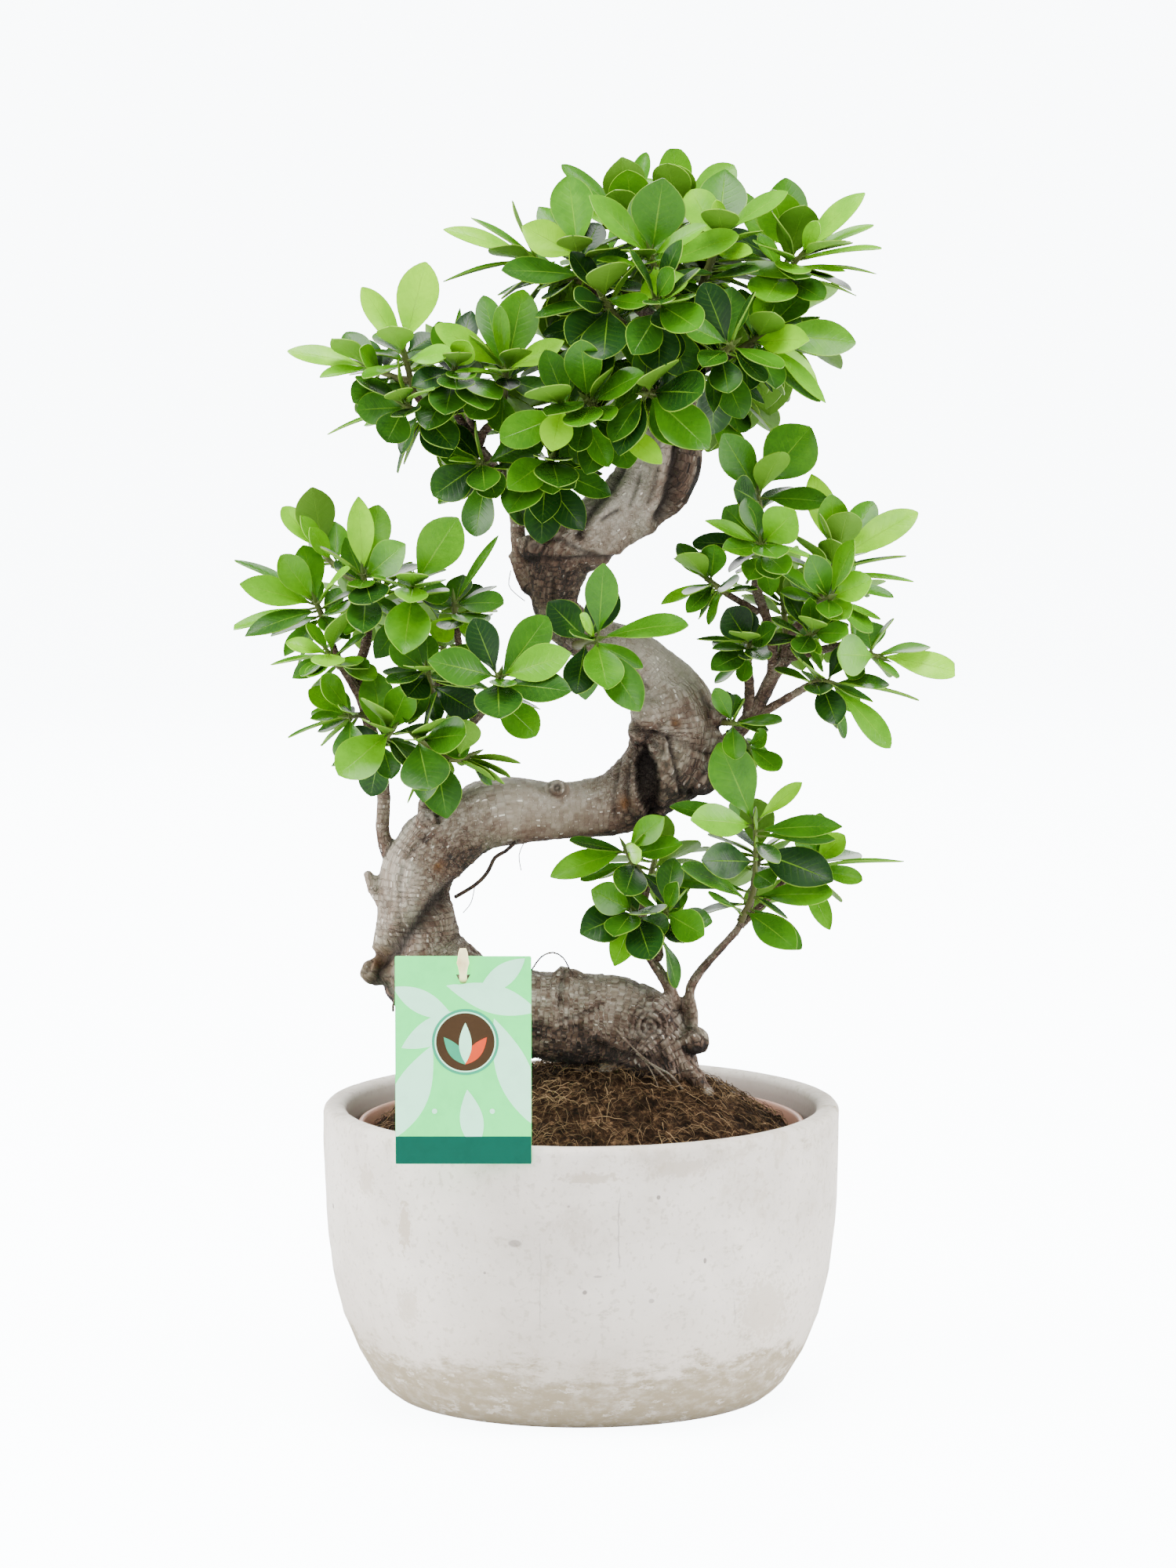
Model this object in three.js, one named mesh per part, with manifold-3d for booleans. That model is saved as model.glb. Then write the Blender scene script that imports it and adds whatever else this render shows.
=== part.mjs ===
// Ginseng ficus in its pots: a bonsai-like fig with an S-shaped trunk and pads of glossy leaves, in a
// nursery pot that stands inside a cement planter, with a plant label on a stake.
// Millimetres, +Z up. The origin is the middle of the planter's flat base and the front faces -Y.
import * as THREE from "three";
import { mergeVertices } from "three/addons/utils/BufferGeometryUtils.js";
import Module from "manifold-3d";

const wasm = await Module();
wasm.setup();

// Planter, nursery pot and soil: the profiles are [radius, height] from the axis round to the axis.
const PLANTER_PROFILE = [
  [0, 0], [95, 0], [104, 8], [113, 23], [120.5, 41], [125.5, 62], [129, 96], [130, 125], [130, 143.5],
  [127, 146.5], [121.5, 146.5], [118.6, 143.5], [118, 110], [109, 42], [92, 13], [0, 13],
];
const NURSERY_PROFILE = [
  [0, 13.4], [82, 13.4], [86, 17], [108.6, 128], [112.6, 129.5], [112.6, 137], [109.6, 137],
  [109.2, 131], [84, 18.5], [80, 15.8], [0, 15.8],
];
const SOIL_BOTTOM = 16.2;
const SOIL_BOTTOM_RADIUS = 79;
const SOIL_RIM_RADIUS = 108;
const SOIL_RIM_HEIGHT = 129;
const SOIL_RINGS = [[102, 134], [82, 144], [58, 154], [30, 160]];
const SOIL_MOUND = [34, 2, 46, 7];
const SOIL_TOP = 162;
const SOIL_CRUMB = 2.4;
const SOIL_SEED = 7;
const ROUND_SIDES = 28;
const SOIL_SIDES = 24;
const FIT_GAP = 0.4;

// The trunk's rings and the depth of its flutes, and the radius from which a limb has six sides
// instead of four.
const TRUNK_SIDES = 9;
const TRUNK_FLUTE = 0.035;
const THICK_LIMB = 5;

// The trunk's foot in the soil: centre, half widths and the height of its lower end, which is
// narrower; its upper end lies inside the trunk, and the soil's hole is cut a little higher.
const FOOT = [29, 3, 32, 24, 96];
const FOOT_SIDES = 14;
const FOOT_TAPER = 0.7;
const FOOT_TOP = 170;
const HOLE_TOP = 178;

// Label card and the stake that holds it.
const CARD_WIDTH = 66;
const CARD_BOTTOM = 139;
const CARD_TOP = 241;
const CARD_THICK = 0.8;
const CARD_CENTRE_X = -57;
const CARD_BACK_Y = -128.4;
const CARD_HOLE_HEIGHT = 231;
const CARD_HOLE_RADIUS = 3.6;
// Stake sections from its foot in the soil to its tip: [y, z, width, thickness].
const STAKE_SECTIONS = [
  [-72, 104, 5, 2], [-84, 136, 6.5, 2.2], [-121.5, 216, 6.5, 2.2], [-125.6, 226, 5, 2],
  [-128.6, 230.6, 3.8, 1.8], [-131.6, 233.4, 3.8, 1.8], [-132.8, 239, 6, 1.8], [-133, 243, 6, 1.8],
  [-133, 245.4, 3.4, 1.6],
];

// Blades: rows from root to tip as shares of the length, fewer on a narrow blade, how full the edge
// stands at a row, the thickness at the midrib, the arch and the longest blade.
const BLADE_ROWS = [0.2, 0.5, 0.84];
const NARROW_ROWS = [0.3, 0.74];
const NARROW_BLADE = 16.5;
const BLADE_FULL = 1.06;
const BLADE_KEEL = 1.5;
const BLADE_ARCH = 0.055;
const BLADE_MAX = 44;

// Room kept round a blade: to other sprays, to its own spray beyond its root, and to the wood.
const BLADE_CLEAR = 1.9;
const SISTER_CLEAR = 0.9;
const ROOT_SHARE = 0.18;
const WOOD_CLEAR = 1.2;

// Green shoots: their radius, the depth of a leaf's root in them and the gap to the woody twig.
const SHOOT_RADIUS = 1.7;
const ROOT_DEPTH = 0.5;
const TWIG_GAP = 0.35;

// Filling leaves: rounds and tries for each shoot, and the turn between leaves that follow one another.
const FILL_ROUNDS = 8;
const FILL_ATTEMPTS = 10;
const GOLDEN_ANGLE = 2.39996;

// Trunk from its foot to its top: [x, y, z, radius].
const TRUNK = [
  [36, 3, 150, 18.1], [37, 3, 162, 21.2], [33, 2, 174, 22.8], [26, 1, 183, 22.8], [11, -2, 189, 22.4],
  [-18, -6, 192, 22], [-48, -10, 197, 22.4], [-67, -12, 207, 23.6], [-80, -13, 222, 22.8],
  [-82, -13, 238, 20.4], [-83, -12, 254, 18.8], [-81, -11, 267, 18.8], [-70, -10, 281, 17.7],
  [-54, -8, 291, 16.9], [-39, -5, 295, 17.7], [-10, -1, 294, 14.1], [17, 4, 298, 16.1],
  [32, 7, 307, 18.8], [43, 8, 318, 22], [48, 9, 332, 21.2], [45, 9, 348, 19.6], [36, 8, 362, 14.5],
  [25, 6, 373, 12.6], [9, 3, 379, 11.8], [-4, 0, 386, 11.4], [-13, -1, 393, 11], [-14, -2, 404, 12.2],
  [-12, -3, 415, 14.1], [-8, -3, 426, 16.1], [4, -2, 433, 16.5], [21, 0, 445, 16.9], [33, 2, 456, 19.2],
  [40, 4, 469, 21.2], [43, 6, 485, 18.1], [46, 9, 504, 14.1], [47, 10, 525, 9.8], [46, 10, 541, 7.1],
];

// Branches and twigs in the same form, each starting inside the wood that bears it.
const LIMBS = {
  "left stem, main": [
    [-87, -11, 258, 4.7], [-95, -10, 273, 4.7], [-99, -12, 285, 3.7], [-99, -14, 310, 3.5],
    [-107, -17, 346, 3.1], [-113, -18, 360, 2.7], [-120, -20, 370, 2],
  ],
  "left stem, inner fork": [
    [-109, -17, 353, 2.7], [-110, -14, 369, 2.6], [-107, -12, 380, 2.4], [-105, -12, 398, 2],
  ],
  "left stem, outer fork": [
    [-115, -18, 363, 2], [-122, -8, 374, 1.8], [-127, 4, 386, 1.6],
  ],
  "left back twig": [
    [-109, -13, 374, 2], [-106, 14, 385, 1.6],
  ],
  "left small side": [
    [-107, -17, 346, 1.8], [-108, -20, 345, 1.6],
  ],
  "left low side": [
    [-102, -16, 325, 2], [-102, -20, 328, 1.8],
  ],
  "second stem": [
    [-74, -10, 285, 5.5], [-77, -12, 298, 4.7], [-74, -16, 310, 3.3], [-68, -22, 322, 2.9],
    [-55, -28, 341, 2.6], [-45, -34, 352, 2],
  ],
  "second stem, left twig": [
    [-68, -22, 322, 2.4], [-74, -28, 358, 2],
  ],
  "second stem, twig to upper left": [
    [-74, -25, 354, 2], [-78, -19, 369, 1.8], [-83, -20, 383, 1.6], [-84, -22, 394, 1.6],
  ],
  "second stem, twig to upper right": [
    [-73, -25, 355, 1.8], [-66, -18, 362, 1.8], [-60, -17, 369, 1.8], [-62, -18, 389, 1.6],
  ],
  "second stem, back twig": [
    [-72, -25, 348, 2], [-72, -8, 356, 1.8], [-71, 10, 361, 1.6],
  ],
  "second stem, low front twig": [
    [-65, -23, 324, 2], [-68, -32, 326, 1.8],
  ],
  "upper left stem": [
    [-14, -3, 408, 5.5], [-27, -4, 415, 4.7], [-31, -5, 430, 4.3], [-34, -8, 452, 3.9],
    [-50, -13, 477, 3.1],
  ],
  "upper left, left twig": [
    [-50, -13, 477, 2.6], [-70, -15, 490, 2.2], [-76, -20, 493, 2],
  ],
  "upper left, far left twig": [
    [-70, -14, 489, 2], [-77, -12, 497, 1.8], [-83, -18, 506, 1.6],
  ],
  "upper left, middle twig": [
    [-52, -13, 480, 2.4], [-63, -16, 497, 1.8], [-64, -18, 505, 1.6],
  ],
  "upper left, back twig": [
    [-52, -12, 481, 2.4], [-56, 12, 492, 1.8],
  ],
  "upper left, right twig": [
    [-51, -13, 478, 2.4], [-48, -15, 486, 2.2], [-42, -16, 492, 2], [-38, -18, 504, 1.8],
  ],
  "upper left, low front twig": [
    [-42, -11, 466, 2], [-44, -16, 466, 1.8],
  ],
  "upper left, second back twig": [
    [-39, -9, 461, 2], [-39, 4, 471, 1.8], [-39, 12, 480, 1.6],
  ],
  "upper left, side twig": [
    [-32, -6, 439, 2.4], [-21, -10, 458, 1.6],
  ],
  "centre twig": [
    [-6, -4, 383, 3.9], [-4, -12, 380, 2.7], [-2, -20, 380, 2.4],
  ],
  "right limb": [
    [60, 9, 321, 4.7], [74, 7, 329, 4.1], [87, 2, 345, 3.9], [96, -2, 363, 3.7], [103, -5, 372, 3.1],
  ],
  "right limb, up fork": [
    [95, -2, 361, 2.7], [95, -5, 383, 2.4], [87, -7, 408, 2.4], [91, -8, 418, 2],
  ],
  "right limb, thin left twig": [
    [88, -6, 395, 1.8], [72, -12, 405, 1.6],
  ],
  "right limb, right twig": [
    [103, -5, 372, 2.4], [131, -8, 379, 1.8],
  ],
  "right limb, upper right twig": [
    [101, -4, 370, 2.4], [105, -6, 384, 2.2], [117, -8, 397, 1.8],
  ],
  "right limb, small middle twig": [
    [104, -5, 374, 1.8], [109, -14, 381, 1.6],
  ],
  "right limb, lower twig": [
    [88, 2, 342, 2.4], [113, -14, 359, 1.8],
  ],
  "right limb, upright twig": [
    [83, 3, 341, 2.7], [84, -3, 354, 2.6], [83, -8, 370, 2],
  ],
  "right limb, back twig": [
    [98, -2, 367, 2.4], [103, 18, 380, 1.8],
  ],
  "right limb, low stub": [
    [77, 6, 329, 2], [81, 2, 330, 1.6],
  ],
  "right knot": [
    [65, 4, 341, 2.7], [72, -2, 339, 1.7],
  ],
  "low right stem A": [
    [43, 0, 193, 3.9], [45, -6, 204, 3.3], [33, -8, 225, 2.7], [30, -8, 245, 2.4], [30, -8, 263, 2],
  ],
  "low right stem A, side twig": [
    [34, -8, 222, 2], [39, -8, 221, 2], [39, -10, 228, 1.8],
  ],
  "low right stem A, front twig": [
    [31, -8, 234, 1.8], [30, -18, 240, 1.8],
  ],
  "low right stem A, back twig": [
    [31, -6, 243, 2], [33, 14, 253, 1.6],
  ],
  "low right stem B": [
    [55, 0, 181, 3.9], [56, -4, 192, 3.1], [56, -4, 208, 2.7], [78, -6, 235, 2.2], [80, -6, 240, 2],
  ],
  "low right stem B, back twig": [
    [77, -5, 233, 1.8], [84, 4, 244, 1.8], [87, 14, 257, 1.6],
  ],
  "low right stem B, right twig": [
    [80, -5, 237, 1.8], [104, 2, 260, 1.6],
  ],
  "crown, centre twig": [
    [46, 10, 539, 4.7], [40, -4, 554, 2],
  ],
  "crown, rising twig": [
    [46, 10, 539, 4.7], [47, 14, 560, 2.4],
  ],
  "crown, left bough": [
    [43, 9, 523, 5.5], [29, 4, 529, 4.3], [17, -2, 541, 3.1], [5, -8, 558, 2],
  ],
  "crown, right bough": [
    [49, 10, 525, 5.5], [81, 12, 544, 2.4],
  ],
  "crown, front right bough": [
    [47, 10, 533, 3.9], [56, 0, 546, 2.4],
  ],
  "crown, low right bough": [
    [49, 8, 511, 5.1], [75, -14, 524, 2],
  ],
  "crown, low right front twig": [
    [57, 0, 515, 2.4], [63, -24, 520, 2],
  ],
  "crown, front bough": [
    [44, 2, 528, 4.7], [43, -22, 538, 2.4],
  ],
  "crown, left front twig": [
    [29, 2, 529, 3.1], [23, -12, 534, 2.4],
  ],
  "crown, low left bough": [
    [39, 2, 485, 5.5], [29, -6, 485, 3.9], [14, -18, 491, 2.4],
  ],
  "crown, low front bough": [
    [42, 2, 496, 5.5], [41, -22, 506, 2.4],
  ],
  "crown, back left bough": [
    [42, 14, 535, 4.7], [23, 40, 548, 2.4],
  ],
  "crown, back right bough": [
    [48, 16, 532, 4.7], [62, 44, 548, 2.4],
  ],
  "crown, back bough": [
    [46, 16, 523, 4.7], [43, 46, 532, 2.4],
  ],
  "crown, low back left bough": [
    [42, 12, 501, 4.7], [15, 36, 510, 2.4],
  ],
  "crown, low back right bough": [
    [49, 14, 499, 4.7], [65, 36, 502, 2.4],
  ],
};

// Leafy sprays: the place, then each shoot with its path [x, y, z], the number and size of its
// filling leaves, their tone from dark 0 to young 1, and its measured leaves as
// [share of the path, tip x, tip y, tip z, width, turn of the upper face to the front in degrees, tone].
const SPRAYS = [
  ["crown",
    { path: [[40, -4, 554], [34, -14, 574]],
      fill: 2, size: 34, tone: .35, leaves: [
      [.95, 40, -22, 609, 26, 85, .35],
      [.85, 6, -18, 601, 16, 40, .55],
      [.5, 10, -30, 572, 10, 25, .5],
      [.7, 43, -38, 554, 23, 70, .8],
      [.6, 79, -26, 584, 17, 45, .55],
      [.9, 60, -32, 588, 9, 60, .6],
    ] },
  ],
  ["crown",
    { path: [[47, 14, 560], [47, 20, 577], [49, 24, 593]],
      fill: 3, size: 34, tone: .5, leaves: [
      [.95, 46, 22, 624, 16, 80, .55],
      [.9, 75, 34, 614, 16, 60, .5],
    ] },
    { path: [[47, 14, 566], [31, 17, 579], [21, 20, 591]],
      fill: 2, size: 32, tone: .45, leaves: [
      [.9, -8, 28, 614, 9, 45, .5],
      [.8, 23, 6, 612, 20, 80, .45],
      [.6, 1, 26, 597, 12, 50, .7],
      [.95, 32, 34, 620, 9, 60, .4],
    ] },
  ],
  ["crown",
    { path: [[5, -8, 558], [0, -10, 566], [-2, -12, 574]],
      fill: 1, size: 32, tone: .2, leaves: [
      [.9, -27, -26, 587, 17, 75, .9],
      [.8, -6, 6, 609, 21, 80, .5],
      [.7, 8, -4, 587, 13, 60, .15],
      [.5, 22, -2, 572, 12, 60, .1],
      [.3, -37, -30, 566, 16, 50, .2],
      [.85, -20, 12, 594, 13, 60, .5],
    ] },
    { path: [[3, -8, 559], [-11, 6, 562], [-26, 12, 570]],
      fill: 2, size: 32, tone: .3, leaves: [
      [.95, -67, 6, 585, 11, 40, .85],
      [.8, -53, 22, 588, 10, 20, .45],
      [.98, -66, 0, 560, 5, 5, .35],
      [.4, -34, 26, 572, 10, 20, .35],
      [.5, -40, 18, 552, 9, 20, .25],
    ] },
  ],
  ["crown",
    { path: [[56, 0, 546], [70, -4, 585]],
      fill: 2, size: 34, tone: .4, leaves: [
      [.95, 100, -8, 603, 12, 40, .55],
      [.85, 55, 4, 603, 17, 80, .75],
      [.98, 67, -12, 599, 7, 60, 1],
      [.35, 86, -30, 566, 13, 30, .1],
      [.7, 83, -24, 575, 10, 60, .85],
      [.5, 110, -20, 563, 13, 30, .5],
    ] },
  ],
  ["crown",
    { path: [[81, 12, 544], [95, 16, 558], [106, 18, 573]],
      fill: 2, size: 34, tone: .35, leaves: [
      [.95, 95, 12, 602, 22, 80, .5],
      [.9, 102, 26, 607, 20, 70, .45],
      [.8, 74, 8, 582, 16, 35, .15],
      [.7, 80, 28, 602, 12, 60, .4],
    ] },
    { path: [[88, 14, 551], [101, 2, 563], [110, -6, 574]],
      fill: 1, size: 30, tone: .5, leaves: [
      [.95, 138, -4, 602, 13, 40, .8],
      [.9, 143, 6, 586, 9, 20, .6],
      [.85, 146, -14, 576, 9, 15, .75],
      [.7, 144, 0, 564, 3, 5, .4],
      [.5, 135, 10, 553, 3, 5, .35],
      [.98, 116, -22, 589, 8, 70, .9],
      [.5, 118, -26, 553, 14, 50, .35],
      [.7, 129, -22, 565, 5, 30, .7],
      [.3, 88, -26, 543, 10, 60, .5],
    ] },
  ],
  ["crown",
    { path: [[75, -14, 524], [91, -20, 535]],
      fill: 2, size: 32, tone: .3, leaves: [
      [.9, 133, -22, 531, 20, 55, .5],
      [.6, 110, -38, 533, 16, 60, .8],
      [.4, 118, -30, 502, 12, 30, .4],
      [.9, 116, -6, 508, 12, 50, .8],
      [.8, 126, -14, 496, 9, 30, .65],
      [.3, 94, -20, 507, 4, 30, .1],
      [.2, 120, 4, 542, 10, 20, .2],
    ] },
    { path: [[79, -15, 526], [92, 8, 531], [106, 26, 538]],
      fill: 5, size: 32, tone: .4, leaves: [
    ] },
  ],
  ["crown",
    { path: [[63, -24, 520], [75, -38, 531]],
      fill: 1, size: 32, tone: .15, leaves: [
      [.9, 51, -50, 541, 13, 60, .3],
      [.5, 72, -54, 509, 16, 85, .2],
      [.3, 79, -38, 496, 16, 80, .15],
      [.8, 61, -44, 559, 17, 70, .15],
      [.2, 65, -46, 500, 8, 60, .1],
      [.2, 89, -28, 502, 6, 60, .15],
    ] },
  ],
  ["crown",
    { path: [[43, -22, 538], [36, -44, 554]],
      fill: 3, size: 32, tone: .15, leaves: [
      [.8, 56, -68, 541, 20, 60, .3],
      [.6, 26, -62, 529, 18, 85, .1],
      [.95, 45, -60, 568, 12, 60, .2],
    ] },
  ],
  ["crown",
    { path: [[23, -12, 534], [10, -30, 554]],
      fill: 2, size: 32, tone: .12, leaves: [
      [.9, 31, -52, 551, 13, 45, .35],
      [.6, -5, -46, 532, 22, 75, .08],
      [.8, -2, -48, 553, 16, 60, .1],
      [.4, -17, -20, 534, 12, 50, .08],
    ] },
  ],
  ["crown",
    { path: [[14, -18, 491], [2, -36, 504]],
      fill: 1, size: 32, tone: .3, leaves: [
      [.95, 0, -46, 532, 18, 88, .3],
      [.8, 29, -54, 517, 16, 50, .3],
      [.6, 14, -60, 496, 13, 60, .45],
    ] },
    { path: [[9, -26, 495], [-2, -30, 495], [-10, -34, 501]],
      fill: 1, size: 32, tone: .3, leaves: [
      [.95, -14, -52, 481, 16, 88, 1],
      [.8, -17, -36, 526, 14, 70, .3],
      [.7, -38, -44, 485, 18, 75, .5],
      [.4, 13, -42, 472, 12, 60, .3],
      [.3, -2, -50, 480, 12, 60, .25],
    ] },
    { path: [[13, -20, 493], [15, -26, 491]],
      fill: 0, size: 32, tone: .3, leaves: [
      [.95, 38, -46, 474, 12, 60, .85],
      [.6, 23, -34, 471, 16, 70, .2],
    ] },
  ],
  ["crown",
    { path: [[41, -22, 506], [30, -44, 507]],
      fill: 1, size: 34, tone: .2, leaves: [
      [.8, 65, -68, 479, 22, 60, .35],
      [.6, 59, -64, 509, 24, 65, .15],
      [.9, 33, -56, 530, 14, 85, .25],
      [.97, 4, -60, 497, 18, 50, .2],
      [.4, 53, -40, 519, 16, 60, .12],
    ] },
  ],
  ["crown",
    { path: [[-21, -10, 458], [-14, -26, 475]],
      fill: 1, size: 30, tone: .2, leaves: [
      [.9, -35, -46, 461, 17, 75, .4],
      [.7, -14, -44, 458, 14, 70, .3],
      [.8, -4, -44, 461, 13, 80, .1],
      [.5, -28, -26, 453, 16, 75, .15],
      [.3, 0, -28, 440, 16, 80, .1],
      [.6, 13, -20, 456, 13, 60, .1],
    ] },
  ],
  ["crown",
    { path: [[23, 40, 548], [12, 60, 571]],
      fill: 8, size: 34, tone: .45, leaves: [
    ] },
  ],
  ["crown",
    { path: [[62, 44, 548], [69, 54, 559], [74, 62, 572]],
      fill: 8, size: 34, tone: .45, leaves: [
    ] },
  ],
  ["crown",
    { path: [[43, 46, 532], [42, 70, 555]],
      fill: 8, size: 34, tone: .3, leaves: [
    ] },
  ],
  ["crown",
    { path: [[15, 36, 510], [5, 48, 515], [-5, 56, 521]],
      fill: 8, size: 34, tone: .25, leaves: [
    ] },
  ],
  ["crown",
    { path: [[65, 36, 502], [83, 56, 516]],
      fill: 8, size: 34, tone: .25, leaves: [
    ] },
  ],
  ["upper_left",
    { path: [[-83, -18, 506], [-88, -22, 528]],
      fill: 1, size: 30, tone: .5, leaves: [
      [.95, -77, -26, 568, 20, 85, .95],
      [.9, -107, -24, 556, 13, 50, .85],
      [.7, -65, -38, 526, 12, 50, .75],
      [.85, -73, -10, 533, 13, 40, .15],
    ] },
    { path: [[-85, -18, 511], [-96, -13, 514], [-106, -12, 518]],
      fill: 1, size: 30, tone: .4, leaves: [
      [.95, -143, -14, 525, 13, 40, .95],
      [.9, -127, -24, 515, 10, 25, .75],
      [.6, -111, 4, 530, 12, 40, .2],
      [.7, -108, -30, 527, 12, 60, .4],
      [.4, -111, -30, 502, 17, 60, .2],
    ] },
  ],
  ["upper_left",
    { path: [[-64, -18, 505], [-62, -28, 520]],
      fill: 2, size: 30, tone: .25, leaves: [
      [.9, -56, -42, 531, 13, 70, .8],
      [.8, -82, -40, 511, 14, 50, .08],
      [.6, -70, -12, 539, 12, 60, .3],
      [.4, -69, -46, 500, 16, 60, .15],
      [.7, -55, 2, 543, 12, 60, .15],
      [.3, -60, 12, 548, 4, 30, .35],
    ] },
  ],
  ["upper_left",
    { path: [[-76, -20, 493], [-81, -27, 497], [-88, -32, 501]],
      fill: 1, size: 30, tone: .2, leaves: [
      [.9, -95, -42, 484, 17, 80, .15],
      [.8, -112, -30, 498, 16, 50, .2],
      [.95, -72, -50, 511, 9, 30, .45],
      [.7, -129, -12, 484, 5, 15, .45],
      [.6, -107, -6, 489, 8, 50, .5],
      [.3, -62, -36, 497, 13, 40, .15],
    ] },
  ],
  ["upper_left",
    { path: [[-38, -18, 504], [-37, -22, 518]],
      fill: 1, size: 30, tone: .2, leaves: [
      [.95, -70, -26, 538, 13, 45, .8],
      [.9, -10, -32, 531, 11, 50, .9],
      [.85, -29, -16, 554, 21, 85, .4],
      [.7, -48, -2, 550, 13, 70, .3],
      [.8, -40, -22, 547, 8, 60, .5],
      [.6, -17, -36, 506, 13, 50, .2],
      [.5, -15, -14, 529, 9, 40, .15],
      [.7, -60, -46, 518, 6, 20, .4],
      [.3, -54, -42, 496, 17, 60, .3],
    ] },
  ],
  ["upper_left",
    { path: [[-44, -16, 466], [-50, -28, 472]],
      fill: 0, size: 30, tone: .2, leaves: [
      [.9, -71, -46, 458, 19, 75, .1],
      [.8, -42, -46, 456, 15, 80, .1],
      [.5, -70, -18, 478, 14, 60, .45],
      [.95, -64, -38, 474, 5, 30, .5],
      [.7, -20, -30, 483, 17, 60, .12],
    ] },
  ],
  ["upper_left",
    { path: [[-56, 12, 492], [-59, 24, 500], [-60, 32, 510]],
      fill: 7, size: 32, tone: .3, leaves: [
    ] },
  ],
  ["upper_left",
    { path: [[-39, 12, 480], [-30, 34, 500]],
      fill: 7, size: 32, tone: .25, leaves: [
    ] },
  ],
  ["left",
    { path: [[-127, 4, 386], [-132, -6, 400]],
      fill: 1, size: 30, tone: .4, leaves: [
      [.95, -174, 2, 422, 8, 20, .3],
      [.9, -167, -20, 410, 15, 60, .65],
      [.8, -173, -10, 387, 9, 30, .7],
      [.7, -164, -26, 387, 13, 40, .3],
      [.9, -116, -30, 419, 11, 40, .75],
      [.95, -148, -12, 423, 15, 70, .6],
      [.5, -116, -34, 399, 13, 50, .3],
      [.3, -121, 6, 405, 9, 50, .3],
    ] },
  ],
  ["left",
    { path: [[-105, -12, 398], [-108, -22, 416]],
      fill: 1, size: 30, tone: .3, leaves: [
      [.95, -110, -22, 452, 13, 80, .85],
      [.9, -101, -8, 447, 17, 80, .5],
      [.85, -88, -30, 431, 17, 70, .45],
      [.8, -103, -52, 405, 20, 75, .1],
      [.5, -107, -48, 388, 17, 70, .08],
      [.4, -117, -46, 381, 17, 75, .08],
      [.6, -117, -30, 433, 12, 70, .4],
    ] },
    { path: [[-107, -18, 410], [-118, -6, 414], [-129, 2, 424]],
      fill: 2, size: 30, tone: .5, leaves: [
      [.95, -148, 6, 445, 11, 60, .85],
      [.9, -139, -6, 442, 9, 40, .7],
      [.7, -123, 14, 437, 12, 60, .5],
      [.8, -134, -12, 437, 9, 60, .7],
    ] },
  ],
  ["left",
    { path: [[-84, -22, 394], [-83, -30, 412]],
      fill: 1, size: 30, tone: .4, leaves: [
      [.95, -62, -34, 443, 22, 75, .5],
      [.9, -84, -60, 406, 16, 85, .65],
      [.7, -87, -58, 382, 22, 88, .4],
      [.6, -66, -24, 407, 12, 60, .3],
      [.3, -101, -30, 376, 13, 80, .2],
    ] },
  ],
  ["left",
    { path: [[-62, -18, 389], [-63, -18, 401]],
      fill: 0, size: 30, tone: .3, leaves: [
      [.95, -42, -14, 432, 5, 30, .45],
      [.9, -40, -38, 403, 14, 50, .15],
      [.8, -78, -34, 403, 11, 40, .15],
      [.7, -51, 2, 407, 12, 50, .2],
      [.5, -72, -26, 384, 13, 80, .85],
      [.4, -53, -24, 389, 10, 80, .85],
    ] },
  ],
  ["left",
    { path: [[-120, -20, 370], [-125, -26, 377]],
      fill: 1, size: 28, tone: .5, leaves: [
      [.9, -145, -26, 382, 10, 40, .8],
      [.8, -153, -8, 369, 5, 20, .5],
      [.7, -142, -28, 365, 11, 40, .35],
      [.95, -125, -50, 373, 16, 70, .8],
    ] },
  ],
  ["left",
    { path: [[-108, -20, 345], [-116, -30, 346]],
      fill: 0, size: 28, tone: .4, leaves: [
      [.9, -134, -28, 358, 13, 45, .6],
      [.8, -127, -40, 366, 13, 50, .45],
      [.7, -144, -22, 335, 5, 10, .35],
      [.5, -129, -14, 330, 5, 20, .3],
      [.6, -117, -52, 352, 10, 60, .4],
    ] },
  ],
  ["left",
    { path: [[-102, -20, 328], [-98, -30, 333], [-93, -38, 340]],
      fill: 1, size: 30, tone: .3, leaves: [
      [.95, -118, -58, 321, 21, 70, .6],
      [.7, -117, -32, 332, 16, 60, .1],
      [.8, -86, -50, 361, 16, 70, .45],
      [.5, -103, -14, 366, 17, 60, .4],
      [.4, -94, -34, 316, 12, 60, .2],
    ] },
  ],
  ["left",
    { path: [[-68, -32, 326], [-82, -48, 338]],
      fill: 0, size: 30, tone: .2, leaves: [
      [.9, -75, -64, 315, 24, 80, .2],
      [.8, -58, -60, 341, 20, 60, .2],
      [.4, -56, -30, 331, 13, 60, .3],
    ] },
    { path: [[-72, -36, 329], [-62, -39, 325], [-53, -30, 327]],
      fill: 0, size: 28, tone: .4, leaves: [
      [.8, -44, -10, 311, 10, 40, .4],
      [.9, -40, 4, 312, 8, 50, .6],
      [.5, -59, -20, 321, 5, 40, .5],
      [.4, -49, -20, 338, 12, 60, .35],
    ] },
  ],
  ["left",
    { path: [[-74, -28, 358], [-76, -42, 371]],
      fill: 1, size: 30, tone: .2, leaves: [
      [.9, -93, -42, 382, 14, 60, .35],
      [.8, -85, -52, 359, 16, 70, .08],
      [.5, -53, -22, 363, 16, 60, .08],
      [.3, -50, -44, 349, 17, 60, .06],
    ] },
  ],
  ["left",
    { path: [[-106, 14, 385], [-102, 36, 403]],
      fill: 8, size: 32, tone: .35, leaves: [
    ] },
  ],
  ["left",
    { path: [[-71, 10, 361], [-68, 36, 382]],
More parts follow.
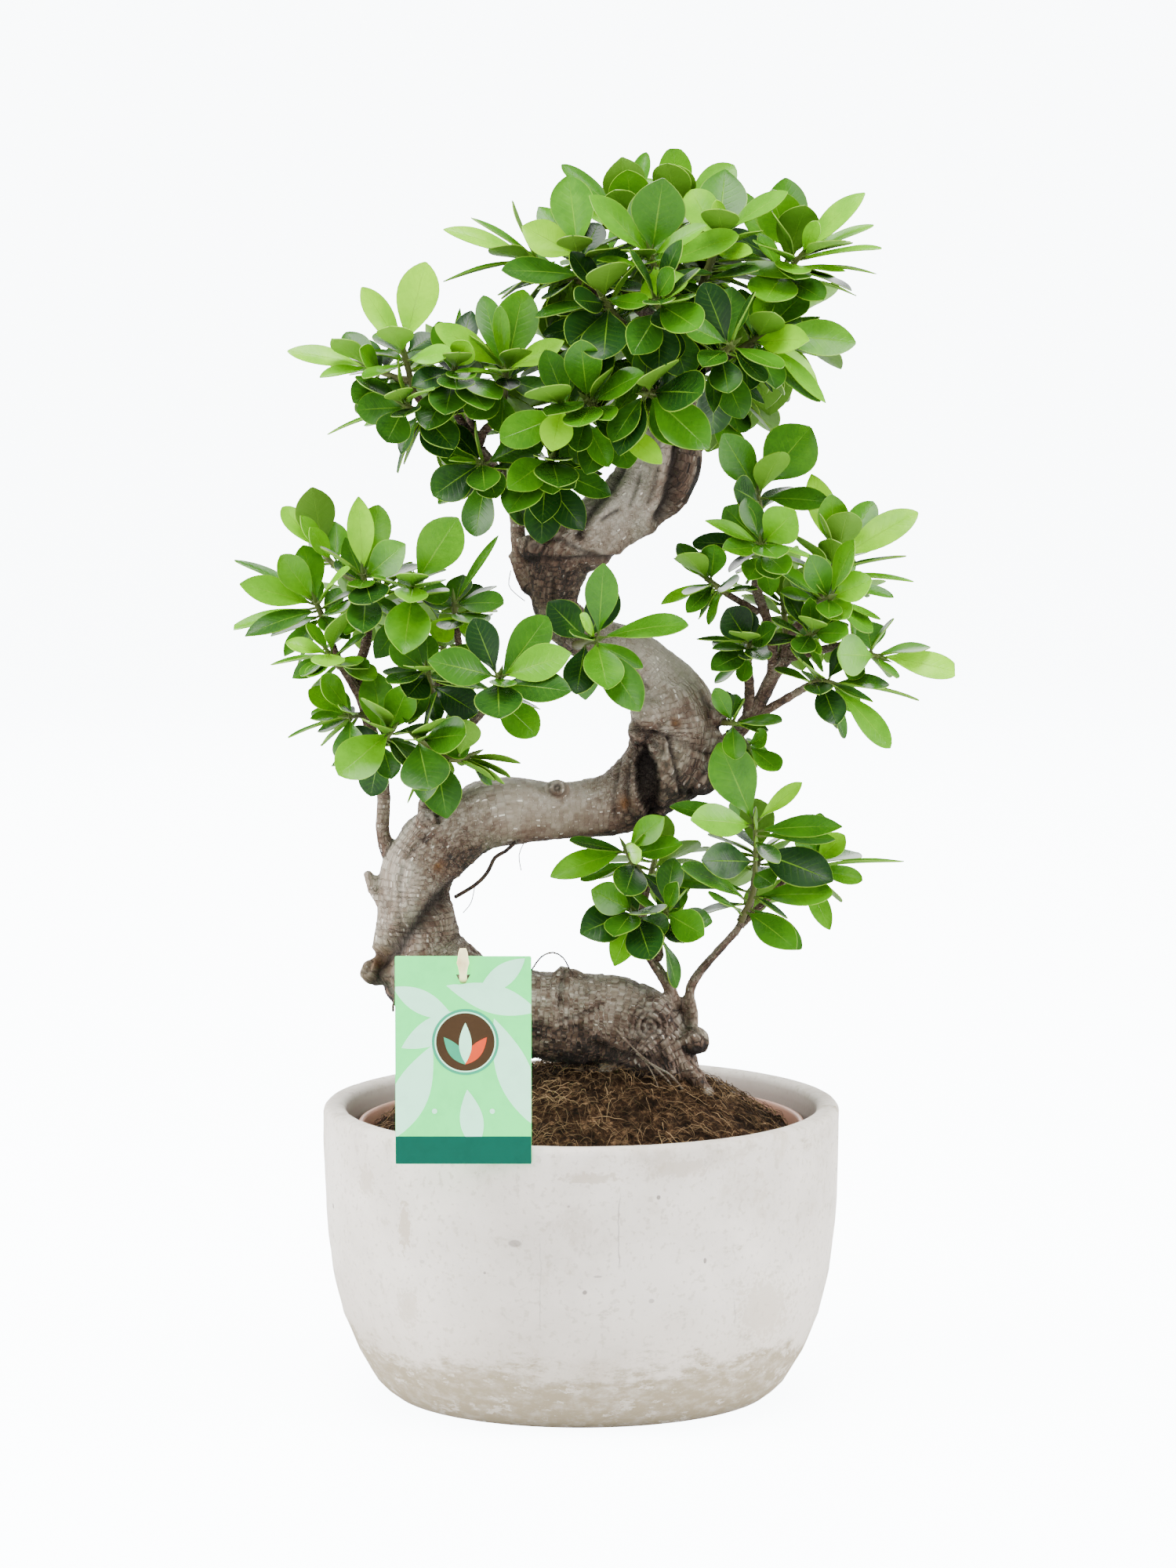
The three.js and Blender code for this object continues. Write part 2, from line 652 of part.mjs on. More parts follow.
      fill: 8, size: 32, tone: .25, leaves: [
    ] },
  ],
  ["centre",
    { path: [[-45, -34, 352], [-40, -50, 369]],
      fill: 0, size: 32, tone: .3, leaves: [
      [.9, -7, -62, 380, 18, 65, .6],
      [.9, -73, -64, 377, 19, 65, .4],
      [.8, -40, -80, 352, 23, 80, .2],
      [.7, -7, -70, 363, 17, 60, .2],
      [.6, -18, -44, 395, 18, 70, .4],
      [.85, -52, -50, 395, 16, 75, .08],
      [.3, -23, -60, 341, 17, 70, .4],
    ] },
  ],
  ["centre",
    { path: [[-2, -20, 380], [9, -44, 386]],
      fill: 1, size: 32, tone: .3, leaves: [
      [.95, 11, -52, 422, 16, 85, .35],
      [.98, 56, -60, 396, 17, 35, .4],
      [.7, 31, -66, 350, 18, 70, .35],
      [.5, -15, -34, 402, 17, 75, .08],
      [.4, -2, -58, 362, 16, 80, .1],
      [.8, 0, -62, 399, 8, 60, .95],
    ] },
  ],
  ["right",
    { path: [[91, -8, 418], [90, 0, 435], [88, 4, 457]],
      fill: 1, size: 32, tone: .3, leaves: [
      [.95, 66, 12, 492, 14, 50, .35],
      [.9, 71, -14, 483, 18, 70, .45],
      [.98, 113, 12, 484, 27, 80, .45],
      [.85, 122, -8, 450, 16, 40, .2],
      [.8, 76, -20, 458, 17, 70, .15],
    ] },
    { path: [[91, -8, 421], [90, -18, 425], [89, -26, 432]],
      fill: 1, size: 30, tone: .35, leaves: [
      [.95, 104, -46, 448, 20, 80, .55],
      [.9, 63, -34, 443, 9, 40, .65],
      [.85, 72, -26, 448, 17, 60, .35],
      [.7, 57, -14, 431, 13, 40, .08],
      [.8, 71, -40, 430, 12, 50, .45],
      [.6, 100, -50, 420, 14, 60, .5],
      [.95, 114, -38, 425, 5, 20, .8],
      [.4, 83, -34, 415, 13, 60, .35],
    ] },
  ],
  ["right",
    { path: [[117, -8, 397], [128, -8, 424]],
      fill: 1, size: 32, tone: .4, leaves: [
      [.95, 124, -16, 453, 15, 75, .5],
      [.9, 166, -10, 445, 16, 55, .9],
      [.98, 115, 16, 462, 14, 70, 1],
      [.8, 145, 18, 446, 14, 60, .35],
      [.7, 160, 2, 422, 3, 10, .25],
      [.6, 163, -10, 411, 5, 20, .6],
      [.5, 153, -22, 405, 8, 30, .4],
      [.85, 118, -30, 445, 3, 20, .1],
    ] },
    { path: [[117, -8, 399], [124, -28, 405]],
      fill: 1, size: 30, tone: .4, leaves: [
      [.9, 142, -38, 414, 15, 65, .8],
      [.8, 113, -42, 426, 14, 75, .4],
      [.7, 147, -18, 393, 5, 30, .5],
      [.5, 131, -38, 396, 14, 60, .5],
    ] },
  ],
  ["right",
    { path: [[109, -14, 381], [116, -22, 387]],
      fill: 2, size: 28, tone: .3, leaves: [
      [.9, 131, -40, 388, 13, 60, .35],
      [.8, 113, -32, 404, 9, 70, .4],
      [.5, 118, -36, 378, 5, 60, .5],
    ] },
  ],
  ["right",
    { path: [[72, -12, 405], [62, -16, 413]],
      fill: 1, size: 26, tone: .35, leaves: [
      [.9, 57, -22, 425, 13, 60, .4],
      [.95, 47, -14, 422, 4, 20, .4],
      [.7, 41, -24, 402, 8, 30, .5],
      [.6, 53, -34, 399, 9, 60, .35],
      [.3, 59, -4, 392, 6, 30, .4],
      [.8, 66, -26, 430, 13, 60, .4],
      [.4, 76, -34, 412, 12, 60, .3],
    ] },
  ],
  ["right",
    { path: [[83, -8, 370], [84, -14, 381]],
      fill: 1, size: 28, tone: .25, leaves: [
      [.9, 73, -18, 397, 18, 60, .08],
      [.95, 59, -4, 381, 5, 20, .35],
      [.7, 66, -26, 379, 8, 30, .3],
      [.5, 66, -32, 370, 13, 50, .25],
      [.3, 80, -22, 363, 8, 50, .45],
      [.8, 96, -32, 390, 12, 60, .15],
    ] },
  ],
  ["right",
    { path: [[131, -8, 379], [148, -12, 373]],
      fill: 1, size: 30, tone: .5, leaves: [
      [.95, 186, -14, 366, 15, 50, .9],
      [.9, 128, -40, 377, 20, 80, .55],
      [.8, 143, 12, 388, 17, 70, .45],
    ] },
  ],
  ["right",
    { path: [[113, -14, 359], [119, -18, 362], [126, -22, 361]],
      fill: 1, size: 30, tone: .3, leaves: [
      [.9, 152, -30, 332, 13, 45, .5],
      [.85, 138, -14, 348, 13, 50, .6],
      [.95, 166, -14, 353, 3, 10, .4],
      [.7, 143, -32, 354, 5, 30, .2],
      [.3, 118, -46, 359, 14, 60, .1],
      [.5, 126, -40, 344, 15, 60, .15],
    ] },
  ],
  ["right",
    { path: [[72, -2, 339], [76, -12, 340]],
      fill: 1, size: 24, tone: .3, leaves: [
      [.9, 67, -16, 357, 9, 70, .4],
    ] },
  ],
  ["right",
    { path: [[81, 2, 330], [83, -9, 328]],
      fill: 0, size: 24, tone: .3, leaves: [
      [.9, 92, -16, 334, 10, 60, .4],
      [.7, 94, -2, 322, 8, 40, .5],
    ] },
  ],
  ["right",
    { path: [[103, 18, 380], [102, 32, 391], [101, 42, 402]],
      fill: 8, size: 30, tone: .25, leaves: [
    ] },
    { path: [[103, 20, 382], [126, 40, 396]],
      fill: 7, size: 30, tone: .35, leaves: [
    ] },
  ],
  ["low_right",
    { path: [[30, -8, 263], [22, -16, 278]],
      fill: 1, size: 28, tone: .35, leaves: [
      [.95, 40, -28, 294, 13, 70, .55],
      [.9, -13, -32, 267, 14, 55, .65],
      [.8, -6, -14, 283, 10, 30, .25],
      [.85, 29, -52, 281, 11, 85, .95],
      [.7, 49, -28, 281, 13, 50, .3],
      [.5, 1, -14, 262, 8, 40, .4],
      [.4, 22, -54, 261, 17, 85, .15],
    ] },
  ],
  ["low_right",
    { path: [[30, -18, 240], [26, -33, 249]],
      fill: 1, size: 30, tone: .15, leaves: [
      [.9, 1, -46, 240, 20, 65, .08],
      [.8, 17, -54, 225, 13, 80, .55],
      [.7, 34, -62, 231, 19, 88, .08],
      [.95, 6, -38, 260, 16, 70, .6],
      [.5, 42, -38, 240, 13, 75, .06],
    ] },
  ],
  ["low_right",
    { path: [[39, -10, 228], [42, -20, 240], [42, -28, 249]],
      fill: 1, size: 28, tone: .3, leaves: [
      [.9, 60, -52, 240, 16, 65, .35],
      [.8, 64, -30, 243, 12, 50, .4],
      [.6, 49, -46, 235, 9, 70, .1],
      [.98, 47, -46, 264, 9, 60, .4],
      [.8, 34, -48, 253, 8, 60, .7],
    ] },
  ],
  ["low_right",
    { path: [[80, -6, 240], [86, -8, 254], [87, -6, 269], [87, -6, 290]],
      fill: 3, size: 30, tone: .3, leaves: [
      [.97, 69, -16, 330, 23, 70, .4],
      [.95, 55, -38, 295, 18, 60, .65],
      [.93, 47, -8, 299, 12, 40, .25],
      [.9, 132, -26, 290, 13, 50, .4],
      [.85, 125, -2, 280, 10, 40, .2],
      [.99, 109, -12, 309, 9, 50, .9],
      [.8, 97, -42, 274, 9, 50, .3],
      [.6, 62, -34, 274, 18, 75, .03],
      [.7, 123, -30, 264, 22, 55, .08],
      [.5, 95, -28, 261, 13, 70, .35],
      [.25, 131, -36, 258, 15, 50, .55],
      [.1, 107, -46, 231, 16, 60, .4],
      [.05, 67, -38, 256, 16, 60, .2],
      [.15, 109, -8, 228, 13, 40, .2],
      [.2, 44, -36, 275, 17, 55, .35],
      [.3, 43, -12, 261, 12, 40, .3],
    ] },
  ],
  ["low_right",
    { path: [[104, 2, 260], [118, 6, 267]],
      fill: 1, size: 28, tone: .4, leaves: [
      [.95, 120, 14, 290, 12, 70, .4],
      [.9, 131, -8, 281, 12, 60, .9],
      [.8, 163, 4, 268, 3, 10, .5],
      [.7, 139, -8, 261, 10, 50, .55],
      [.5, 124, -2, 236, 10, 70, .5],
    ] },
  ],
  ["low_right",
    { path: [[87, 14, 257], [91, 36, 271]],
      fill: 7, size: 30, tone: .25, leaves: [
    ] },
  ],
  ["low_right",
    { path: [[33, 14, 253], [38, 36, 267]],
      fill: 7, size: 30, tone: .3, leaves: [
    ] },
  ],
];
// Knots, burrs and cut stubs on the trunk: [centre, half sizes, turn about Y, roundness].
const KNOTS = [
  [[-12, -11, 307], [7, 5, 5], 0, 0],
  [[-101, -22, 214], [8, 8, 8], 0, 0],
  [[60, -14, 180], [7, 6, 6], 0, 0],
  [[-103, -16, 262], [5, 5, 8], 0, 0],
  [[68, 2, 342], [5, 5, 5], 0, 0],
  [[60, -1, 311], [8, 9, 8], 0, 0],
  [[29, -5, 346], [9, 10, 10], 0.4, 0],
  [[-5, -9, 209], [8, 8, 7], 0, 0],
  [[35, -10, 190], [14, 13, 13], 0, 0],
  [[-25, -8, 427], [8, 7, 8], 0, 0],
];

// The dark hollow in the front of the trunk's knee, cut as an upright egg.
const HOLLOW = [[32.5, -20, 309], [6, 10.5, 17], -0.1];

// Ways tried in turn to keep a measured leaf clear: [shift of the tip in Y, share of length, roll
// in degrees].
const LEAF_TRIES = [
  [0, 1, 0], [-5, 1, 0], [5, 1, 0], [0, 1, 20], [0, 1, -20], [-10, 1, 0], [10, 1, 0], [-5, 0.9, 20],
  [5, 0.9, -20], [-15, 0.95, 0], [15, 0.95, 0], [-10, 0.85, 25], [10, 0.85, -25], [-20, 0.85, 0],
  [20, 0.85, 0], [0, 0.75, 0],
];

// Colour, roughness and metalness of each material.
const MATERIALS = {
  cement: [0xd9d4cc, 0.9, 0],
  nursery: [0xc89a84, 0.6, 0],
  soil: [0x5f4430, 1, 0],
  bark: [0x8f8373, 0.85, 0],
  card: [0xb6e4ba, 0.5, 0],
  stake: [0xe6d8b0, 0.7, 0],
  leaf_dark: [0x2c5c26, 0.4, 0],
  leaf_mid: [0x4c8a2c, 0.4, 0],
  leaf_young: [0x86bd36, 0.4, 0],
};

function material(name) {
  const [color, roughness, metalness] = MATERIALS[name];
  return new THREE.MeshStandardMaterial({ color, roughness, metalness, name });
}

function vec(x, y, z) {
  return new THREE.Vector3(x, y, z);
}

// A seeded draw between 0 and 1.
function drawFrom(seed) {
  let state = seed >>> 0;
  return () => {
    state = (Math.imul(state, 1664525) + 1013904223) >>> 0;
    return state / 4294967296;
  };
}

function geometryOf(points, faces) {
  const geometry = new THREE.BufferGeometry();
  geometry.setAttribute("position", new THREE.Float32BufferAttribute(points.flat(), 3));
  geometry.setIndex(faces.flat());
  return geometry;
}

// A closed body turned round the Z axis; each end of the profile lies on the axis.
function turned(profile, sides) {
  const points = [[0, 0, profile[0][1]]];
  const inner = profile.slice(1, -1);
  for (const [radius, height] of inner) {
    for (let k = 0; k < sides; k++) {
      const angle = (2 * Math.PI * k) / sides;
      points.push([radius * Math.cos(angle), radius * Math.sin(angle), height]);
    }
  }
  points.push([0, 0, profile[profile.length - 1][1]]);
  const last = points.length - 1;
  const faces = [];
  const at = (ring, k) => 1 + ring * sides + (k % sides);
  for (let k = 0; k < sides; k++) {
    faces.push([0, at(0, k + 1), at(0, k)]);
    faces.push([last, at(inner.length - 1, k), at(inner.length - 1, k + 1)]);
    for (let ring = 0; ring < inner.length - 1; ring++) {
      faces.push([at(ring, k), at(ring, k + 1), at(ring + 1, k + 1)]);
      faces.push([at(ring, k), at(ring + 1, k + 1), at(ring + 1, k)]);
    }
  }
  return geometryOf(points, faces);
}

// A closed body through a row of rings with the same number of points.
function lofted(rings) {
  const sides = rings[0].length;
  const points = rings.flat();
  const faces = [];
  for (let ring = 0; ring < rings.length - 1; ring++) {
    for (let k = 0; k < sides; k++) {
      const a = ring * sides + k;
      const b = ring * sides + ((k + 1) % sides);
      faces.push([a, b, b + sides]);
      faces.push([a, b + sides, a + sides]);
    }
  }
  const end = (rings.length - 1) * sides;
  for (let k = 1; k < sides - 1; k++) {
    faces.push([0, k + 1, k]);
    faces.push([end, end + k, end + k + 1]);
  }
  return geometryOf(points, faces);
}

// A round, tapering limb through stations [x, y, z, radius]; a swell of 0 keeps it plain.
function limb(stations, sides, swell = 0, heading = null) {
  const spots = stations.map(([x, y, z]) => vec(x, y, z));
  let across = null;
  const rings = stations.map(([, , , radius], i) => {
    const ahead = spots[Math.min(i + 1, spots.length - 1)];
    const behind = spots[Math.max(i - 1, 0)];
    const along = i === 0 && heading ? heading.clone() : ahead.clone().sub(behind).normalize();
    if (across === null) {
      across = Math.abs(along.z) > 0.8 ? vec(1, 0, 0) : vec(0, 0, 1);
    }
    across.addScaledVector(along, -across.dot(along)).normalize();
    const other = along.clone().cross(across);
    const ring = [];
    for (let k = 0; k < sides; k++) {
      const angle = (2 * Math.PI * k) / sides;
      const wave = 1 + swell * Math.sin(3 * angle + i * 0.7) + 0.6 * swell * Math.sin(5 * angle - i * 1.1);
      const spot = spots[i].clone();
      spot.addScaledVector(across, radius * wave * Math.cos(angle));
      spot.addScaledVector(other, radius * wave * Math.sin(angle));
      ring.push(spot.toArray());
    }
    return ring;
  });
  return lofted(rings);
}

// A lump of bark: an egg of given half sizes, turned about the Y axis.
function lump(centre, sizes, turn, detail = 1) {
  const geometry = new THREE.IcosahedronGeometry(1, detail);
  geometry.scale(...sizes);
  geometry.rotateY(turn);
  geometry.translate(...centre);
  return geometry;
}

// Solid of a closed geometry, for joining and cutting.
function solidOf(geometry) {
  let bare = geometry.clone();
  bare.deleteAttribute("normal");
  bare.deleteAttribute("uv");
  bare = mergeVertices(bare, 1e-5);
  const mesh = new wasm.Mesh({
    numProp: 3,
    vertProperties: new Float32Array(bare.attributes.position.array),
    triVerts: new Uint32Array(bare.index.array),
  });
  return new wasm.Manifold(mesh);
}

// Geometry of a solid: its largest shell, so that no sealed hollow or loose scrap stays in it.
function geometryFrom(solid) {
  const mesh = solid.getMesh();
  const owner = Array.from({ length: mesh.numVert }, (_, i) => i);
  const find = (i) => {
    while (owner[i] !== i) {
      owner[i] = owner[owner[i]];
      i = owner[i];
    }
    return i;
  };
  for (let t = 0; t < mesh.numTri; t++) {
    const [a, b, c] = mesh.verts(t);
    owner[find(b)] = find(a);
    owner[find(c)] = find(a);
  }
  for (let i = 0; i < mesh.mergeFromVert.length; i++) {
    owner[find(mesh.mergeFromVert[i])] = find(mesh.mergeToVert[i]);
  }
  const spans = new Map();
  for (let t = 0; t < mesh.numTri; t++) {
    const [a, b, c] = [...mesh.verts(t)].map((v) => vec(...mesh.position(v)));
    const shell = find(mesh.verts(t)[0]);
    spans.set(shell, (spans.get(shell) ?? 0) + a.dot(b.clone().cross(c)) / 6);
  }
  const largest = [...spans].sort((p, q) => q[1] - p[1])[0][0];
  const faces = [];
  for (let t = 0; t < mesh.numTri; t++) {
    const verts = [...mesh.verts(t)];
    if (find(verts[0]) === largest) {
      faces.push(verts);
    }
  }
  const used = new Map();
  const points = [];
  const renumbered = faces.map((face) => face.map((v) => {
    if (!used.has(v)) {
      used.set(v, points.length);
      points.push([...mesh.position(v)]);
    }
    return used.get(v);
  }));
  return geometryOf(points, renumbered);
}

// The oval foot of the trunk and, a little wider, the hole that it stands in.
function footRings(grow, low, high) {
  const [x, y, wide, deep] = FOOT;
  const ring = (z, share) => {
    const spots = [];
    for (let k = 0; k < FOOT_SIDES; k++) {
      const angle = (2 * Math.PI * k) / FOOT_SIDES;
      spots.push([
        x + (wide * share + grow) * Math.cos(angle), y + (deep * share + grow) * Math.sin(angle), z,
      ]);
    }
    return spots;
  };
  return lofted([ring(low, FOOT_TAPER), ring(SOIL_RIM_HEIGHT, 1), ring(high, 1)]);
}

// The stake as flat sections; a grown one cuts its slit in the soil.
function stakeBody(sections, grow) {
  const rings = sections.map(([y, z, width, thick], i) => {
    const [y0, z0] = sections[Math.max(i - 1, 0)];
    const [y1, z1] = sections[Math.min(i + 1, sections.length - 1)];
    const run = Math.hypot(y1 - y0, z1 - z0);
    const [ny, nz] = [-(z1 - z0) / run, (y1 - y0) / run];
    const half = width / 2 + grow;
    const flat = thick / 2 + grow;
    const front = [y + ny * flat, z + nz * flat];
    const back = [y - ny * flat, z - nz * flat];
    const [left, right] = [CARD_CENTRE_X - half, CARD_CENTRE_X + half];
    return [[left, ...front], [right, ...front], [right, ...back], [left, ...back]];
  });
  return lofted(rings);
}

// Soil: filled to the nursery pot's wall, mounded towards the trunk, with plain holes for foot and stake.
function soilBody() {
  const draw = drawFrom(SOIL_SEED);
  const sides = SOIL_SIDES;
  const [mx, my, spread, rise] = SOIL_MOUND;
  const profile = [[0, SOIL_BOTTOM], [SOIL_BOTTOM_RADIUS, SOIL_BOTTOM], [SOIL_RIM_RADIUS, SOIL_RIM_HEIGHT]];
  const body = turned([...profile, ...SOIL_RINGS, [0, SOIL_TOP]], sides);
  const spots = body.attributes.position;
  for (let i = 1 + 2 * sides; i < spots.count; i++) {
    const away = Math.hypot(spots.getX(i) - mx, spots.getY(i) - my) / spread;
    spots.setZ(i, spots.getZ(i) + rise * Math.exp(-away * away) + SOIL_CRUMB * (draw() - 0.5));
  }
  let soil = solidOf(body);
  soil = soil.subtract(solidOf(footRings(FIT_GAP, FOOT[4] - FIT_GAP, HOLE_TOP)));
  const first = STAKE_SECTIONS[0];
  const slit = [[first[0] + 0.2, first[1] - FIT_GAP, first[2], first[3]], ...STAKE_SECTIONS.slice(1, 3)];
  soil = soil.subtract(solidOf(stakeBody(slit, FIT_GAP)));
  return geometryFrom(soil);
}

function cardBody() {
  const shape = new THREE.Shape();
  const half = CARD_WIDTH / 2;
  shape.moveTo(-half, CARD_BOTTOM);
  shape.lineTo(half, CARD_BOTTOM);
  shape.lineTo(half, CARD_TOP);
  shape.lineTo(-half, CARD_TOP);
  const hole = new THREE.Path();
  hole.absarc(0, CARD_HOLE_HEIGHT, CARD_HOLE_RADIUS, 0, 2 * Math.PI, true);
  shape.holes.push(hole);
  const card = new THREE.ExtrudeGeometry(shape, { depth: CARD_THICK, bevelEnabled: false, curveSegments: 8 });
  card.rotateX(Math.PI / 2);
  card.translate(CARD_CENTRE_X, CARD_BACK_Y, 0);
  card.deleteAttribute("normal");
  card.deleteAttribute("uv");
  return mergeVertices(card, 1e-4);
}

// Trunk and branches in one piece of wood.
function woodBody() {
  let wood = solidOf(limb(TRUNK, TRUNK_SIDES, TRUNK_FLUTE));
  const foot = footRings(0, FOOT[4], FOOT_TOP);
  wood = wood.add(solidOf(foot));
  for (const [centre, sizes, turn, detail] of KNOTS) {
    wood = wood.add(solidOf(lump(centre, sizes, turn, detail)));
  }
  for (const stations of Object.values(LIMBS)) {
    wood = wood.add(solidOf(limb(stations, stations[0][3] > THICK_LIMB ? 6 : 4)));
  }
  const [centre, sizes, turn] = HOLLOW;
  wood = wood.subtract(solidOf(lump(centre, sizes, turn)));
  return geometryFrom(wood);
}

// Half the width of a blade at v, from root to tip, as a share of its widest half.
function outline(v) {
  const q = Math.max(0, (v - 0.1) / 0.9);
  return Math.pow(q, 0.75) * Math.pow(Math.max(0, 1 - q), 0.45) / 0.452;
}

// A leaf from its shoot to its tip, rooted just under the shoot's bark on its own side; the facing
// direction sets which way its upper face looks.
function makeLeaf(spot, heading, tip, width, facing, tone) {
  const out = tip.clone().sub(spot);
  out.addScaledVector(heading, -out.dot(heading));
  const root = spot.clone().addScaledVector(out.normalize(), ROOT_DEPTH);
  const along = tip.clone().sub(root);
  const length = Math.min(along.length(), BLADE_MAX);
  along.normalize();
  const normal = facing.clone().addScaledVector(along, -facing.dot(along));
  if (normal.length() < 0.15) {
    normal.set(-along.z, 0, along.x);
  }
  normal.normalize();
  const side = along.clone().cross(normal);
  return { root, along, side, normal, length, width, tone };
}

function leafPoint(leaf, v, u, lift = 0) {
  const rise = BLADE_ARCH * 4 * v * (1 - v) * leaf.length + lift;
  return leaf.root.clone()
    .addScaledVector(leaf.along, v * leaf.length)
    .addScaledVector(leaf.side, u * outline(v) * leaf.width / 2)
    .addScaledVector(leaf.normal, rise);
}

// Spots spread over a leaf, for keeping leaves apart.
function leafSpots(leaf) {
  const spots = [];
  const rows = Math.max(5, Math.round(leaf.length / 3));
  for (let i = 1; i <= rows; i++) {
    const v = i / rows;
    const wide = outline(v) * leaf.width;
    const columns = Math.max(1, Math.round(wide / 3.5));
    for (let k = 0; k <= columns; k++) {
      spots.push(leafPoint(leaf, v, (2 * k) / columns - 1, -BLADE_KEEL / 2));
    }
  }
  return spots;
}

// True where a ball of the given radius round the spot meets the leaf.
function meets(leaf, spot, radius) {
  const d = spot.clone().sub(leaf.root);
  const a = d.dot(leaf.along);
  if (a < -radius || a > leaf.length + radius) {
    return false;
  }
  const v = Math.min(1, Math.max(0, a / leaf.length));
  const wide = Math.max(0.1, outline(Math.min(v, 0.95))) * leaf.width / 2 + radius;
  if (Math.abs(d.dot(leaf.side)) > wide) {
    return false;
  }
  const rise = BLADE_ARCH * 4 * v * (1 - v) * leaf.length - BLADE_KEEL / 2;
  return Math.abs(d.dot(leaf.normal) - rise) < radius;
}

// True where the leaf keeps clear of the wood, the shoots and the leaves placed before it.
function fits(leaf, spray, placed, posts) {
  const middle = leafPoint(leaf, 0.5, 0);
  const reach = leaf.length / 2 + 2;
  for (const post of posts) {
    if (post.spray !== spray && post.spot.distanceTo(middle) < reach + post.radius + 3) {
      if (meets(leaf, post.spot, post.radius + WOOD_CLEAR)) {
        return false;
      }
    }
  }
  const spots = leafSpots(leaf);
  for (const other of placed) {
    if (other.middle.distanceTo(middle) > reach + other.leaf.length / 2 + 2) {
      continue;
    }
    const own = other.spray === spray;
    const clear = own ? SISTER_CLEAR : BLADE_CLEAR;
    const free = (a, spotsOfA, b) => spotsOfA.every((spot) => {
      const nearRoot = own && spot.distanceTo(a.root) < ROOT_SHARE * a.length;
      return nearRoot || !meets(b, spot, clear);
    });
    if (!free(leaf, spots, other.leaf) || !free(other.leaf, other.spots, leaf)) {
      return false;
    }
  }
  return true;
}

// Points along a path, with the direction at the share t of its length.
function pathAt(path, t) {
  const spots = path.map((p) => vec(...p));
  const runs = spots.slice(1).map((p, i) => p.distanceTo(spots[i]));
  let rest = t * runs.reduce((a, b) => a + b, 0);
  let i = 0;
  while (i < runs.length - 1 && rest > runs[i]) {
    rest -= runs[i];
    i += 1;
  }
  const spot = spots[i].clone().lerp(spots[i + 1], Math.min(1, rest / runs[i]));
  return { spot, along: spots[i + 1].clone().sub(spots[i]).normalize() };
}

// Balls along the wood and the green shoots that leaves keep clear of.
function makePosts() {
  const posts = [];
  const string = (stations, spray) => {
    for (let i = 0; i < stations.length - 1; i++) {
      const a = vec(...stations[i]);
      const b = vec(...stations[i + 1]);
      const steps = Math.ceil(a.distanceTo(b) / 2.5);
      for (let k = 0; k < steps; k++) {
        const t = k / steps;
        const radius = stations[i][3] * (1 - t) + stations[i + 1][3] * t;
        posts.push({ spot: a.clone().lerp(b, t), radius, spray });
      }
    }
  };
  string(TRUNK, -1);
  Object.values(LIMBS).forEach((stations) => string(stations, -1));
  SPRAYS.forEach(([, ...shoots], spray) => {
    shoots.forEach(({ path }) => string(path.map((p) => [...p, SHOOT_RADIUS]), spray));
  });
  return posts;
}

// A filling leaf for a shoot: later rounds sit lower on the shoot and lean further out.
function fillingLeaf(shoot, round, freely, draw) {
  const lowness = round / FILL_ROUNDS;
  const t = 0.98 - 0.5 * lowness - 0.12 * draw();
  const { spot, along } = pathAt(shoot.path, t);
  const azimuth = GOLDEN_ANGLE * round + 2 * Math.PI * draw() * (freely ? 1 : 0.25);
  const lean = 0.5 + 0.9 * lowness + 0.5 * draw();
  const across = vec(0, 0, 1).cross(along).normalize();
  const other = along.clone().cross(across);
  const length = shoot.size * (0.82 + 0.3 * draw());
  const tip = spot.clone()
    .addScaledVector(along, length * Math.cos(lean))
    .addScaledVector(across, length * Math.sin(lean) * Math.cos(azimuth))
    .addScaledVector(other, length * Math.sin(lean) * Math.sin(azimuth));
  const facing = along.clone().multiplyScalar(0.5).add(vec(0, 0, 1));
  const width = length * (0.54 + 0.12 * draw());
  const tone = Math.min(1, Math.max(0, shoot.tone + 0.3 * (draw() - 0.5)));
  return makeLeaf(spot, along, tip, width, facing, tone);
}

// Leaves measured one by one come first, then each shoot is filled in a spiral.
function placeLeaves() {
  const posts = makePosts();
  const placed = [];
  const add = (leaf, spray) => {
    placed.push({ leaf, spray, middle: leafPoint(leaf, 0.5, 0), spots: leafSpots(leaf) });
  };
  SPRAYS.forEach(([, ...shoots], spray) => {
    for (const shoot of shoots) {
      for (const [t, x, y, z, width, face, tone] of shoot.leaves) {
        const { spot, along } = pathAt(shoot.path, t);
        for (const [shift, share, roll] of LEAF_TRIES) {
          const tip = spot.clone().lerp(vec(x, y + shift, z), share);
          const turn = ((face + roll) * Math.PI) / 180;
          const leaf = makeLeaf(spot, along, tip, width, vec(0, -Math.sin(turn), Math.cos(turn)), tone);
          if (fits(leaf, spray, placed, posts)) {
            add(leaf, spray);
            break;
          }
        }
      }
    }
  });
  const draw = drawFrom(29);
  for (let round = 0; round < FILL_ROUNDS; round++) {
    SPRAYS.forEach(([, ...shoots], spray) => {
      for (const shoot of shoots.filter(({ fill }) => round < fill)) {
        for (let attempt = 0; attempt < FILL_ATTEMPTS; attempt++) {
          const leaf = fillingLeaf(shoot, round, attempt > 0, draw);
          if (fits(leaf, spray, placed, posts)) {
            add(leaf, spray);
            break;
          }
        }
      }
    });
  }
  return placed;
}

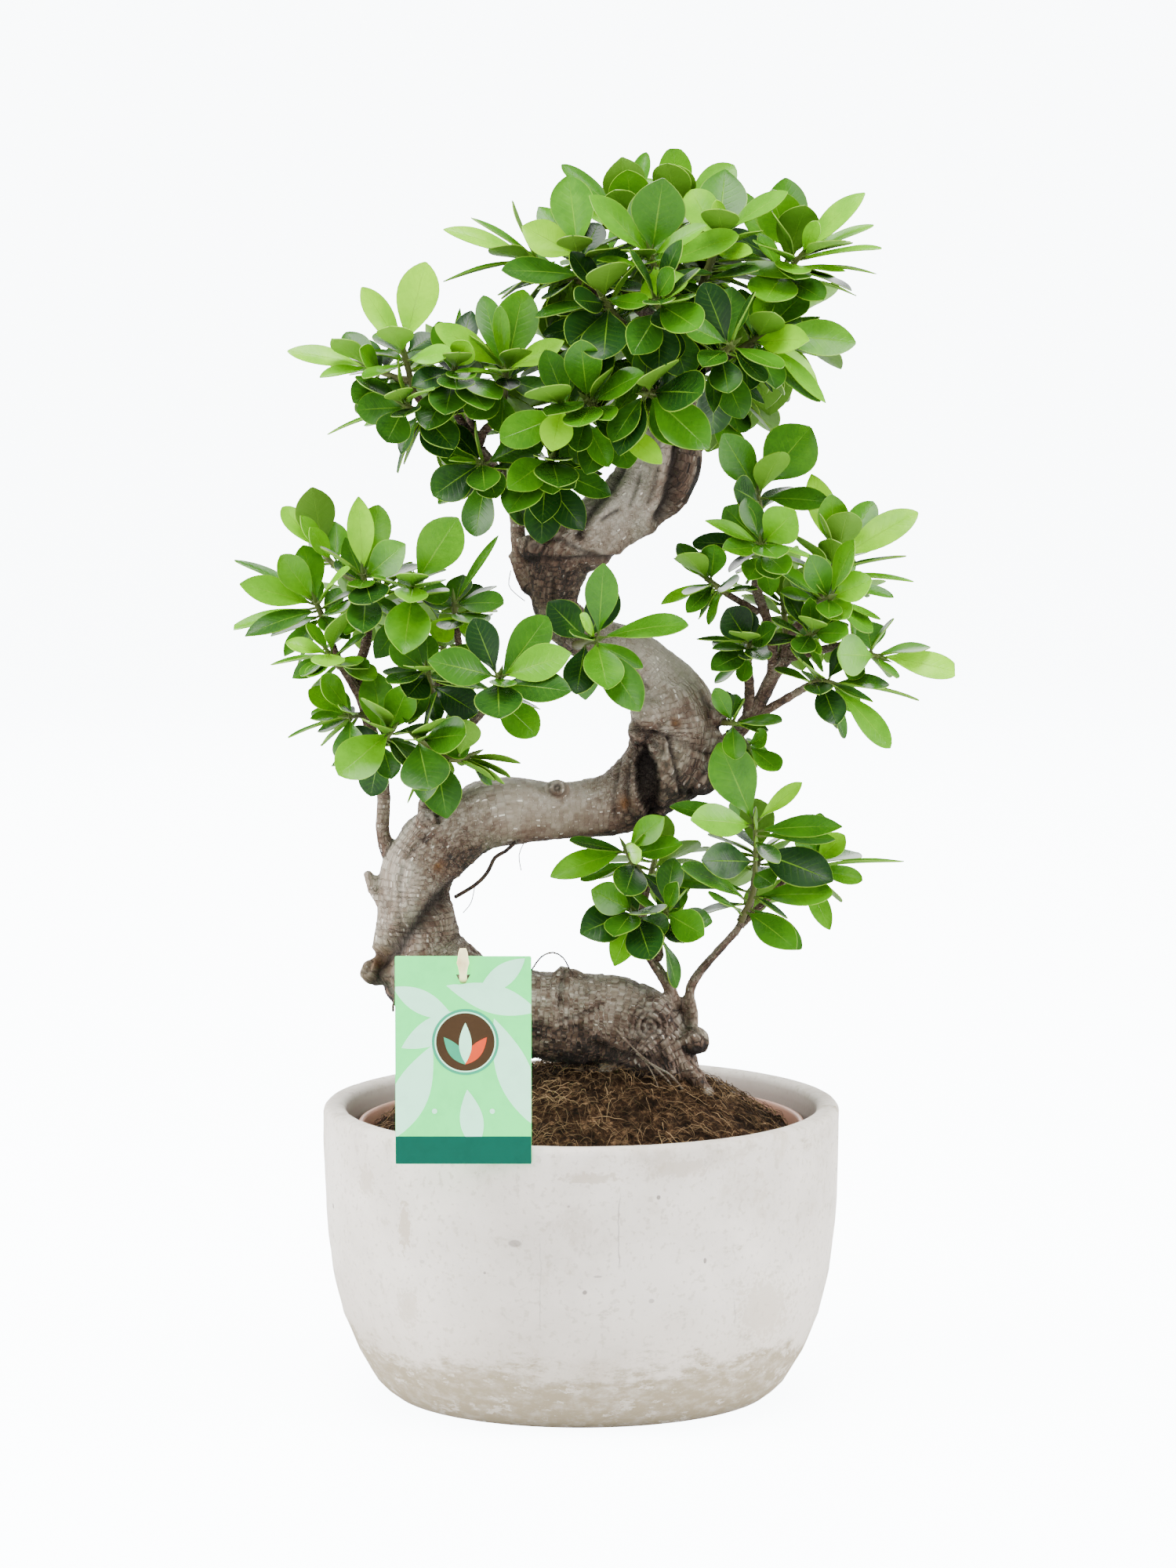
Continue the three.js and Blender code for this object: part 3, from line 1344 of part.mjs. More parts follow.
// A blade: root point, rows of left edge, right edge and keel below the midrib, and the tip.
function bladeBody(leaf) {
  const rows = leaf.width < NARROW_BLADE ? NARROW_ROWS : BLADE_ROWS;
  const points = [leaf.root.toArray()];
  for (const v of rows) {
    points.push(leafPoint(leaf, v, -BLADE_FULL).toArray());
    points.push(leafPoint(leaf, v, BLADE_FULL).toArray());
    points.push(leafPoint(leaf, v, 0, -BLADE_KEEL).toArray());
  }
  points.push(leafPoint(leaf, 1, 0, -0.4).toArray());
  const faces = [[0, 2, 1], [0, 1, 3], [0, 3, 2]];
  for (let row = 0; row < rows.length - 1; row++) {
    const [l, r, k] = [1 + 3 * row, 2 + 3 * row, 3 + 3 * row];
    faces.push([l, r, r + 3], [l, r + 3, l + 3]);
    faces.push([k, l, l + 3], [k, l + 3, k + 3]);
    faces.push([r, k, k + 3], [r, k + 3, r + 3]);
  }
  const tip = points.length - 1;
  const [l, r, k] = [tip - 3, tip - 2, tip - 1];
  faces.push([tip, l, r], [tip, k, l], [tip, r, k]);
  return geometryOf(points, faces);
}

// Where a shoot starts: just past the end of its woody twig and square to it, or inside a forked shoot.
function twigEnd(path) {
  const start = vec(...path[0]);
  for (const stations of Object.values(LIMBS)) {
    const [before, end] = stations.slice(-2).map(([x, y, z]) => vec(x, y, z));
    if (end.distanceTo(start) < 1.5) {
      const heading = end.clone().sub(before).normalize();
      return { start: end.addScaledVector(heading, TWIG_GAP), heading };
    }
  }
  return { start, heading: null };
}

// One leafy shoot: its green stems and every leaf that grows from them, joined.
function sprayBody(shoots, leaves) {
  let body = null;
  const join = (geometry) => {
    const solid = solidOf(geometry);
    body = body === null ? solid : body.add(solid);
  };
  for (const { path } of shoots) {
    const { start, heading } = twigEnd(path);
    const stations = [[...start.toArray(), SHOOT_RADIUS]];
    path.slice(1).forEach((p, i) => stations.push([...p, SHOOT_RADIUS - 0.3 * (i + 1)]));
    join(limb(stations, 4, 0, heading));
  }
  leaves.forEach((leaf) => join(bladeBody(leaf)));
  return geometryFrom(body);
}

function addPart(group, name, geometry, materialName) {
  geometry.computeVertexNormals();
  const mesh = new THREE.Mesh(geometry, material(materialName));
  mesh.name = name;
  group.add(mesh);
}

function build() {
  const group = new THREE.Group();
  addPart(group, "cement_planter", turned(PLANTER_PROFILE, ROUND_SIDES), "cement");
  addPart(group, "nursery_pot", turned(NURSERY_PROFILE, ROUND_SIDES), "nursery");
  addPart(group, "soil", soilBody(), "soil");
  addPart(group, "trunk", woodBody(), "bark");
  addPart(group, "label_stake", stakeBody(STAKE_SECTIONS, 0), "stake");
  addPart(group, "label_card", cardBody(), "card");
  const placed = placeLeaves();
  const counts = {};
  SPRAYS.forEach(([place, ...shoots], spray) => {
    counts[place] = (counts[place] ?? 0) + 1;
    const leaves = placed.filter((entry) => entry.spray === spray).map((entry) => entry.leaf);
    const tone = leaves.reduce((sum, leaf) => sum + leaf.tone, 0) / Math.max(1, leaves.length);
    const leafMaterial = tone > 0.5 ? "leaf_young" : tone > 0.3 ? "leaf_mid" : "leaf_dark";
    const name = `${place}_spray_${String(counts[place]).padStart(2, "0")}`;
    addPart(group, name, sprayBody(shoots, leaves), leafMaterial);
  });
  return group;
}

export default build();
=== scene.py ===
import math

import bpy
import numpy as np
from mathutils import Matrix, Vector, noise
from numpy.linalg import norm


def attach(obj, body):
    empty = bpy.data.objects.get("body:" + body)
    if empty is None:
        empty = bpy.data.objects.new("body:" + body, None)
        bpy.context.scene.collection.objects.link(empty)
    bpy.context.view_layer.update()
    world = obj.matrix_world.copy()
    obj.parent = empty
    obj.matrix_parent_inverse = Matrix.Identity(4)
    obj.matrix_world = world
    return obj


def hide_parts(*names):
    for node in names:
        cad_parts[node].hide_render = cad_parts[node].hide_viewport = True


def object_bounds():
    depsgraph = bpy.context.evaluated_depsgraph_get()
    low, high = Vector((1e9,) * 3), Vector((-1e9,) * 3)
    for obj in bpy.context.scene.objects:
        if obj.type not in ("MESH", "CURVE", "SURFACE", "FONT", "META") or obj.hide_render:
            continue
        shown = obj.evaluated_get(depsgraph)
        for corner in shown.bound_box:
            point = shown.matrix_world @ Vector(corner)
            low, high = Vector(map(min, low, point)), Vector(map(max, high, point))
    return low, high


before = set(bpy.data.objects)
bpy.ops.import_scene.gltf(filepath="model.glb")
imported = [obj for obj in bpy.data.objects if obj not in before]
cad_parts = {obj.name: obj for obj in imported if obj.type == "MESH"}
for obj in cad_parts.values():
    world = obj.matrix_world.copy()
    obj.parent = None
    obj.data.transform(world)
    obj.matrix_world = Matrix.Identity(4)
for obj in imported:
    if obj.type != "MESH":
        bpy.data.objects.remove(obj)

cad_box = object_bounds()

# Camera, floor and studio light
# The potted fig stands on a seamless pale floor and is seen from a little above, through a long lens.
# Broad soft lights stand at both sides, overhead, high in front and behind.
CAMERA_PLACE = (0.0034, -3.5, 0.773)
CAMERA_PITCH = math.radians(7.57)
CAMERA_LENS = 162
CAMERA_SENSOR = 36


def in_scene(name, data):
    """A new object with its data, linked into the scene."""
    made = bpy.data.objects.new(name, data)
    bpy.context.scene.collection.objects.link(made)
    return made


camera_data = bpy.data.cameras.new("camera")
camera_data.lens = CAMERA_LENS
camera_data.sensor_width = CAMERA_SENSOR
camera_data.clip_end = 40
camera = in_scene("camera", camera_data)
camera.location = CAMERA_PLACE
camera.rotation_euler = (math.pi / 2 - CAMERA_PITCH, 0, 0)
bpy.context.scene.camera = camera


def mesh_object(name, points, faces):
    """An object from points in metres and faces as lists of point numbers."""
    mesh = bpy.data.meshes.new(name)
    mesh.from_pydata([tuple(p) for p in points], [], [tuple(f) for f in faces])
    mesh.update()
    return in_scene(name, mesh)


def new_material(name, color, roughness, specular=0.5):
    """A material and its Principled shader, with its plain values set."""
    made = bpy.data.materials.new(name)
    made.use_nodes = True
    shader = made.node_tree.nodes["Principled BSDF"]
    shader.inputs["Base Color"].default_value = (*color[:3], 1)
    shader.inputs["Roughness"].default_value = roughness
    shader.inputs["Specular IOR Level"].default_value = specular
    return made, shader


def feed(plug, value):
    """Links a plug to a socket, or sets it to a plain value."""
    if isinstance(value, bpy.types.NodeSocket):
        plug.id_data.links.new(value, plug)
    else:
        plug.default_value = value


def tree_of(values):
    """The node tree of the first socket among some values."""
    return next(value.id_data for value in values if isinstance(value, bpy.types.NodeSocket))


def maths(operation, *values):
    """A maths node on sockets and numbers, at least one of them a socket."""
    made = tree_of(values).nodes.new("ShaderNodeMath")
    made.operation = operation
    for plug, value in zip(made.inputs, values):
        feed(plug, value)
    return made.outputs["Value"]


FLOOR_HALF = 60.0
FLOOR_COLOR = (0.93, 0.94, 0.95)
FLOOR_GLOW = (0.90, 0.96, 1, 1)
FLOOR_LIFT = 10.0
floor = mesh_object("floor", [(-FLOOR_HALF, -FLOOR_HALF, 0), (FLOOR_HALF, -FLOOR_HALF, 0),
                              (FLOOR_HALF, FLOOR_HALF, 0), (-FLOOR_HALF, FLOOR_HALF, 0)], [(0, 1, 2, 3)])
floor_paper, floor_shader = new_material("floor_paper", FLOOR_COLOR, 0.6)
floor_shader.inputs["Emission Color"].default_value = FLOOR_GLOW
seen = floor_paper.node_tree.nodes.new("ShaderNodeLightPath").outputs["Is Camera Ray"]
feed(floor_shader.inputs["Emission Strength"], maths("MULTIPLY", seen, FLOOR_LIFT))
floor.data.materials.append(floor_paper)

SKY_COLOR = (0.95, 0.97, 1.0, 1)
SKY_STRENGTH = 0.75
studio = bpy.data.worlds.new("studio")
studio.use_nodes = True
studio.node_tree.nodes["Background"].inputs["Color"].default_value = SKY_COLOR
studio.node_tree.nodes["Background"].inputs["Strength"].default_value = SKY_STRENGTH
bpy.context.scene.world = studio

# Each light: place, size and power in watts; all look at the middle of the tree.
LIGHT_AIM = Vector((0, 0, 0.32))
LIGHTS = {
    "left_side": ((-2.3, -0.3, 0.9), 1.6, 132),
    "right_side": ((2.3, -0.3, 0.9), 1.6, 118),
    "overhead": ((0.0, -0.3, 2.5), 1.3, 120),
    "front_high": ((-0.7, -2.3, 2.1), 1.0, 36),
    "back": ((-0.3, 2.4, 1.4), 1.6, 50),
}
for light_name, (place, size, power) in LIGHTS.items():
    light_data = bpy.data.lights.new(light_name, "AREA")
    light_data.size = size
    light_data.energy = power
    light = in_scene(light_name, light_data)
    light.location = place
    light.rotation_euler = (LIGHT_AIM - Vector(place)).to_track_quat("-Z", "Y").to_euler()

# Cement planter
# A thick bowl cast in pale cement with a wide, slightly worn rim. Its outside is stained towards the
# foot, pitted here and there and marked by scuffs, chips and hair cracks; its inside is rougher and darker.
MM = 0.001
PLANTER_PROFILE = [
    (60, 0), (92, 0), (95, 0.4), (99.5, 3.5), (104, 8), (113, 23), (120.5, 41), (125.5, 62), (128, 82),
    (129.2, 100), (129.8, 116), (130, 130), (130, 142.6), (129.6, 144.6), (128.4, 146), (126.4, 146.5),
    (122.4, 146.5), (120.4, 146), (119.1, 144.8), (118.6, 142.8), (118.5, 128), (118, 110), (115.5, 80),
    (109, 42), (92, 13), (50, 13),
]
PLANTER_SIDES = 160
PLANTER_STEP = 5
# The cast wall stands back from the mould's line by this much, more or less, above its flat foot.
WALL_SHRINK = 0.35
FLAT_FOOT_TOP = 2
# The rim above this height is rubbed down by about this much.
RIM_SHOULDER = 144
RIM_WEAR = 0.2


def lofted(rings, closed=False):
    """A skin over rings of equal counts of points, flat at its ends or closed on itself."""
    sides, last = len(rings[0]), len(rings) - 1
    faces = []
    for i in range(last + closed):
        low, high = i * sides, (i + 1) % (last + 1) * sides
        faces += [(low + k, low + (k + 1) % sides, high + (k + 1) % sides, high + k) for k in range(sides)]
    if not closed:
        faces += [tuple(range(sides - 1, -1, -1)), tuple(range(last * sides, (last + 1) * sides))]
    return np.concatenate(rings), faces


def level_ring(radius, height, sides):
    """Points round the Z axis at one height."""
    angles = 2 * math.pi * np.arange(sides) / sides
    return np.stack([radius * np.cos(angles), radius * np.sin(angles), np.full(sides, float(height))], axis=1)


def turned(profile, sides, step):
    """A body turned round the Z axis from its profile of (radius, height), cut into short steps."""
    rings = []
    for (r0, z0), (r1, z1) in zip(profile, profile[1:]):
        count = max(1, round(math.hypot(r1 - r0, z1 - z0) / step))
        shares = np.arange(count) / count
        rings += [level_ring(r0 + (r1 - r0) * share, z0 + (z1 - z0) * share, sides) for share in shares]
    return lofted(rings + [level_ring(*profile[-1], sides)])


def noise_at(points, scale, seed, octaves=3, finer=2.03):
    """Soft noise between about -1 and 1 at each point; scale is the size of one lump."""
    shift = Vector((seed * 7.3, seed * 3.1, seed * 5.7))
    values = []
    for p in points:
        place = Vector(p) / scale + shift
        total, share = 0.0, 1.0
        for _ in range(octaves):
            total += share * noise.noise(place)
            place = place * finer
            share *= 0.5
        values.append(total)
    return np.array(values)


def smooth(piece):
    piece.data.shade_smooth()
    return piece


def store(mesh, name, values):
    """Keeps one number for each point of a mesh under a name."""
    mesh.attributes.new(name, "FLOAT", "POINT").data.foreach_set("value", values.astype(np.float32))


def planter_bowl():
    """The turned bowl, slightly uneven, with a worn rim and its inner wall marked."""
    points, faces = turned(PLANTER_PROFILE, PLANTER_SIDES, PLANTER_STEP)
    outward = points[:, :2] / np.hypot(points[:, 0], points[:, 1])[:, None]
    unevenness = noise_at(points, 26, 1) * 0.35 + noise_at(points, 5, 2, 2) * 0.1
    standing = points[:, 2] > FLAT_FOOT_TOP
    points[standing, :2] -= (outward * (WALL_SHRINK + unevenness[:, None]))[standing]
    on_rim = points[:, 2] > RIM_SHOULDER
    points[on_rim, 2] -= RIM_WEAR + 0.5 * np.abs(unevenness[on_rim])
    bowl = smooth(mesh_object("planter_bowl", points * MM, faces))
    ring_numbers = np.arange(len(points)) // PLANTER_SIDES
    rim_ring = ring_numbers[np.argmax(points[:, 2])]
    store(bowl.data, "inner_wall", np.clip((ring_numbers - rim_ring - 1) / 3, 0, 1))
    return bowl


CEMENT_PALE = (0.70, 0.645, 0.58, 1)
CEMENT_GREY = (0.52, 0.475, 0.42, 1)
CEMENT_STAIN = (0.28, 0.235, 0.16, 1)
CEMENT_SCUFF = (0.40, 0.335, 0.255, 1)
CEMENT_INSIDE = (0.36, 0.31, 0.275, 1)
CEMENT_PIT = (0.16, 0.135, 0.12, 1)
# Hair cracks on the front wall, in metres: (across, lower end, upper end, half width, darkness).
CRACKS = [
    (-0.02, 0.054, 0.104, 0.00035, 0.4), (0.0185, 0.085, 0.127, 0.0005, 0.6),
    (0.075, 0.05, 0.07, 0.0004, 0.4),
]
# Chips and bug holes on the front wall, in metres: (across, height, half width, half height, darkness).
CHIPS = [
    (-0.032, 0.0987, 0.0034, 0.0019, 0.6), (0.0377, 0.1214, 0.001, 0.0012, 0.8),
    (0.0606, 0.0879, 0.0008, 0.0014, 0.8), (0.0343, 0.0695, 0.0014, 0.0012, 0.5),
    (0.0082, 0.0829, 0.0022, 0.0006, 0.5), (-0.047, 0.083, 0.0007, 0.0007, 0.7),
    (-0.078, 0.085, 0.0014, 0.001, 0.35), (-0.006, 0.118, 0.0007, 0.0006, 0.6),
]
# Scuffs where the pale skin is rubbed thin, in the same form.
SCUFFS = [
    (-0.0864, 0.101, 0.003, 0.0115, 0.75), (-0.106, 0.12, 0.0035, 0.007, 0.5),
    (0.004, 0.132, 0.013, 0.0025, 0.6), (-0.085, 0.06, 0.005, 0.009, 0.45),
    (0.048, 0.135, 0.016, 0.004, 0.5), (0.09, 0.058, 0.012, 0.016, 0.45),
]
# Heights in metres where a stain fades out and where it is full: dust, foot stain and dirt on the rim.
DUST_FADE = (0.085, 0.015)
FOOT_FADE = (0.052, 0.004)
RIM_FADE = (0.128, 0.146)
# Depths in metres where the front wall's own marks start and are full.
FRONT_FADE = (-0.04, -0.06)
CRACK_WANDER = 0.005
CEMENT_RELIEF = 0.0006


def node(tree, kind, **values):
    """A shader node with its properties or its plugs set by name."""
    made = tree.nodes.new(kind)
    for name, value in values.items():
        if hasattr(made, name):
            setattr(made, name, value)
        else:
            feed(made.inputs[name.replace("_", " ")], value)
    return made


def plus(first, second):
    return maths("ADD", first, second)


def minus(first, second):
    return maths("SUBTRACT", first, second)


def times(first, *others):
    """The product of two or more values, as masks laid over each other."""
    for other in others:
        first = maths("MULTIPLY", first, other)
    return first


def swayed(value, *sways):
    """A value moved up and down by other values of 0 to 1: each sway is (source, amount)."""
    for source, amount in sways:
        value = plus(value, times(minus(source, 0.5), amount))
    return value


def ramp(source, *stops):
    """A colour ramp; each stop is (position, colour)."""
    made = node(source.id_data, "ShaderNodeValToRGB", Fac=source)
    line = made.color_ramp
    line.elements.remove(line.elements[-1])
    line.elements[0].position, line.elements[0].color = stops[0]
    for position, color in stops[1:]:
        line.elements.new(position).color = color
    return made.outputs["Color"]


def mask(source, low, high):
    """0 at low, 1 at high and smooth between."""
    made = node(source.id_data, "ShaderNodeMapRange", Value=source, From_Min=low, From_Max=high)
    made.interpolation_type = "SMOOTHSTEP"
    return made.outputs["Result"]


def tinted(color, tint, *shares):
    """A colour mixed towards a tint by the product of the shares."""
    made = tree_of((color, *shares)).nodes.new("ShaderNodeMix")
    made.data_type = "RGBA"
    for plug, value in ((0, times(*shares)), (6, color), (7, tint)):
        feed(made.inputs[plug], value)
    return made.outputs[2]


def noise_map(place, scale, detail=4, stretch=(1, 1, 1), roughness=0.55):
    """The value of a noise texture at the place, with an optional stretch."""
    tree = place.id_data
    stretched = node(tree, "ShaderNodeMapping", Vector=place, Scale=stretch).outputs["Vector"]
    return node(tree, "ShaderNodeTexNoise", Vector=stretched, Scale=scale, Detail=detail,
                Roughness=roughness).outputs["Fac"]


def bumped(shader, height, depth, strength=1.0):
    """Feeds a height map through a bump into the shader's normal; depth is in metres."""
    made = node(height.id_data, "ShaderNodeBump", Height=height, Distance=depth, Strength=strength)
    feed(shader.inputs["Normal"], made.outputs["Normal"])


def own_place(material):
    """The place on a piece in its own coordinates."""
    return material.node_tree.nodes.new("ShaderNodeTexCoord").outputs["Object"]


def stored(material, name):
    """What a mesh keeps under a name: its colour, vector, number and alpha outputs."""
    return node(material.node_tree, "ShaderNodeAttribute", attribute_name=name).outputs


def grain_group():
    """Fine grain and broad blotches over a matte surface, shared by several finishes."""
    group = bpy.data.node_groups.new("surface_grain", "ShaderNodeTree")
    for name, way, kind in (("Place", "INPUT", "Vector"), ("Fineness", "INPUT", "Float"),
                            ("Grain", "OUTPUT", "Float"), ("Blotches", "OUTPUT", "Float")):
        group.interface.new_socket(name, in_out=way, socket_type="NodeSocket" + kind)
    given = group.nodes.new("NodeGroupInput").outputs
    made = group.nodes.new("NodeGroupOutput").inputs
    for name, share, detail in (("Grain", 1, 4), ("Blotches", 0.15, 5)):
        scale = times(given["Fineness"], share)
        texture = node(group, "ShaderNodeTexNoise", Vector=given["Place"], Scale=scale, Detail=detail)
        feed(made[name], texture.outputs["Fac"])
    return group


surface_grain = grain_group()


def grained(place, fineness):
    """The fine grain and the broad blotches of a surface at the place."""
    made = node(place.id_data, "ShaderNodeGroup", node_tree=surface_grain, Place=place, Fineness=fineness)
    return made.outputs["Grain"], made.outputs["Blotches"]


def front_mark(wall, wobble, across, height, half_wide, half_high, darkness):
    """A soft-edged oval mark on the planter's front, as a mask."""
    wall_x, wall_z, on_front = wall
    off_x = maths("DIVIDE", minus(wall_x, across), half_wide)
    off_z = maths("DIVIDE", minus(wall_z, height), half_high)
    off = plus(maths("SQRT", plus(times(off_x, off_x), times(off_z, off_z))), wobble)
    return times(mask(off, 1.2, 0.7), on_front, darkness)


def hair_crack(wall, wander, across, low, high, half_wide, darkness):
    """A wandering upright hair crack on the planter's front, as a mask."""
    wall_x, wall_z, on_front = wall
    off = maths("ABSOLUTE", minus(plus(wall_x, wander), across))
    return times(mask(off, half_wide, 0), mask(wall_z, low, low + 0.006), mask(wall_z, high, high - 0.01),
                 on_front, darkness)


def cement_material():
    """Pale cast cement: cloudy, pitted, stained at the foot and marked on its front."""
    cement, shader = new_material("cement", CEMENT_PALE, 0.85, 0.25)
    place = own_place(cement)
    wall_x, wall_y, wall_z = node(cement.node_tree, "ShaderNodeSeparateXYZ", Vector=place).outputs
    on_front = mask(wall_y, *FRONT_FADE)
    wall = (wall_x, wall_z, on_front)
    clouds = noise_map(place, 9, 8, (1, 1, 1.3), 0.62)
    speckle, _ = grained(place, 340)
    body = ramp(clouds, (0.34, CEMENT_GREY), (0.6, CEMENT_PALE))
    body = tinted(body, CEMENT_STAIN, mask(speckle, 0.55, 0.68), 0.34)
    smudges = mask(noise_map(place, 26, 10, (1, 1, 0.8), 0.78), 0.53, 0.6)
    body = tinted(body, CEMENT_SCUFF, smudges, mask(clouds, 0.56, 0.44), 0.4)
    body = tinted(body, CEMENT_SCUFF, mask(wall_z, *DUST_FADE), 0.42)
    worn_off = plus(noise_map(place, 38, 12, (1, 1, 2.4), 0.74), times(mask(wall_z, *FOOT_FADE), 0.42))
    uneven = swayed(0.72, (noise_map(place, 95, 9, (1, 1, 2), 0.7), 1.3))
    low_stain = times(mask(worn_off, 0.58, 0.74), mask(uneven, 0.1, 1.1), 1.35)
    body = tinted(body, CEMENT_STAIN, low_stain)
    flaked = mask(noise_map(place, 75, 10, (1, 1, 2.2), 0.76), 0.55, 0.6)
    body = tinted(body, CEMENT_PALE, flaked, low_stain, 0.5)
    wobble = minus(speckle, 0.5)
    for scuff in SCUFFS:
        body = tinted(body, CEMENT_SCUFF, front_mark(wall, times(wobble, 3.5), *scuff))
    for chip in CHIPS:
        body = tinted(body, CEMENT_PIT, front_mark(wall, times(wobble, 0.66), *chip))
    rim_dirt = mask(noise_map(place, 55, 6, (1, 1, 1), 0.7), 0.5, 0.68)
    body = tinted(body, CEMENT_STAIN, rim_dirt, mask(wall_z, *RIM_FADE), 0.4)
    wander = times(minus(noise_map(place, 60, 5), 0.5), CRACK_WANDER)
    for crack in CRACKS:
        body = tinted(body, CEMENT_PIT, hair_crack(wall, wander, *crack))
    body = tinted(body, CEMENT_INSIDE, stored(cement, "inner_wall")["Fac"])
    pit_cells = node(cement.node_tree, "ShaderNodeTexVoronoi", Scale=85, Vector=place).outputs["Distance"]
    pit_size = times(mask(noise_map(place, 42, 2), 0.55, 0.8), 0.2)
    pits = mask(minus(pit_size, pit_cells), 0, 0.05)
    body = tinted(body, CEMENT_PIT, pits, 0.8)
    feed(shader.inputs["Base Color"], body)
    sand = noise_map(place, 600, 3)
    bumped(shader, minus(plus(times(clouds, 0.8), times(sand, 0.25)), pits), CEMENT_RELIEF, 0.8)
    return cement


planter = planter_bowl()
planter.data.materials.append(cement_material())
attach(planter, "root")
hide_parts("cement_planter")

# Nursery pot
# The thin pot that the fig was grown in, moulded in terracotta-coloured plastic with a rolled rim.
# It stands loose inside the planter, so only its rim shows.
NURSERY_PROFILE = [
    (60, 13.4), (81, 13.4), (83, 14.4), (86, 18), (108.6, 128), (111.6, 129.4), (112.5, 130.6),
    (112.6, 135.6), (112, 136.7), (110.8, 137), (109.9, 136.6), (109.5, 135.4), (109.1, 131), (84, 18.5),
    (80, 15.8), (50, 15.8),
]
NURSERY_SIDES = 140
NURSERY_STEP = 6
NURSERY_CLAY = (0.56, 0.29, 0.20, 1)
NURSERY_DUST = (0.36, 0.22, 0.15, 1)


def clay_plastic():
    """Terracotta-coloured plastic, finely scratched and dusty with peat."""
    plastic, shader = new_material("clay_plastic", NURSERY_CLAY, 0.5)
    scratches, dust = grained(own_place(plastic), 280)
    feed(shader.inputs["Base Color"], tinted(NURSERY_CLAY, NURSERY_DUST, mask(dust, 0.45, 0.7), 0.5))
    bumped(shader, scratches, 0.0002, 0.5)
    return plastic


nursery_points, nursery_faces = turned(NURSERY_PROFILE, NURSERY_SIDES, NURSERY_STEP)
nursery = smooth(mesh_object("nursery_pot_shell", nursery_points * MM, nursery_faces))
nursery.data.materials.append(clay_plastic())
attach(nursery, "root")
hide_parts("nursery_pot")

# Soil
# Moist brown peat with coir, filled into the nursery pot and mounded towards the trunk; its crumbs and
# loose pale fibres are part of the surface.
SOIL_FLOOR = (79, 16.2)
SOIL_EDGE = 108
SOIL_LINE = [(0, 162), (30, 160), (58, 154), (82, 144), (102, 134), (108, 129.4)]
SOIL_MOUND = (34, 2, 46, 7)
SOIL_SIDES = 260
SOIL_RINGS = 96
# Crumbs of two sizes: (size, height), sunk by so much, and smaller near the pot's wall over this width.
COARSE_CRUMBS = (12, 2.2)
FINE_CRUMBS = (5, 3.0)
CRUMB_SINK = 1.6
CRUMB_EDGE = 6
FIBRE_COUNT = 2600
FIBRE_START_REACH = 101
FIBRE_REACH = 104
FIBRE_LENGTH = (4, 20)
FIBRE_RADIUS = (0.08, 0.2)
FIBRE_STOPS = 7
FIBRE_TAPER = np.array([0.4, 0.8, 1, 1, 1, 0.8, 0.3])
FIBRE_SEED = 11


def soil_height(x, y):
    """The mound's height without its crumbs."""
    mound_x, mound_y, spread, rise = SOIL_MOUND
    level = np.interp(np.hypot(x, y), *np.array(SOIL_LINE).T)
    return level + rise * np.exp(-((np.hypot(x - mound_x, y - mound_y) / spread) ** 2))


def soil_surface():
    """The mound from the floor of the pot up, with its crumbs."""
    rings = [level_ring(*SOIL_FLOOR, SOIL_SIDES)]
    rings += [level_ring(radius, 0, SOIL_SIDES) for radius in np.linspace(SOIL_EDGE, 1, SOIL_RINGS)]
    points, faces = lofted(rings)
    ground = points[SOIL_SIDES:]
    crumbs = COARSE_CRUMBS[1] * noise_at(ground, COARSE_CRUMBS[0], 3)
    crumbs += FINE_CRUMBS[1] * np.abs(noise_at(ground, FINE_CRUMBS[0], 4)) - CRUMB_SINK
    crumbs *= np.clip((SOIL_EDGE - np.hypot(ground[:, 0], ground[:, 1])) / CRUMB_EDGE, 0, 1)
    ground[:, 2] = soil_height(ground[:, 0], ground[:, 1]) + crumbs
    return points, faces


def frames(line):
    """Direction along a line at each point, with two directions across it carried without twist."""
    along = np.gradient(line, axis=0)
    along /= np.maximum(norm(along, axis=1), 1e-9)[:, None]
    across = np.zeros_like(along)
    carried = np.array([1.0, 0, 0]) if abs(along[0, 2]) > 0.8 else np.array([0, 0, 1.0])
    for i, direction in enumerate(along):
        carried = carried - direction * carried.dot(direction)
        carried = carried / norm(carried)
        across[i] = carried
    return along, across, np.cross(along, across)


def run_of(line):
    """The distance of each point along a line from its start."""
    return np.concatenate([[0], np.cumsum(norm(np.diff(line, axis=0), axis=1))])


def tube(stations, sides, flute=0.0):
    """A round limb through stations (x, y, z, radius), with soft flutes along it and rounded ends."""
    stations = np.array(stations, float)
    line = stations[:, :3]
    along, across, other = frames(line)
    run = run_of(line)[:, None]
    angles = 2 * math.pi * np.arange(sides) / sides
    wave = 1 + flute * np.sin(3 * angles + 0.03 * run) + 0.6 * flute * np.sin(5 * angles - 0.05 * run)
    reach = stations[:, 3:] * wave
    spokes = ((reach * np.cos(angles))[:, :, None] * across[:, None]
              + (reach * np.sin(angles))[:, :, None] * other[:, None])
    rings = [line[i] + spokes[i] for i in range(len(line))]
    first = line[0] - along[0] * stations[0, 3] * 0.4 + spokes[0] * 0.4
    last = line[-1] + along[-1] * stations[-1, 3] * 0.4 + spokes[-1] * 0.4
    return lofted([first, *rings, last])


def joined(parts):
    """Several lots of points and faces as one, with the number of the part for each point."""
    faces, base = [], 0
    for points, part_faces in parts:
        faces += [tuple(base + i for i in face) for face in part_faces]
        base += len(points)
    owner = np.repeat(np.arange(len(parts)), [len(points) for points, _ in parts])
    return np.concatenate([points for points, _ in parts]), faces, owner


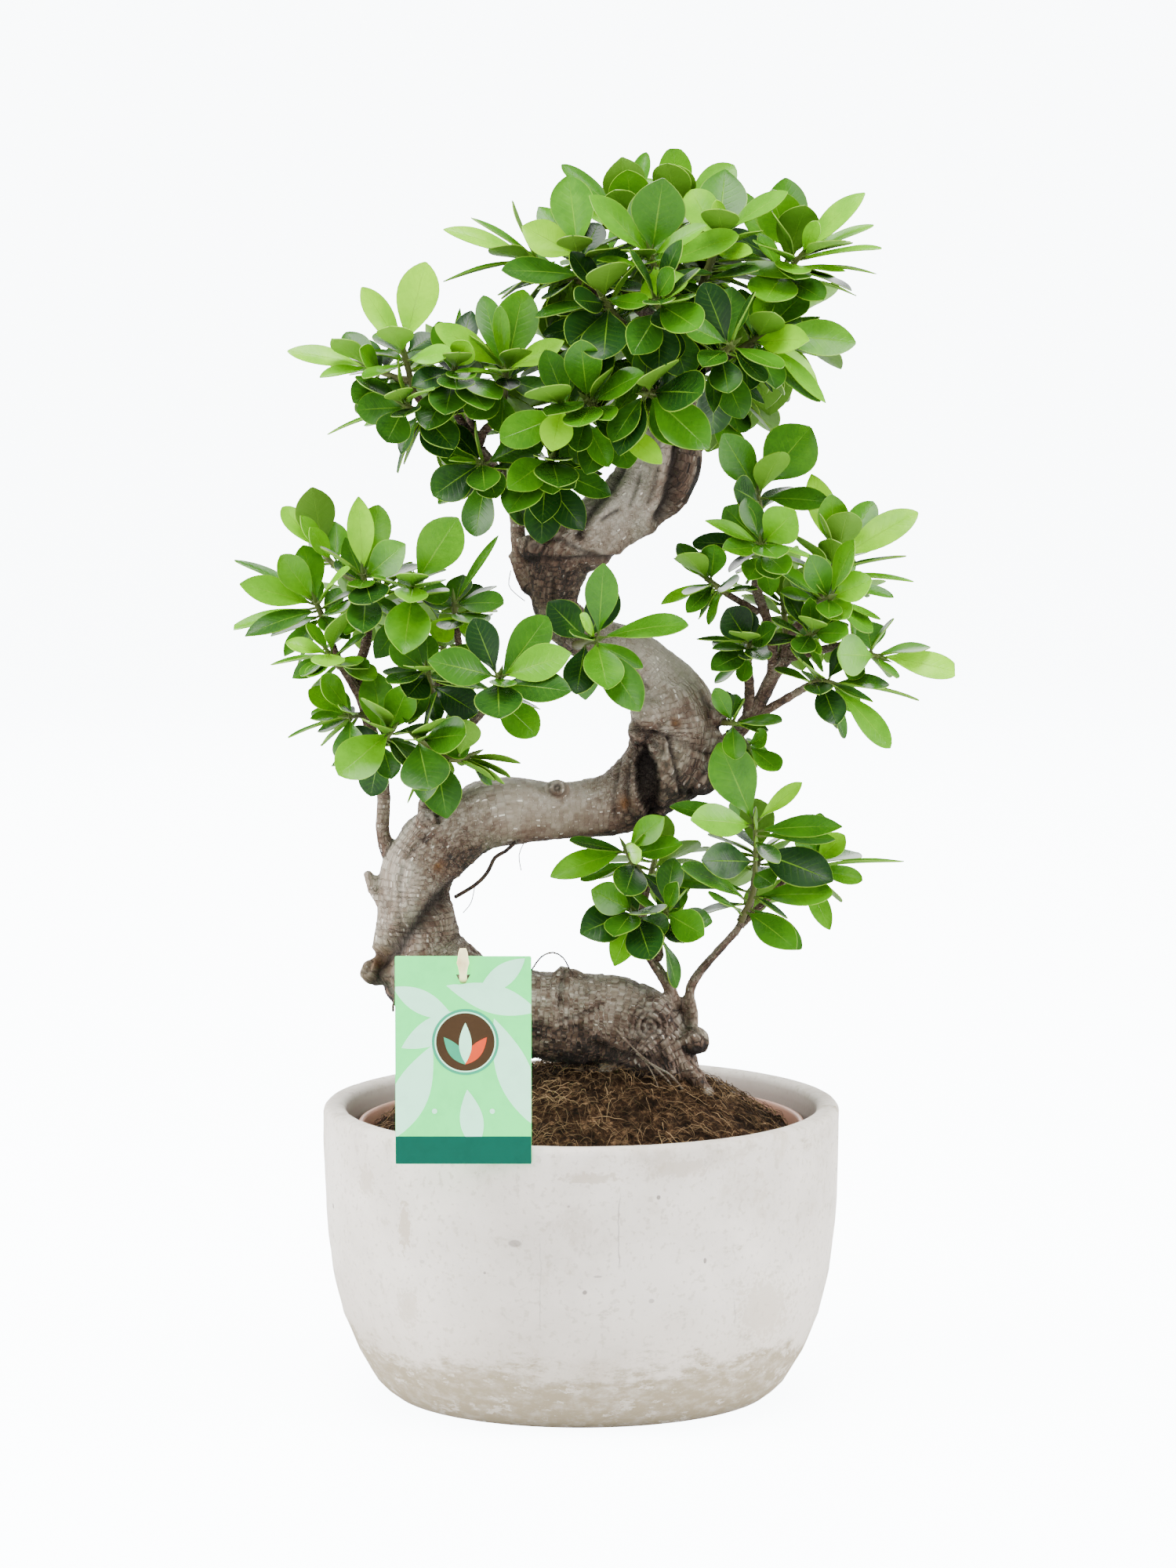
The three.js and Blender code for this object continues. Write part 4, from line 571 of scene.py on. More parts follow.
def fibre(draw):
    """A loose coir fibre or root hair lying on the soil in a lazy curve."""
    reach = FIBRE_START_REACH * math.sqrt(draw.random())
    turn = 2 * math.pi * draw.random()
    x, y = reach * math.cos(turn), reach * math.sin(turn)
    heading = 2 * math.pi * draw.random()
    bend = draw.normal(0, 0.12)
    stride = draw.uniform(*FIBRE_LENGTH) / (FIBRE_STOPS - 1)
    lift = draw.uniform(0.2, 3.2)
    line = []
    for k in range(FIBRE_STOPS):
        rise = lift * math.sin(math.pi * k / (FIBRE_STOPS - 1)) + 0.2 + 1.6 * draw.random()
        inward = min(1, FIBRE_REACH / math.hypot(x, y))
        x, y = x * inward, y * inward
        line.append((x, y, float(soil_height(x, y)) + rise))
        heading += bend + draw.normal(0, 0.08)
        x += math.cos(heading) * stride
        y += math.sin(heading) * stride
    return tube(np.column_stack([line, draw.uniform(*FIBRE_RADIUS) * FIBRE_TAPER]), 3)


# The paleness of each fibre is spread evenly over them by the golden share.
GOLDEN_SHARE = 0.618


def soil_mound():
    """The soil with its loose fibres; each point keeps how pale its fibre is, with 0 for the soil itself."""
    fibre_draw = np.random.default_rng(FIBRE_SEED)
    points, faces, owner = joined([soil_surface()] + [fibre(fibre_draw) for _ in range(FIBRE_COUNT)])
    mound = smooth(mesh_object("soil_mound", points * MM, faces))
    fibre_pale = 0.15 + 0.85 * ((owner * GOLDEN_SHARE) % 1) ** 2.2
    store(mound.data, "fibre", np.where(owner > 0, fibre_pale, 0))
    return mound


# The darkest peat tone, also used as painted shade in the gaps between crumbs.
SOIL_DARK = (0.003, 0.002, 0.001, 1)
SOIL_BROWN = (0.026, 0.013, 0.006, 1)
SOIL_PALE = (0.22, 0.13, 0.065, 1)
FIBRE_DARK = (0.026, 0.013, 0.006, 1)
FIBRE_PALE = (0.36, 0.24, 0.125, 1)


def peat_material():
    """Dark damp peat with paler crumbs and painted shade in the gaps between them, and coir fibres from brown
    to straw.
    """
    peat, shader = new_material("peat", SOIL_BROWN, 0.95, 0.06)
    place = own_place(peat)
    lumps = noise_map(place, 260, 8, (1, 1, 1), 0.72)
    # The tones follow the lumps that also drive the bump: the peat's own dark and pale crumbs, with painted
    # shade where the lumps are lowest.
    color = ramp(lumps, (0.36, SOIL_DARK), (0.52, SOIL_BROWN), (0.72, SOIL_PALE))
    color = tinted(color, SOIL_DARK, mask(noise_map(place, 36, 4), 0.5, 0.7), 0.5)
    fibre_tone = stored(peat, "fibre")["Fac"]
    fibre_color = ramp(fibre_tone, (0.15, FIBRE_DARK), (1.0, FIBRE_PALE))
    color = tinted(color, fibre_color, mask(fibre_tone, 0.02, 0.1))
    damp = mask(noise_map(place, 60, 5, (1, 1, 1), 0.65), 0.48, 0.62)
    feed(shader.inputs["Base Color"], tinted(color, SOIL_DARK, damp, 0.6))
    bumped(shader, lumps, 0.0015, 0.9)
    return peat


soil = soil_mound()
soil.data.materials.append(peat_material())
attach(soil, "root")
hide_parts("soil")

# Wood: trunk, roots, branches and twigs
# One living piece of fig wood, wired into an S when young. Its grey bark is smooth on the straighter
# runs, wrinkled and flaky on the knees, and grooved, knotted and scarred where limbs were cut away.
BARK_STEP = 1.25
BARK_SMOOTHING = 3
TRUNK_SIDES = 56
LIMB_SIDES = 20
STUB_SIDES = 14
TWIG_SIDES = 12
HAIR_SIDES = 6
# How deep the flutes along a limb are, as a share of its radius.
TRUNK_FLUTE = 0.035
LIMB_FLUTE = 0.03
TWIG_FLUTE = 0.04
EGG_RINGS = 12
EGG_SIDES = 16
FOOT_LINE = [(37, 4, 136, 19), (36, 3, 150, 18.5)]
# Limbs that start thicker than this are part of the bark's skin; the others are turned by themselves.
THICK_LIMB = 3.5
THICK_STEP = 2.5
THIN_STEP = 2.0

# Trunk from its foot to its top: (x, y, z, radius).
TRUNK = [
    (36, 3, 150, 18.1), (37, 3, 162, 21.2), (33, 2, 174, 22.8), (26, 1, 183, 22.8), (11, -2, 189, 22.4),
    (-18, -6, 192, 22), (-48, -10, 197, 22.4), (-67, -12, 207, 23.6), (-80, -13, 222, 22.8),
    (-82, -13, 238, 20.4), (-83, -12, 254, 18.8), (-81, -11, 267, 18.8), (-70, -10, 281, 17.7),
    (-54, -8, 291, 16.9), (-39, -5, 295, 17.7), (-10, -1, 294, 14.1), (17, 4, 298, 16.1),
    (32, 7, 307, 18.8), (43, 8, 318, 22), (48, 9, 332, 21.2), (45, 9, 348, 19.6), (36, 8, 362, 14.5),
    (25, 6, 373, 12.6), (9, 3, 379, 11.8), (-4, 0, 386, 11.4), (-13, -1, 393, 11), (-14, -2, 404, 12.2),
    (-12, -3, 415, 14.1), (-8, -3, 426, 16.1), (4, -2, 433, 16.5), (21, 0, 445, 16.9), (33, 2, 456, 19.2),
    (40, 4, 469, 21.2), (43, 6, 485, 18.1), (46, 9, 504, 14.1), (47, 10, 525, 9.8), (46, 10, 541, 7.1),
]
# Branches and twigs in the same form, each starting inside the wood that bears it.
LIMBS = {
    "left stem, main": [
        (-87, -11, 258, 4.7), (-95, -10, 273, 4.7), (-99, -12, 285, 3.7), (-99, -14, 310, 3.5),
        (-107, -17, 346, 3.1), (-113, -18, 360, 2.7), (-120, -20, 370, 2),
    ],
    "left stem, inner fork": [
        (-109, -17, 353, 2.7), (-110, -14, 369, 2.6), (-107, -12, 380, 2.4), (-105, -12, 398, 2),
    ],
    "left stem, outer fork": [(-115, -18, 363, 2), (-122, -8, 374, 1.8), (-127, 4, 386, 1.6)],
    "left back twig": [(-109, -13, 374, 2), (-106, 14, 385, 1.6)],
    "left small side": [(-107, -17, 346, 1.8), (-108, -20, 345, 1.6)],
    "left low side": [(-102, -16, 325, 2), (-102, -20, 328, 1.8)],
    "second stem": [
        (-74, -10, 285, 5.5), (-77, -12, 298, 4.7), (-74, -16, 310, 3.3), (-68, -22, 322, 2.9),
        (-55, -28, 341, 2.6), (-45, -34, 352, 2),
    ],
    "second stem, left twig": [(-68, -22, 322, 2.4), (-74, -28, 358, 2)],
    "second stem, twig to upper left": [
        (-74, -25, 354, 2), (-78, -19, 369, 1.8), (-83, -20, 383, 1.6), (-84, -22, 394, 1.6),
    ],
    "second stem, twig to upper right": [
        (-73, -25, 355, 1.8), (-66, -18, 362, 1.8), (-60, -17, 369, 1.8), (-62, -18, 389, 1.6),
    ],
    "second stem, back twig": [(-72, -25, 348, 2), (-72, -8, 356, 1.8), (-71, 10, 361, 1.6)],
    "second stem, low front twig": [(-65, -23, 324, 2), (-68, -32, 326, 1.8)],
    "upper left stem": [
        (-14, -3, 408, 5.5), (-27, -4, 415, 4.7), (-31, -5, 430, 4.3), (-34, -8, 452, 3.9),
        (-50, -13, 477, 3.1),
    ],
    "upper left, left twig": [(-50, -13, 477, 2.6), (-70, -15, 490, 2.2), (-76, -20, 493, 2)],
    "upper left, far left twig": [(-70, -14, 489, 2), (-77, -12, 497, 1.8), (-83, -18, 506, 1.6)],
    "upper left, middle twig": [(-52, -13, 480, 2.4), (-63, -16, 497, 1.8), (-64, -18, 505, 1.6)],
    "upper left, back twig": [(-52, -12, 481, 2.4), (-56, 12, 492, 1.8)],
    "upper left, right twig": [
        (-51, -13, 478, 2.4), (-48, -15, 486, 2.2), (-42, -16, 492, 2), (-38, -18, 504, 1.8),
    ],
    "upper left, low front twig": [(-42, -11, 466, 2), (-44, -16, 466, 1.8)],
    "upper left, second back twig": [(-39, -9, 461, 2), (-39, 4, 471, 1.8), (-39, 12, 480, 1.6)],
    "upper left, side twig": [(-32, -6, 439, 2.4), (-21, -10, 458, 1.6)],
    "centre twig": [(-6, -4, 383, 3.9), (-4, -12, 380, 2.7), (-2, -20, 380, 2.4)],
    "right limb": [
        (60, 9, 321, 4.7), (74, 7, 329, 4.1), (87, 2, 345, 3.9), (96, -2, 363, 3.7), (103, -5, 372, 3.1),
    ],
    "right limb, up fork": [(95, -2, 361, 2.7), (95, -5, 383, 2.4), (87, -7, 408, 2.4), (91, -8, 418, 2)],
    "right limb, thin left twig": [(88, -6, 395, 1.8), (72, -12, 405, 1.6)],
    "right limb, right twig": [(103, -5, 372, 2.4), (131, -8, 379, 1.8)],
    "right limb, upper right twig": [(101, -4, 370, 2.4), (105, -6, 384, 2.2), (117, -8, 397, 1.8)],
    "right limb, small middle twig": [(104, -5, 374, 1.8), (109, -14, 381, 1.6)],
    "right limb, lower twig": [(88, 2, 342, 2.4), (113, -14, 359, 1.8)],
    "right limb, upright twig": [(83, 3, 341, 2.7), (84, -3, 354, 2.6), (83, -8, 370, 2)],
    "right limb, back twig": [(98, -2, 367, 2.4), (103, 18, 380, 1.8)],
    "right limb, low stub": [(77, 6, 329, 2), (81, 2, 330, 1.6)],
    "right knot": [(65, 4, 341, 2.7), (72, -2, 339, 1.7)],
    "low right stem A": [
        (43, 0, 193, 3.9), (45, -6, 204, 3.3), (33, -8, 225, 2.7), (30, -8, 245, 2.4), (30, -8, 263, 2),
    ],
    "low right stem A, side twig": [(34, -8, 222, 2), (39, -8, 221, 2), (39, -10, 228, 1.8)],
    "low right stem A, front twig": [(31, -8, 234, 1.8), (30, -18, 240, 1.8)],
    "low right stem A, back twig": [(31, -6, 243, 2), (33, 14, 253, 1.6)],
    "low right stem B": [
        (55, 0, 181, 3.9), (56, -4, 192, 3.1), (56, -4, 208, 2.7), (78, -6, 235, 2.2), (80, -6, 240, 2),
    ],
    "low right stem B, back twig": [(77, -5, 233, 1.8), (84, 4, 244, 1.8), (87, 14, 257, 1.6)],
    "low right stem B, right twig": [(80, -5, 237, 1.8), (104, 2, 260, 1.6)],
    "crown, centre twig": [(46, 10, 539, 4.7), (40, -4, 554, 2)],
    "crown, rising twig": [(46, 10, 539, 4.7), (47, 14, 560, 2.4)],
    "crown, left bough": [(43, 9, 523, 5.5), (29, 4, 529, 4.3), (17, -2, 541, 3.1), (5, -8, 558, 2)],
    "crown, right bough": [(49, 10, 525, 5.5), (81, 12, 544, 2.4)],
    "crown, front right bough": [(47, 10, 533, 3.9), (56, 0, 546, 2.4)],
    "crown, low right bough": [(49, 8, 511, 5.1), (75, -14, 524, 2)],
    "crown, low right front twig": [(57, 0, 515, 2.4), (63, -24, 520, 2)],
    "crown, front bough": [(44, 2, 528, 4.7), (43, -22, 538, 2.4)],
    "crown, left front twig": [(29, 2, 529, 3.1), (23, -12, 534, 2.4)],
    "crown, low left bough": [(39, 2, 485, 5.5), (29, -6, 485, 3.9), (14, -18, 491, 2.4)],
    "crown, low front bough": [(42, 2, 496, 5.5), (41, -22, 506, 2.4)],
    "crown, back left bough": [(42, 14, 535, 4.7), (23, 40, 548, 2.4)],
    "crown, back right bough": [(48, 16, 532, 4.7), (62, 44, 548, 2.4)],
    "crown, back bough": [(46, 16, 523, 4.7), (43, 46, 532, 2.4)],
    "crown, low back left bough": [(42, 12, 501, 4.7), (15, 36, 510, 2.4)],
    "crown, low back right bough": [(49, 14, 499, 4.7), (65, 36, 502, 2.4)],
}
# Knots, burrs and cut stubs: (centre, half sizes, turn about the Y axis).
KNOTS = [
    ((-12, -11, 307), (6.5, 5, 4.5), 0), ((-101, -22, 216), (8, 7, 8), 0.3),
    ((57, -10, 180), (7.5, 8, 7), 0.3), ((68, 2, 342), (5, 5, 5), 0), ((-77, -22, 293), (5, 4, 5), 0),
    ((-24, -13, 428), (8, 5, 7), 0.4), ((-9, -12, 212), (6, 6, 6), 0), ((36, -10, 194), (11, 9, 10), 0),
    ((50, -6, 330), (10, 8, 8), 0), ((8, -10, 204), (6, 6, 6), 0), ((-60, -12, 297), (7, 8, 5), 0),
    ((60, -3, 311), (9, 10, 9), 0.3), ((33, -5, 343), (9, 10, 9), 0.4), ((30, -3, 336), (7, 8, 8), 0.5),
    ((-5, -8, 209), (9, 8, 7), 0), ((64, 3, 326), (7, 8, 10), 0),
]

# Short dead stubs and raised roots that are part of the bark: stations (x, y, z, radius).
STUBS = [
    [(-26, -4, 405, 3.4), (-30, -5, 412, 2.8), (-33, -6, 418, 2.0), (-36, -7, 424, 1.0)],
    [(-96, -14, 246, 4.2), (-102, -15, 255, 3.8), (-105, -16, 262, 3.3), (-107, -16, 266, 2.6)],
    [(55, 0, 190, 3.0), (49, -5, 199, 1.9), (47, -7, 205, 1.1)],
    [(33, -8, 350, 1.2), (37, -11, 340, 1.3), (41, -13, 330, 1.3), (44, -14, 318, 1.2), (47, -12, 304, 1)],
    [(36, -8, 349, 1), (40, -11, 338, 1), (44, -12.5, 328, 1.1), (46.5, -13, 316, 1), (49, -10, 305, 0.9)],
    [(-39, 2, 300, 2.5), (-47, -8, 303, 2.4), (-58, -12, 299, 1.5)],
]

# Root flares round the foot, running down into the soil, in the same form.
FLARES = [
    [(40, -2, 178, 17), (42, -3, 160, 15), (42, -2, 144, 14)],
    [(24, -2, 178, 16), (19, -3, 160, 14), (18, -2, 144, 12)],
    [(10, -3, 182, 14), (6, -2, 166, 10), (7, 0, 148, 8)],
    [(30, 8, 174, 14), (28, 12, 160, 12), (28, 12, 144, 10)],
    [(46, 6, 172, 12), (50, 10, 160, 9), (50, 10, 146, 7)],
    [(50, -9, 168, 6), (57, -13, 160, 4.5), (64, -18, 152, 3.5)],
]


def eased(stations, step):
    """Stations (x, y, z, radius) resampled on a smooth curve through them."""
    knots = np.array([stations[0], *stations, stations[-1]], float)
    made = []
    for a, b, c, d in zip(knots, knots[1:], knots[2:], knots[3:]):
        count = max(1, int(round(norm(c[:3] - b[:3]) / step)))
        for t in np.arange(count) / count:
            made.append(0.5 * (2 * b + (c - a) * t + (2 * a - 5 * b + 4 * c - d) * t ** 2
                               + (3 * b - a - 3 * c + d) * t ** 3))
    return np.array([*made, knots[-1]])


def egg(centre, sizes, turn):
    """A lump of bark: an egg of given half sizes, turned about the Y axis."""
    lows = np.radians(np.linspace(-84, 84, EGG_RINGS))
    ball, faces = lofted([level_ring(math.cos(low), math.sin(low), EGG_SIDES) for low in lows])
    x, y, z = (ball * sizes).T
    cos, sin = math.cos(turn), math.sin(turn)
    return np.stack([x * cos + z * sin, y, z * cos - x * sin], axis=1) + centre, faces


trunk_line = eased(FOOT_LINE + TRUNK[1:], THICK_STEP)
thick_lines = [eased(line, THICK_STEP) for line in LIMBS.values() if line[0][3] >= THICK_LIMB]
thin_lines = [eased(line, THIN_STEP) for line in LIMBS.values() if line[0][3] < THICK_LIMB]


def bark_skin():
    """Trunk, thick limbs, stubs, root flares and knots grown together under one skin."""
    parts = [tube(trunk_line, TRUNK_SIDES, TRUNK_FLUTE)]
    parts += [tube(line, LIMB_SIDES, LIMB_FLUTE) for line in thick_lines]
    parts += [tube(eased(line, THIN_STEP), STUB_SIDES) for line in STUBS + FLARES]
    parts += [egg(*knot) for knot in KNOTS]
    points, faces, _ = joined(parts)
    made = mesh_object("wood", points * MM, faces)
    remesh = made.modifiers.new("bark_skin", "REMESH")
    remesh.mode = "VOXEL"
    remesh.voxel_size = BARK_STEP * MM
    skin = bpy.data.meshes.new_from_object(made.evaluated_get(bpy.context.evaluated_depsgraph_get()))
    made.modifiers.clear()
    made.data = skin
    return made


def read_out(items, name, width, kind=np.float32):
    """The values that Blender keeps under a name for each item, as rows."""
    flat = np.zeros(len(items) * width, kind)
    items.foreach_get(name, flat)
    return flat.reshape(-1, width)


def reshape(mesh, points):
    """Moves the points of a mesh to new places, in millimetres."""
    mesh.vertices.foreach_set("co", (points * MM).ravel().astype(np.float32))
    mesh.update()


def relaxed(points, edges, rounds):
    """Each point moved halfway to the middle of its neighbours, a few times over."""
    count = np.bincount(edges.ravel(), minlength=len(points))[:, None]
    for _ in range(rounds):
        total = np.zeros_like(points)
        np.add.at(total, edges[:, 0], points[edges[:, 1]])
        np.add.at(total, edges[:, 1], points[edges[:, 0]])
        points = 0.5 * points + 0.5 * total / count
    return points


wood = bark_skin()
bark_mesh = wood.data
raw_points = read_out(bark_mesh.vertices, "co", 3).astype(float) / MM
bark_edges = read_out(bark_mesh.edges, "vertices", 2, np.int32)
bark_points = relaxed(raw_points, bark_edges, BARK_SMOOTHING)
reshape(bark_mesh, bark_points)
bark_normals = read_out(bark_mesh.vertex_normals, "vector", 3).astype(float)

# Every limb has its own stretch of runs, so that no two limbs show the same grain.
LIMB_STRETCH = 400
BATCH = 4000


def straightened(points):
    """Each point's place as if its limb were straight, its limb's radius, and whether that is the trunk."""
    guides = []
    for number, line in enumerate([trunk_line, *thick_lines]):
        _, across, other = frames(line[:, :3])
        guides.append(np.column_stack([line, across, other, run_of(line[:, :3]) + LIMB_STRETCH * number]))
    guides = np.vstack(guides)
    nearest = np.zeros(len(points), int)
    for start in range(0, len(points), BATCH):
        part = points[start:start + BATCH]
        gap = norm(part[:, None] - guides[None, :, :3], axis=2) - guides[:, 3]
        nearest[start:start + BATCH] = gap.argmin(axis=1)
    guide = guides[nearest]
    offset = points - guide[:, :3]
    sideways = [(offset * guide[:, first:first + 3]).sum(axis=1) for first in (4, 7)]
    return np.stack([*sideways, guide[:, 10]], axis=1), guide[:, 3], nearest < len(trunk_line)


# How pale and how rough the bark is round about a place: (x, z, paleness, roughness).
BARK_LOOKS = np.array([
    (34, 188, 0.43, 1), (-8, 196, 0.43, 1), (-71, 204, 0.35, 0.9), (-79, 239, 0.4, 0.9),
    (-95, 259, 0.7, 0.4), (-71, 279, 0.45, 0.9), (-55, 298, 0.6, 0.5), (-24, 298, 0.64, 0.08),
    (3, 298, 0.6, 0.08), (20, 308, 0.38, 0.8), (52, 318, 0.38, 1), (48, 340, 0.5, 0.7),
    (38, 360, 0.82, 0.2), (23, 377, 0.75, 0.2), (0, 393, 0.5, 0.5), (-16, 404, 0.2, 1),
    (-16, 428, 0.35, 0.8), (7, 432, 0.7, 0.4), (23, 451, 0.85, 0.35), (31, 471, 0.9, 0.3),
    (52, 467, 0.3, 0.6), (42, 513, 0.4, 0.6), (48, 160, 0.24, 1),
])
LOOK_REACH = 15
# The look of the limbs and branches behind: (paleness, roughness).
LIMB_LOOK = (0.42, 0.45)
# Painted light and painted shade: upper faces are lightened and lower faces darkened by these shares, as
# light from above falls on them.
SKY_LIGHT = 0.24
GROUND_SHADE = 0.5

# Grooves, creases and fissures in the front of the bark: (line of (x, z), width, depth, darkness of the
# painted shade in the groove).
GROOVES = [
    ([(-64, 256), (-71, 253), (-78, 246), (-86, 238), (-93, 229), (-98, 223), (-101, 213)], 4.3, 5, 0.9),
    ([(48, 487), (47, 475), (45, 463), (43, 451), (39, 442)], 3.5, 5, 0.95),
    ([(23, 478), (20, 467), (15, 458), (8, 451), (2, 443), (-1, 435)], 2.4, 2.5, 0.8),
    ([(-25, 422), (-16, 423), (-6, 423), (4, 424), (17, 422)], 1.6, 2, 0.8),
    ([(-20, 432), (-11, 433), (-5, 430), (0, 427), (7, 425)], 1.3, 1.5, 0.7),
    ([(-15, 419), (-14, 410), (-14, 402)], 1.2, 1.2, 0.6),
    ([(10, 442), (14, 445), (18, 447)], 1.1, 1, 0.8),
    ([(29, 465), (27, 457), (24, 449)], 1.0, 0.8, 0.6),
    ([(38, 468), (36, 459), (33, 451)], 1.0, 0.8, 0.6),
    ([(27, 327), (24, 316), (23, 306), (25, 294)], 1.2, 1.6, 0.6),
    ([(19, 322), (18, 312), (16, 303), (17, 293)], 1.0, 1.2, 0.45),
    ([(43, 334), (46, 322), (50, 304)], 0.9, 2.0, 0.9),
    ([(24, 342), (31, 337), (40, 335), (50, 331), (59, 327), (66, 322)], 1.5, 1.4, 0.4),
    ([(54, 304), (57, 311), (63, 317), (68, 320)], 1.4, 2, 0.7),
    ([(27, 338), (33, 333), (38, 329)], 1.1, 1.4, 0.6),
    ([(38, 340), (41, 333), (40, 325)], 0.9, 1.2, 0.5),
    ([(23, 369), (28, 363), (33, 357)], 1.1, 1, 0.6),
    ([(-8, 217), (-10, 209), (-11, 200)], 1.6, 1.5, 0.5),
    ([(-11, 192), (-1, 195), (9, 198)], 1.3, 1.2, 0.5),
    ([(7, 180), (23, 174), (39, 171)], 2.0, 2, 0.7),
    ([(-76, 287), (-81, 281), (-86, 275)], 1.1, 1, 0.5),
    ([(-77, 299), (-72, 296), (-71, 292)], 1.2, 1.2, 0.7),
    ([(-89, 239), (-90, 251), (-90, 263), (-88, 271)], 1.2, 1, 0.4),
    ([(-98, 227), (-104, 225), (-107, 217)], 1.2, 1.5, 0.6),
]

# Ringed knots and swirls: (centre (x, z), reach, height of the rings, darkness of the painted shade in the
# rings' troughs).
SWIRLS = [
    ((34, 188), 14, 1.1, 0.75), ((3, 206), 4, 0.5, 0.4), ((-23, 429), 6, 0.8, 0.7),
    ((-12, 308), 6, 0.9, 0.95), ((-77, 294), 4, 0.6, 0.6), ((-101, 219), 8, 0.5, 0.4),
    ((59, 182), 6.5, 0.5, 0.25), ((47, 340), 3.5, 0.4, 0.5), ((-47, 294), 3, 0.3, 0.3),
    ((50, 312), 6, 0.5, 0.5),
]
SWIRL_SPACING = 2.9

# Reddish and amber scars: (centre (x, z), reach).
AMBER_SCARS = [((-71, 270), 2.6), ((22, 300), 3.5), ((-101, 222), 5.5), ((47, 340), 2.2), ((-67, 209), 3)]

# The deep hollow beside the knee: centre (x, z), half width, half height and lean; and its depth.
HOLLOW = ((33.4, 310), 5.8, 18.5, -0.1)
HOLLOW_DEPTH = 13.0


def line_distance(spots, line):
    """Distance of each spot (x, z) from a broken line."""
    best = np.full(len(spots), 1e9)
    for a, b in zip(np.array(line[:-1], float), np.array(line[1:], float)):
        run = b - a
        t = np.clip(((spots - a) @ run) / run.dot(run), 0, 1)
        best = np.minimum(best, norm(spots - a - t[:, None] * run, axis=1))
    return best


def looks_of(spots, normals, on_trunk):
    """How pale and how rough the bark is at each point, with painted light on upper faces and painted shade
    on lower ones.
    """
    gap = norm(spots[:, None] - BARK_LOOKS[None, :, :2], axis=2)
    share = np.exp(-((gap / LOOK_REACH) ** 2)) + 1e-9
    pale, rough = ((share @ BARK_LOOKS[:, 2:]) / share.sum(axis=1)[:, None]).T
    pale, rough = np.where(on_trunk, (pale, rough), np.array(LIMB_LOOK)[:, None])
    return pale + np.where(normals[:, 2] > 0, SKY_LIGHT, GROUND_SHADE) * normals[:, 2], rough


def grooves(spots, front, flakes):
    """Relief of the grooves, each with a raised lip at its sides, and the painted shade in them."""
    relief, painted_shade = np.zeros((2, len(spots)))
    for line, width, depth, darkness in GROOVES:
        away = line_distance(spots, line)
        near = np.exp(-(away / (width * (1 + 0.5 * flakes).clip(0.5, 1.6))) ** 2) * front
        relief -= depth * near
        relief += 0.35 * depth * np.exp(-((away - 2.1 * width) / width) ** 2) * front
        painted_shade = np.maximum(painted_shade, darkness * near)
    return relief, painted_shade


def swirls(spots, front, lumps):
    """Relief of the ringed knots, and the painted shade in the troughs of their rings."""
    relief, painted_shade = np.zeros((2, len(spots)))
    for centre, reach, height, darkness in SWIRLS:
        away = norm(spots - centre, axis=1) * (1 + 0.12 * lumps)
        near = np.exp(-(away / reach) ** 2) * front
        ring = np.cos(away * 2 * math.pi / SWIRL_SPACING)
        relief += height * near * ring
        painted_shade = np.maximum(painted_shade, darkness * near * (0.5 - 0.5 * ring))
    return relief, painted_shade


def hollow(spots, front, flakes):
    """Relief of the hollow's torn rim, its painted shade, and its bowl from 0 outside to 1 inside."""
    centre, half_wide, half_high, lean = HOLLOW
    x, z = (spots - centre).T
    lean_x = x * math.cos(lean) - z * math.sin(lean)
    lean_z = x * math.sin(lean) + z * math.cos(lean)
    torn = np.hypot(lean_x / half_wide, lean_z / half_high) * (1 + 0.16 * flakes)
    bowl = np.clip(2.6 * (1.1 - torn), 0, 1) * front
    rim = 1.3 * np.exp(-((torn - 1.3) / 0.16) ** 2) * front
    # Painted shade: the hollow's bowl is darkened, most of all under its upper edge.
    upper_shade = 0.28 * np.clip(0.5 + lean_z / half_high, 0, 1) ** 0.7
    return rim, np.clip(bowl * 1.3, 0, 1) * (0.72 + upper_shade), bowl


def amber_at(spots, front):
    """How amber the bark is at each point."""
    away = [norm(spots - centre, axis=1) / reach for centre, reach in AMBER_SCARS]
    return np.exp(-np.min(away, axis=0) ** 2) * front


spots = bark_points[:, [0, 2]]
straight, limb_radius, on_trunk = straightened(bark_points)
pale, rough = looks_of(spots, bark_normals, on_trunk)
front = np.clip(-bark_normals[:, 1] * 1.6 + 0.35, 0, 1)

ridges = 1 - np.abs(noise_at(straight * (1, 1, 0.55), 8.5, 21, 3))
rings = noise_at(straight * (0.4, 0.4, 1), 5.0, 22, 3)
flakes = noise_at(straight * (1, 1, 0.9), 3.0, 23, 3)
lumps = noise_at(bark_points, 22, 24, 2)
groove_relief, groove_shade = grooves(spots, front, flakes)
swirl_relief, swirl_shade = swirls(spots, front, lumps)
rim_relief, hollow_shade, bowl = hollow(spots, front, flakes)
relief = 1.6 * lumps * (0.35 + 0.65 * rough) + groove_relief + swirl_relief + rim_relief
relief += rough * (0.7 * (ridges - 0.75) + 0.75 * rings + 0.6 * flakes)
relief += (1 - rough) * (0.3 * rings + 0.1 * flakes)
# Painted shade: darker down in the furrows between the ridges, in the grooves, in the troughs of the knots'
# rings and in the hollow.
painted_shade = np.max([np.clip(rough * (0.5 - ridges) * 1.2, 0, 0.4), groove_shade, swirl_shade, hollow_shade], axis=0)
bark_points += bark_normals * (relief * np.clip(limb_radius / 12, 0.18, 1))[:, None]
bark_points[:, 1] += HOLLOW_DEPTH * bowl
reshape(bark_mesh, bark_points)


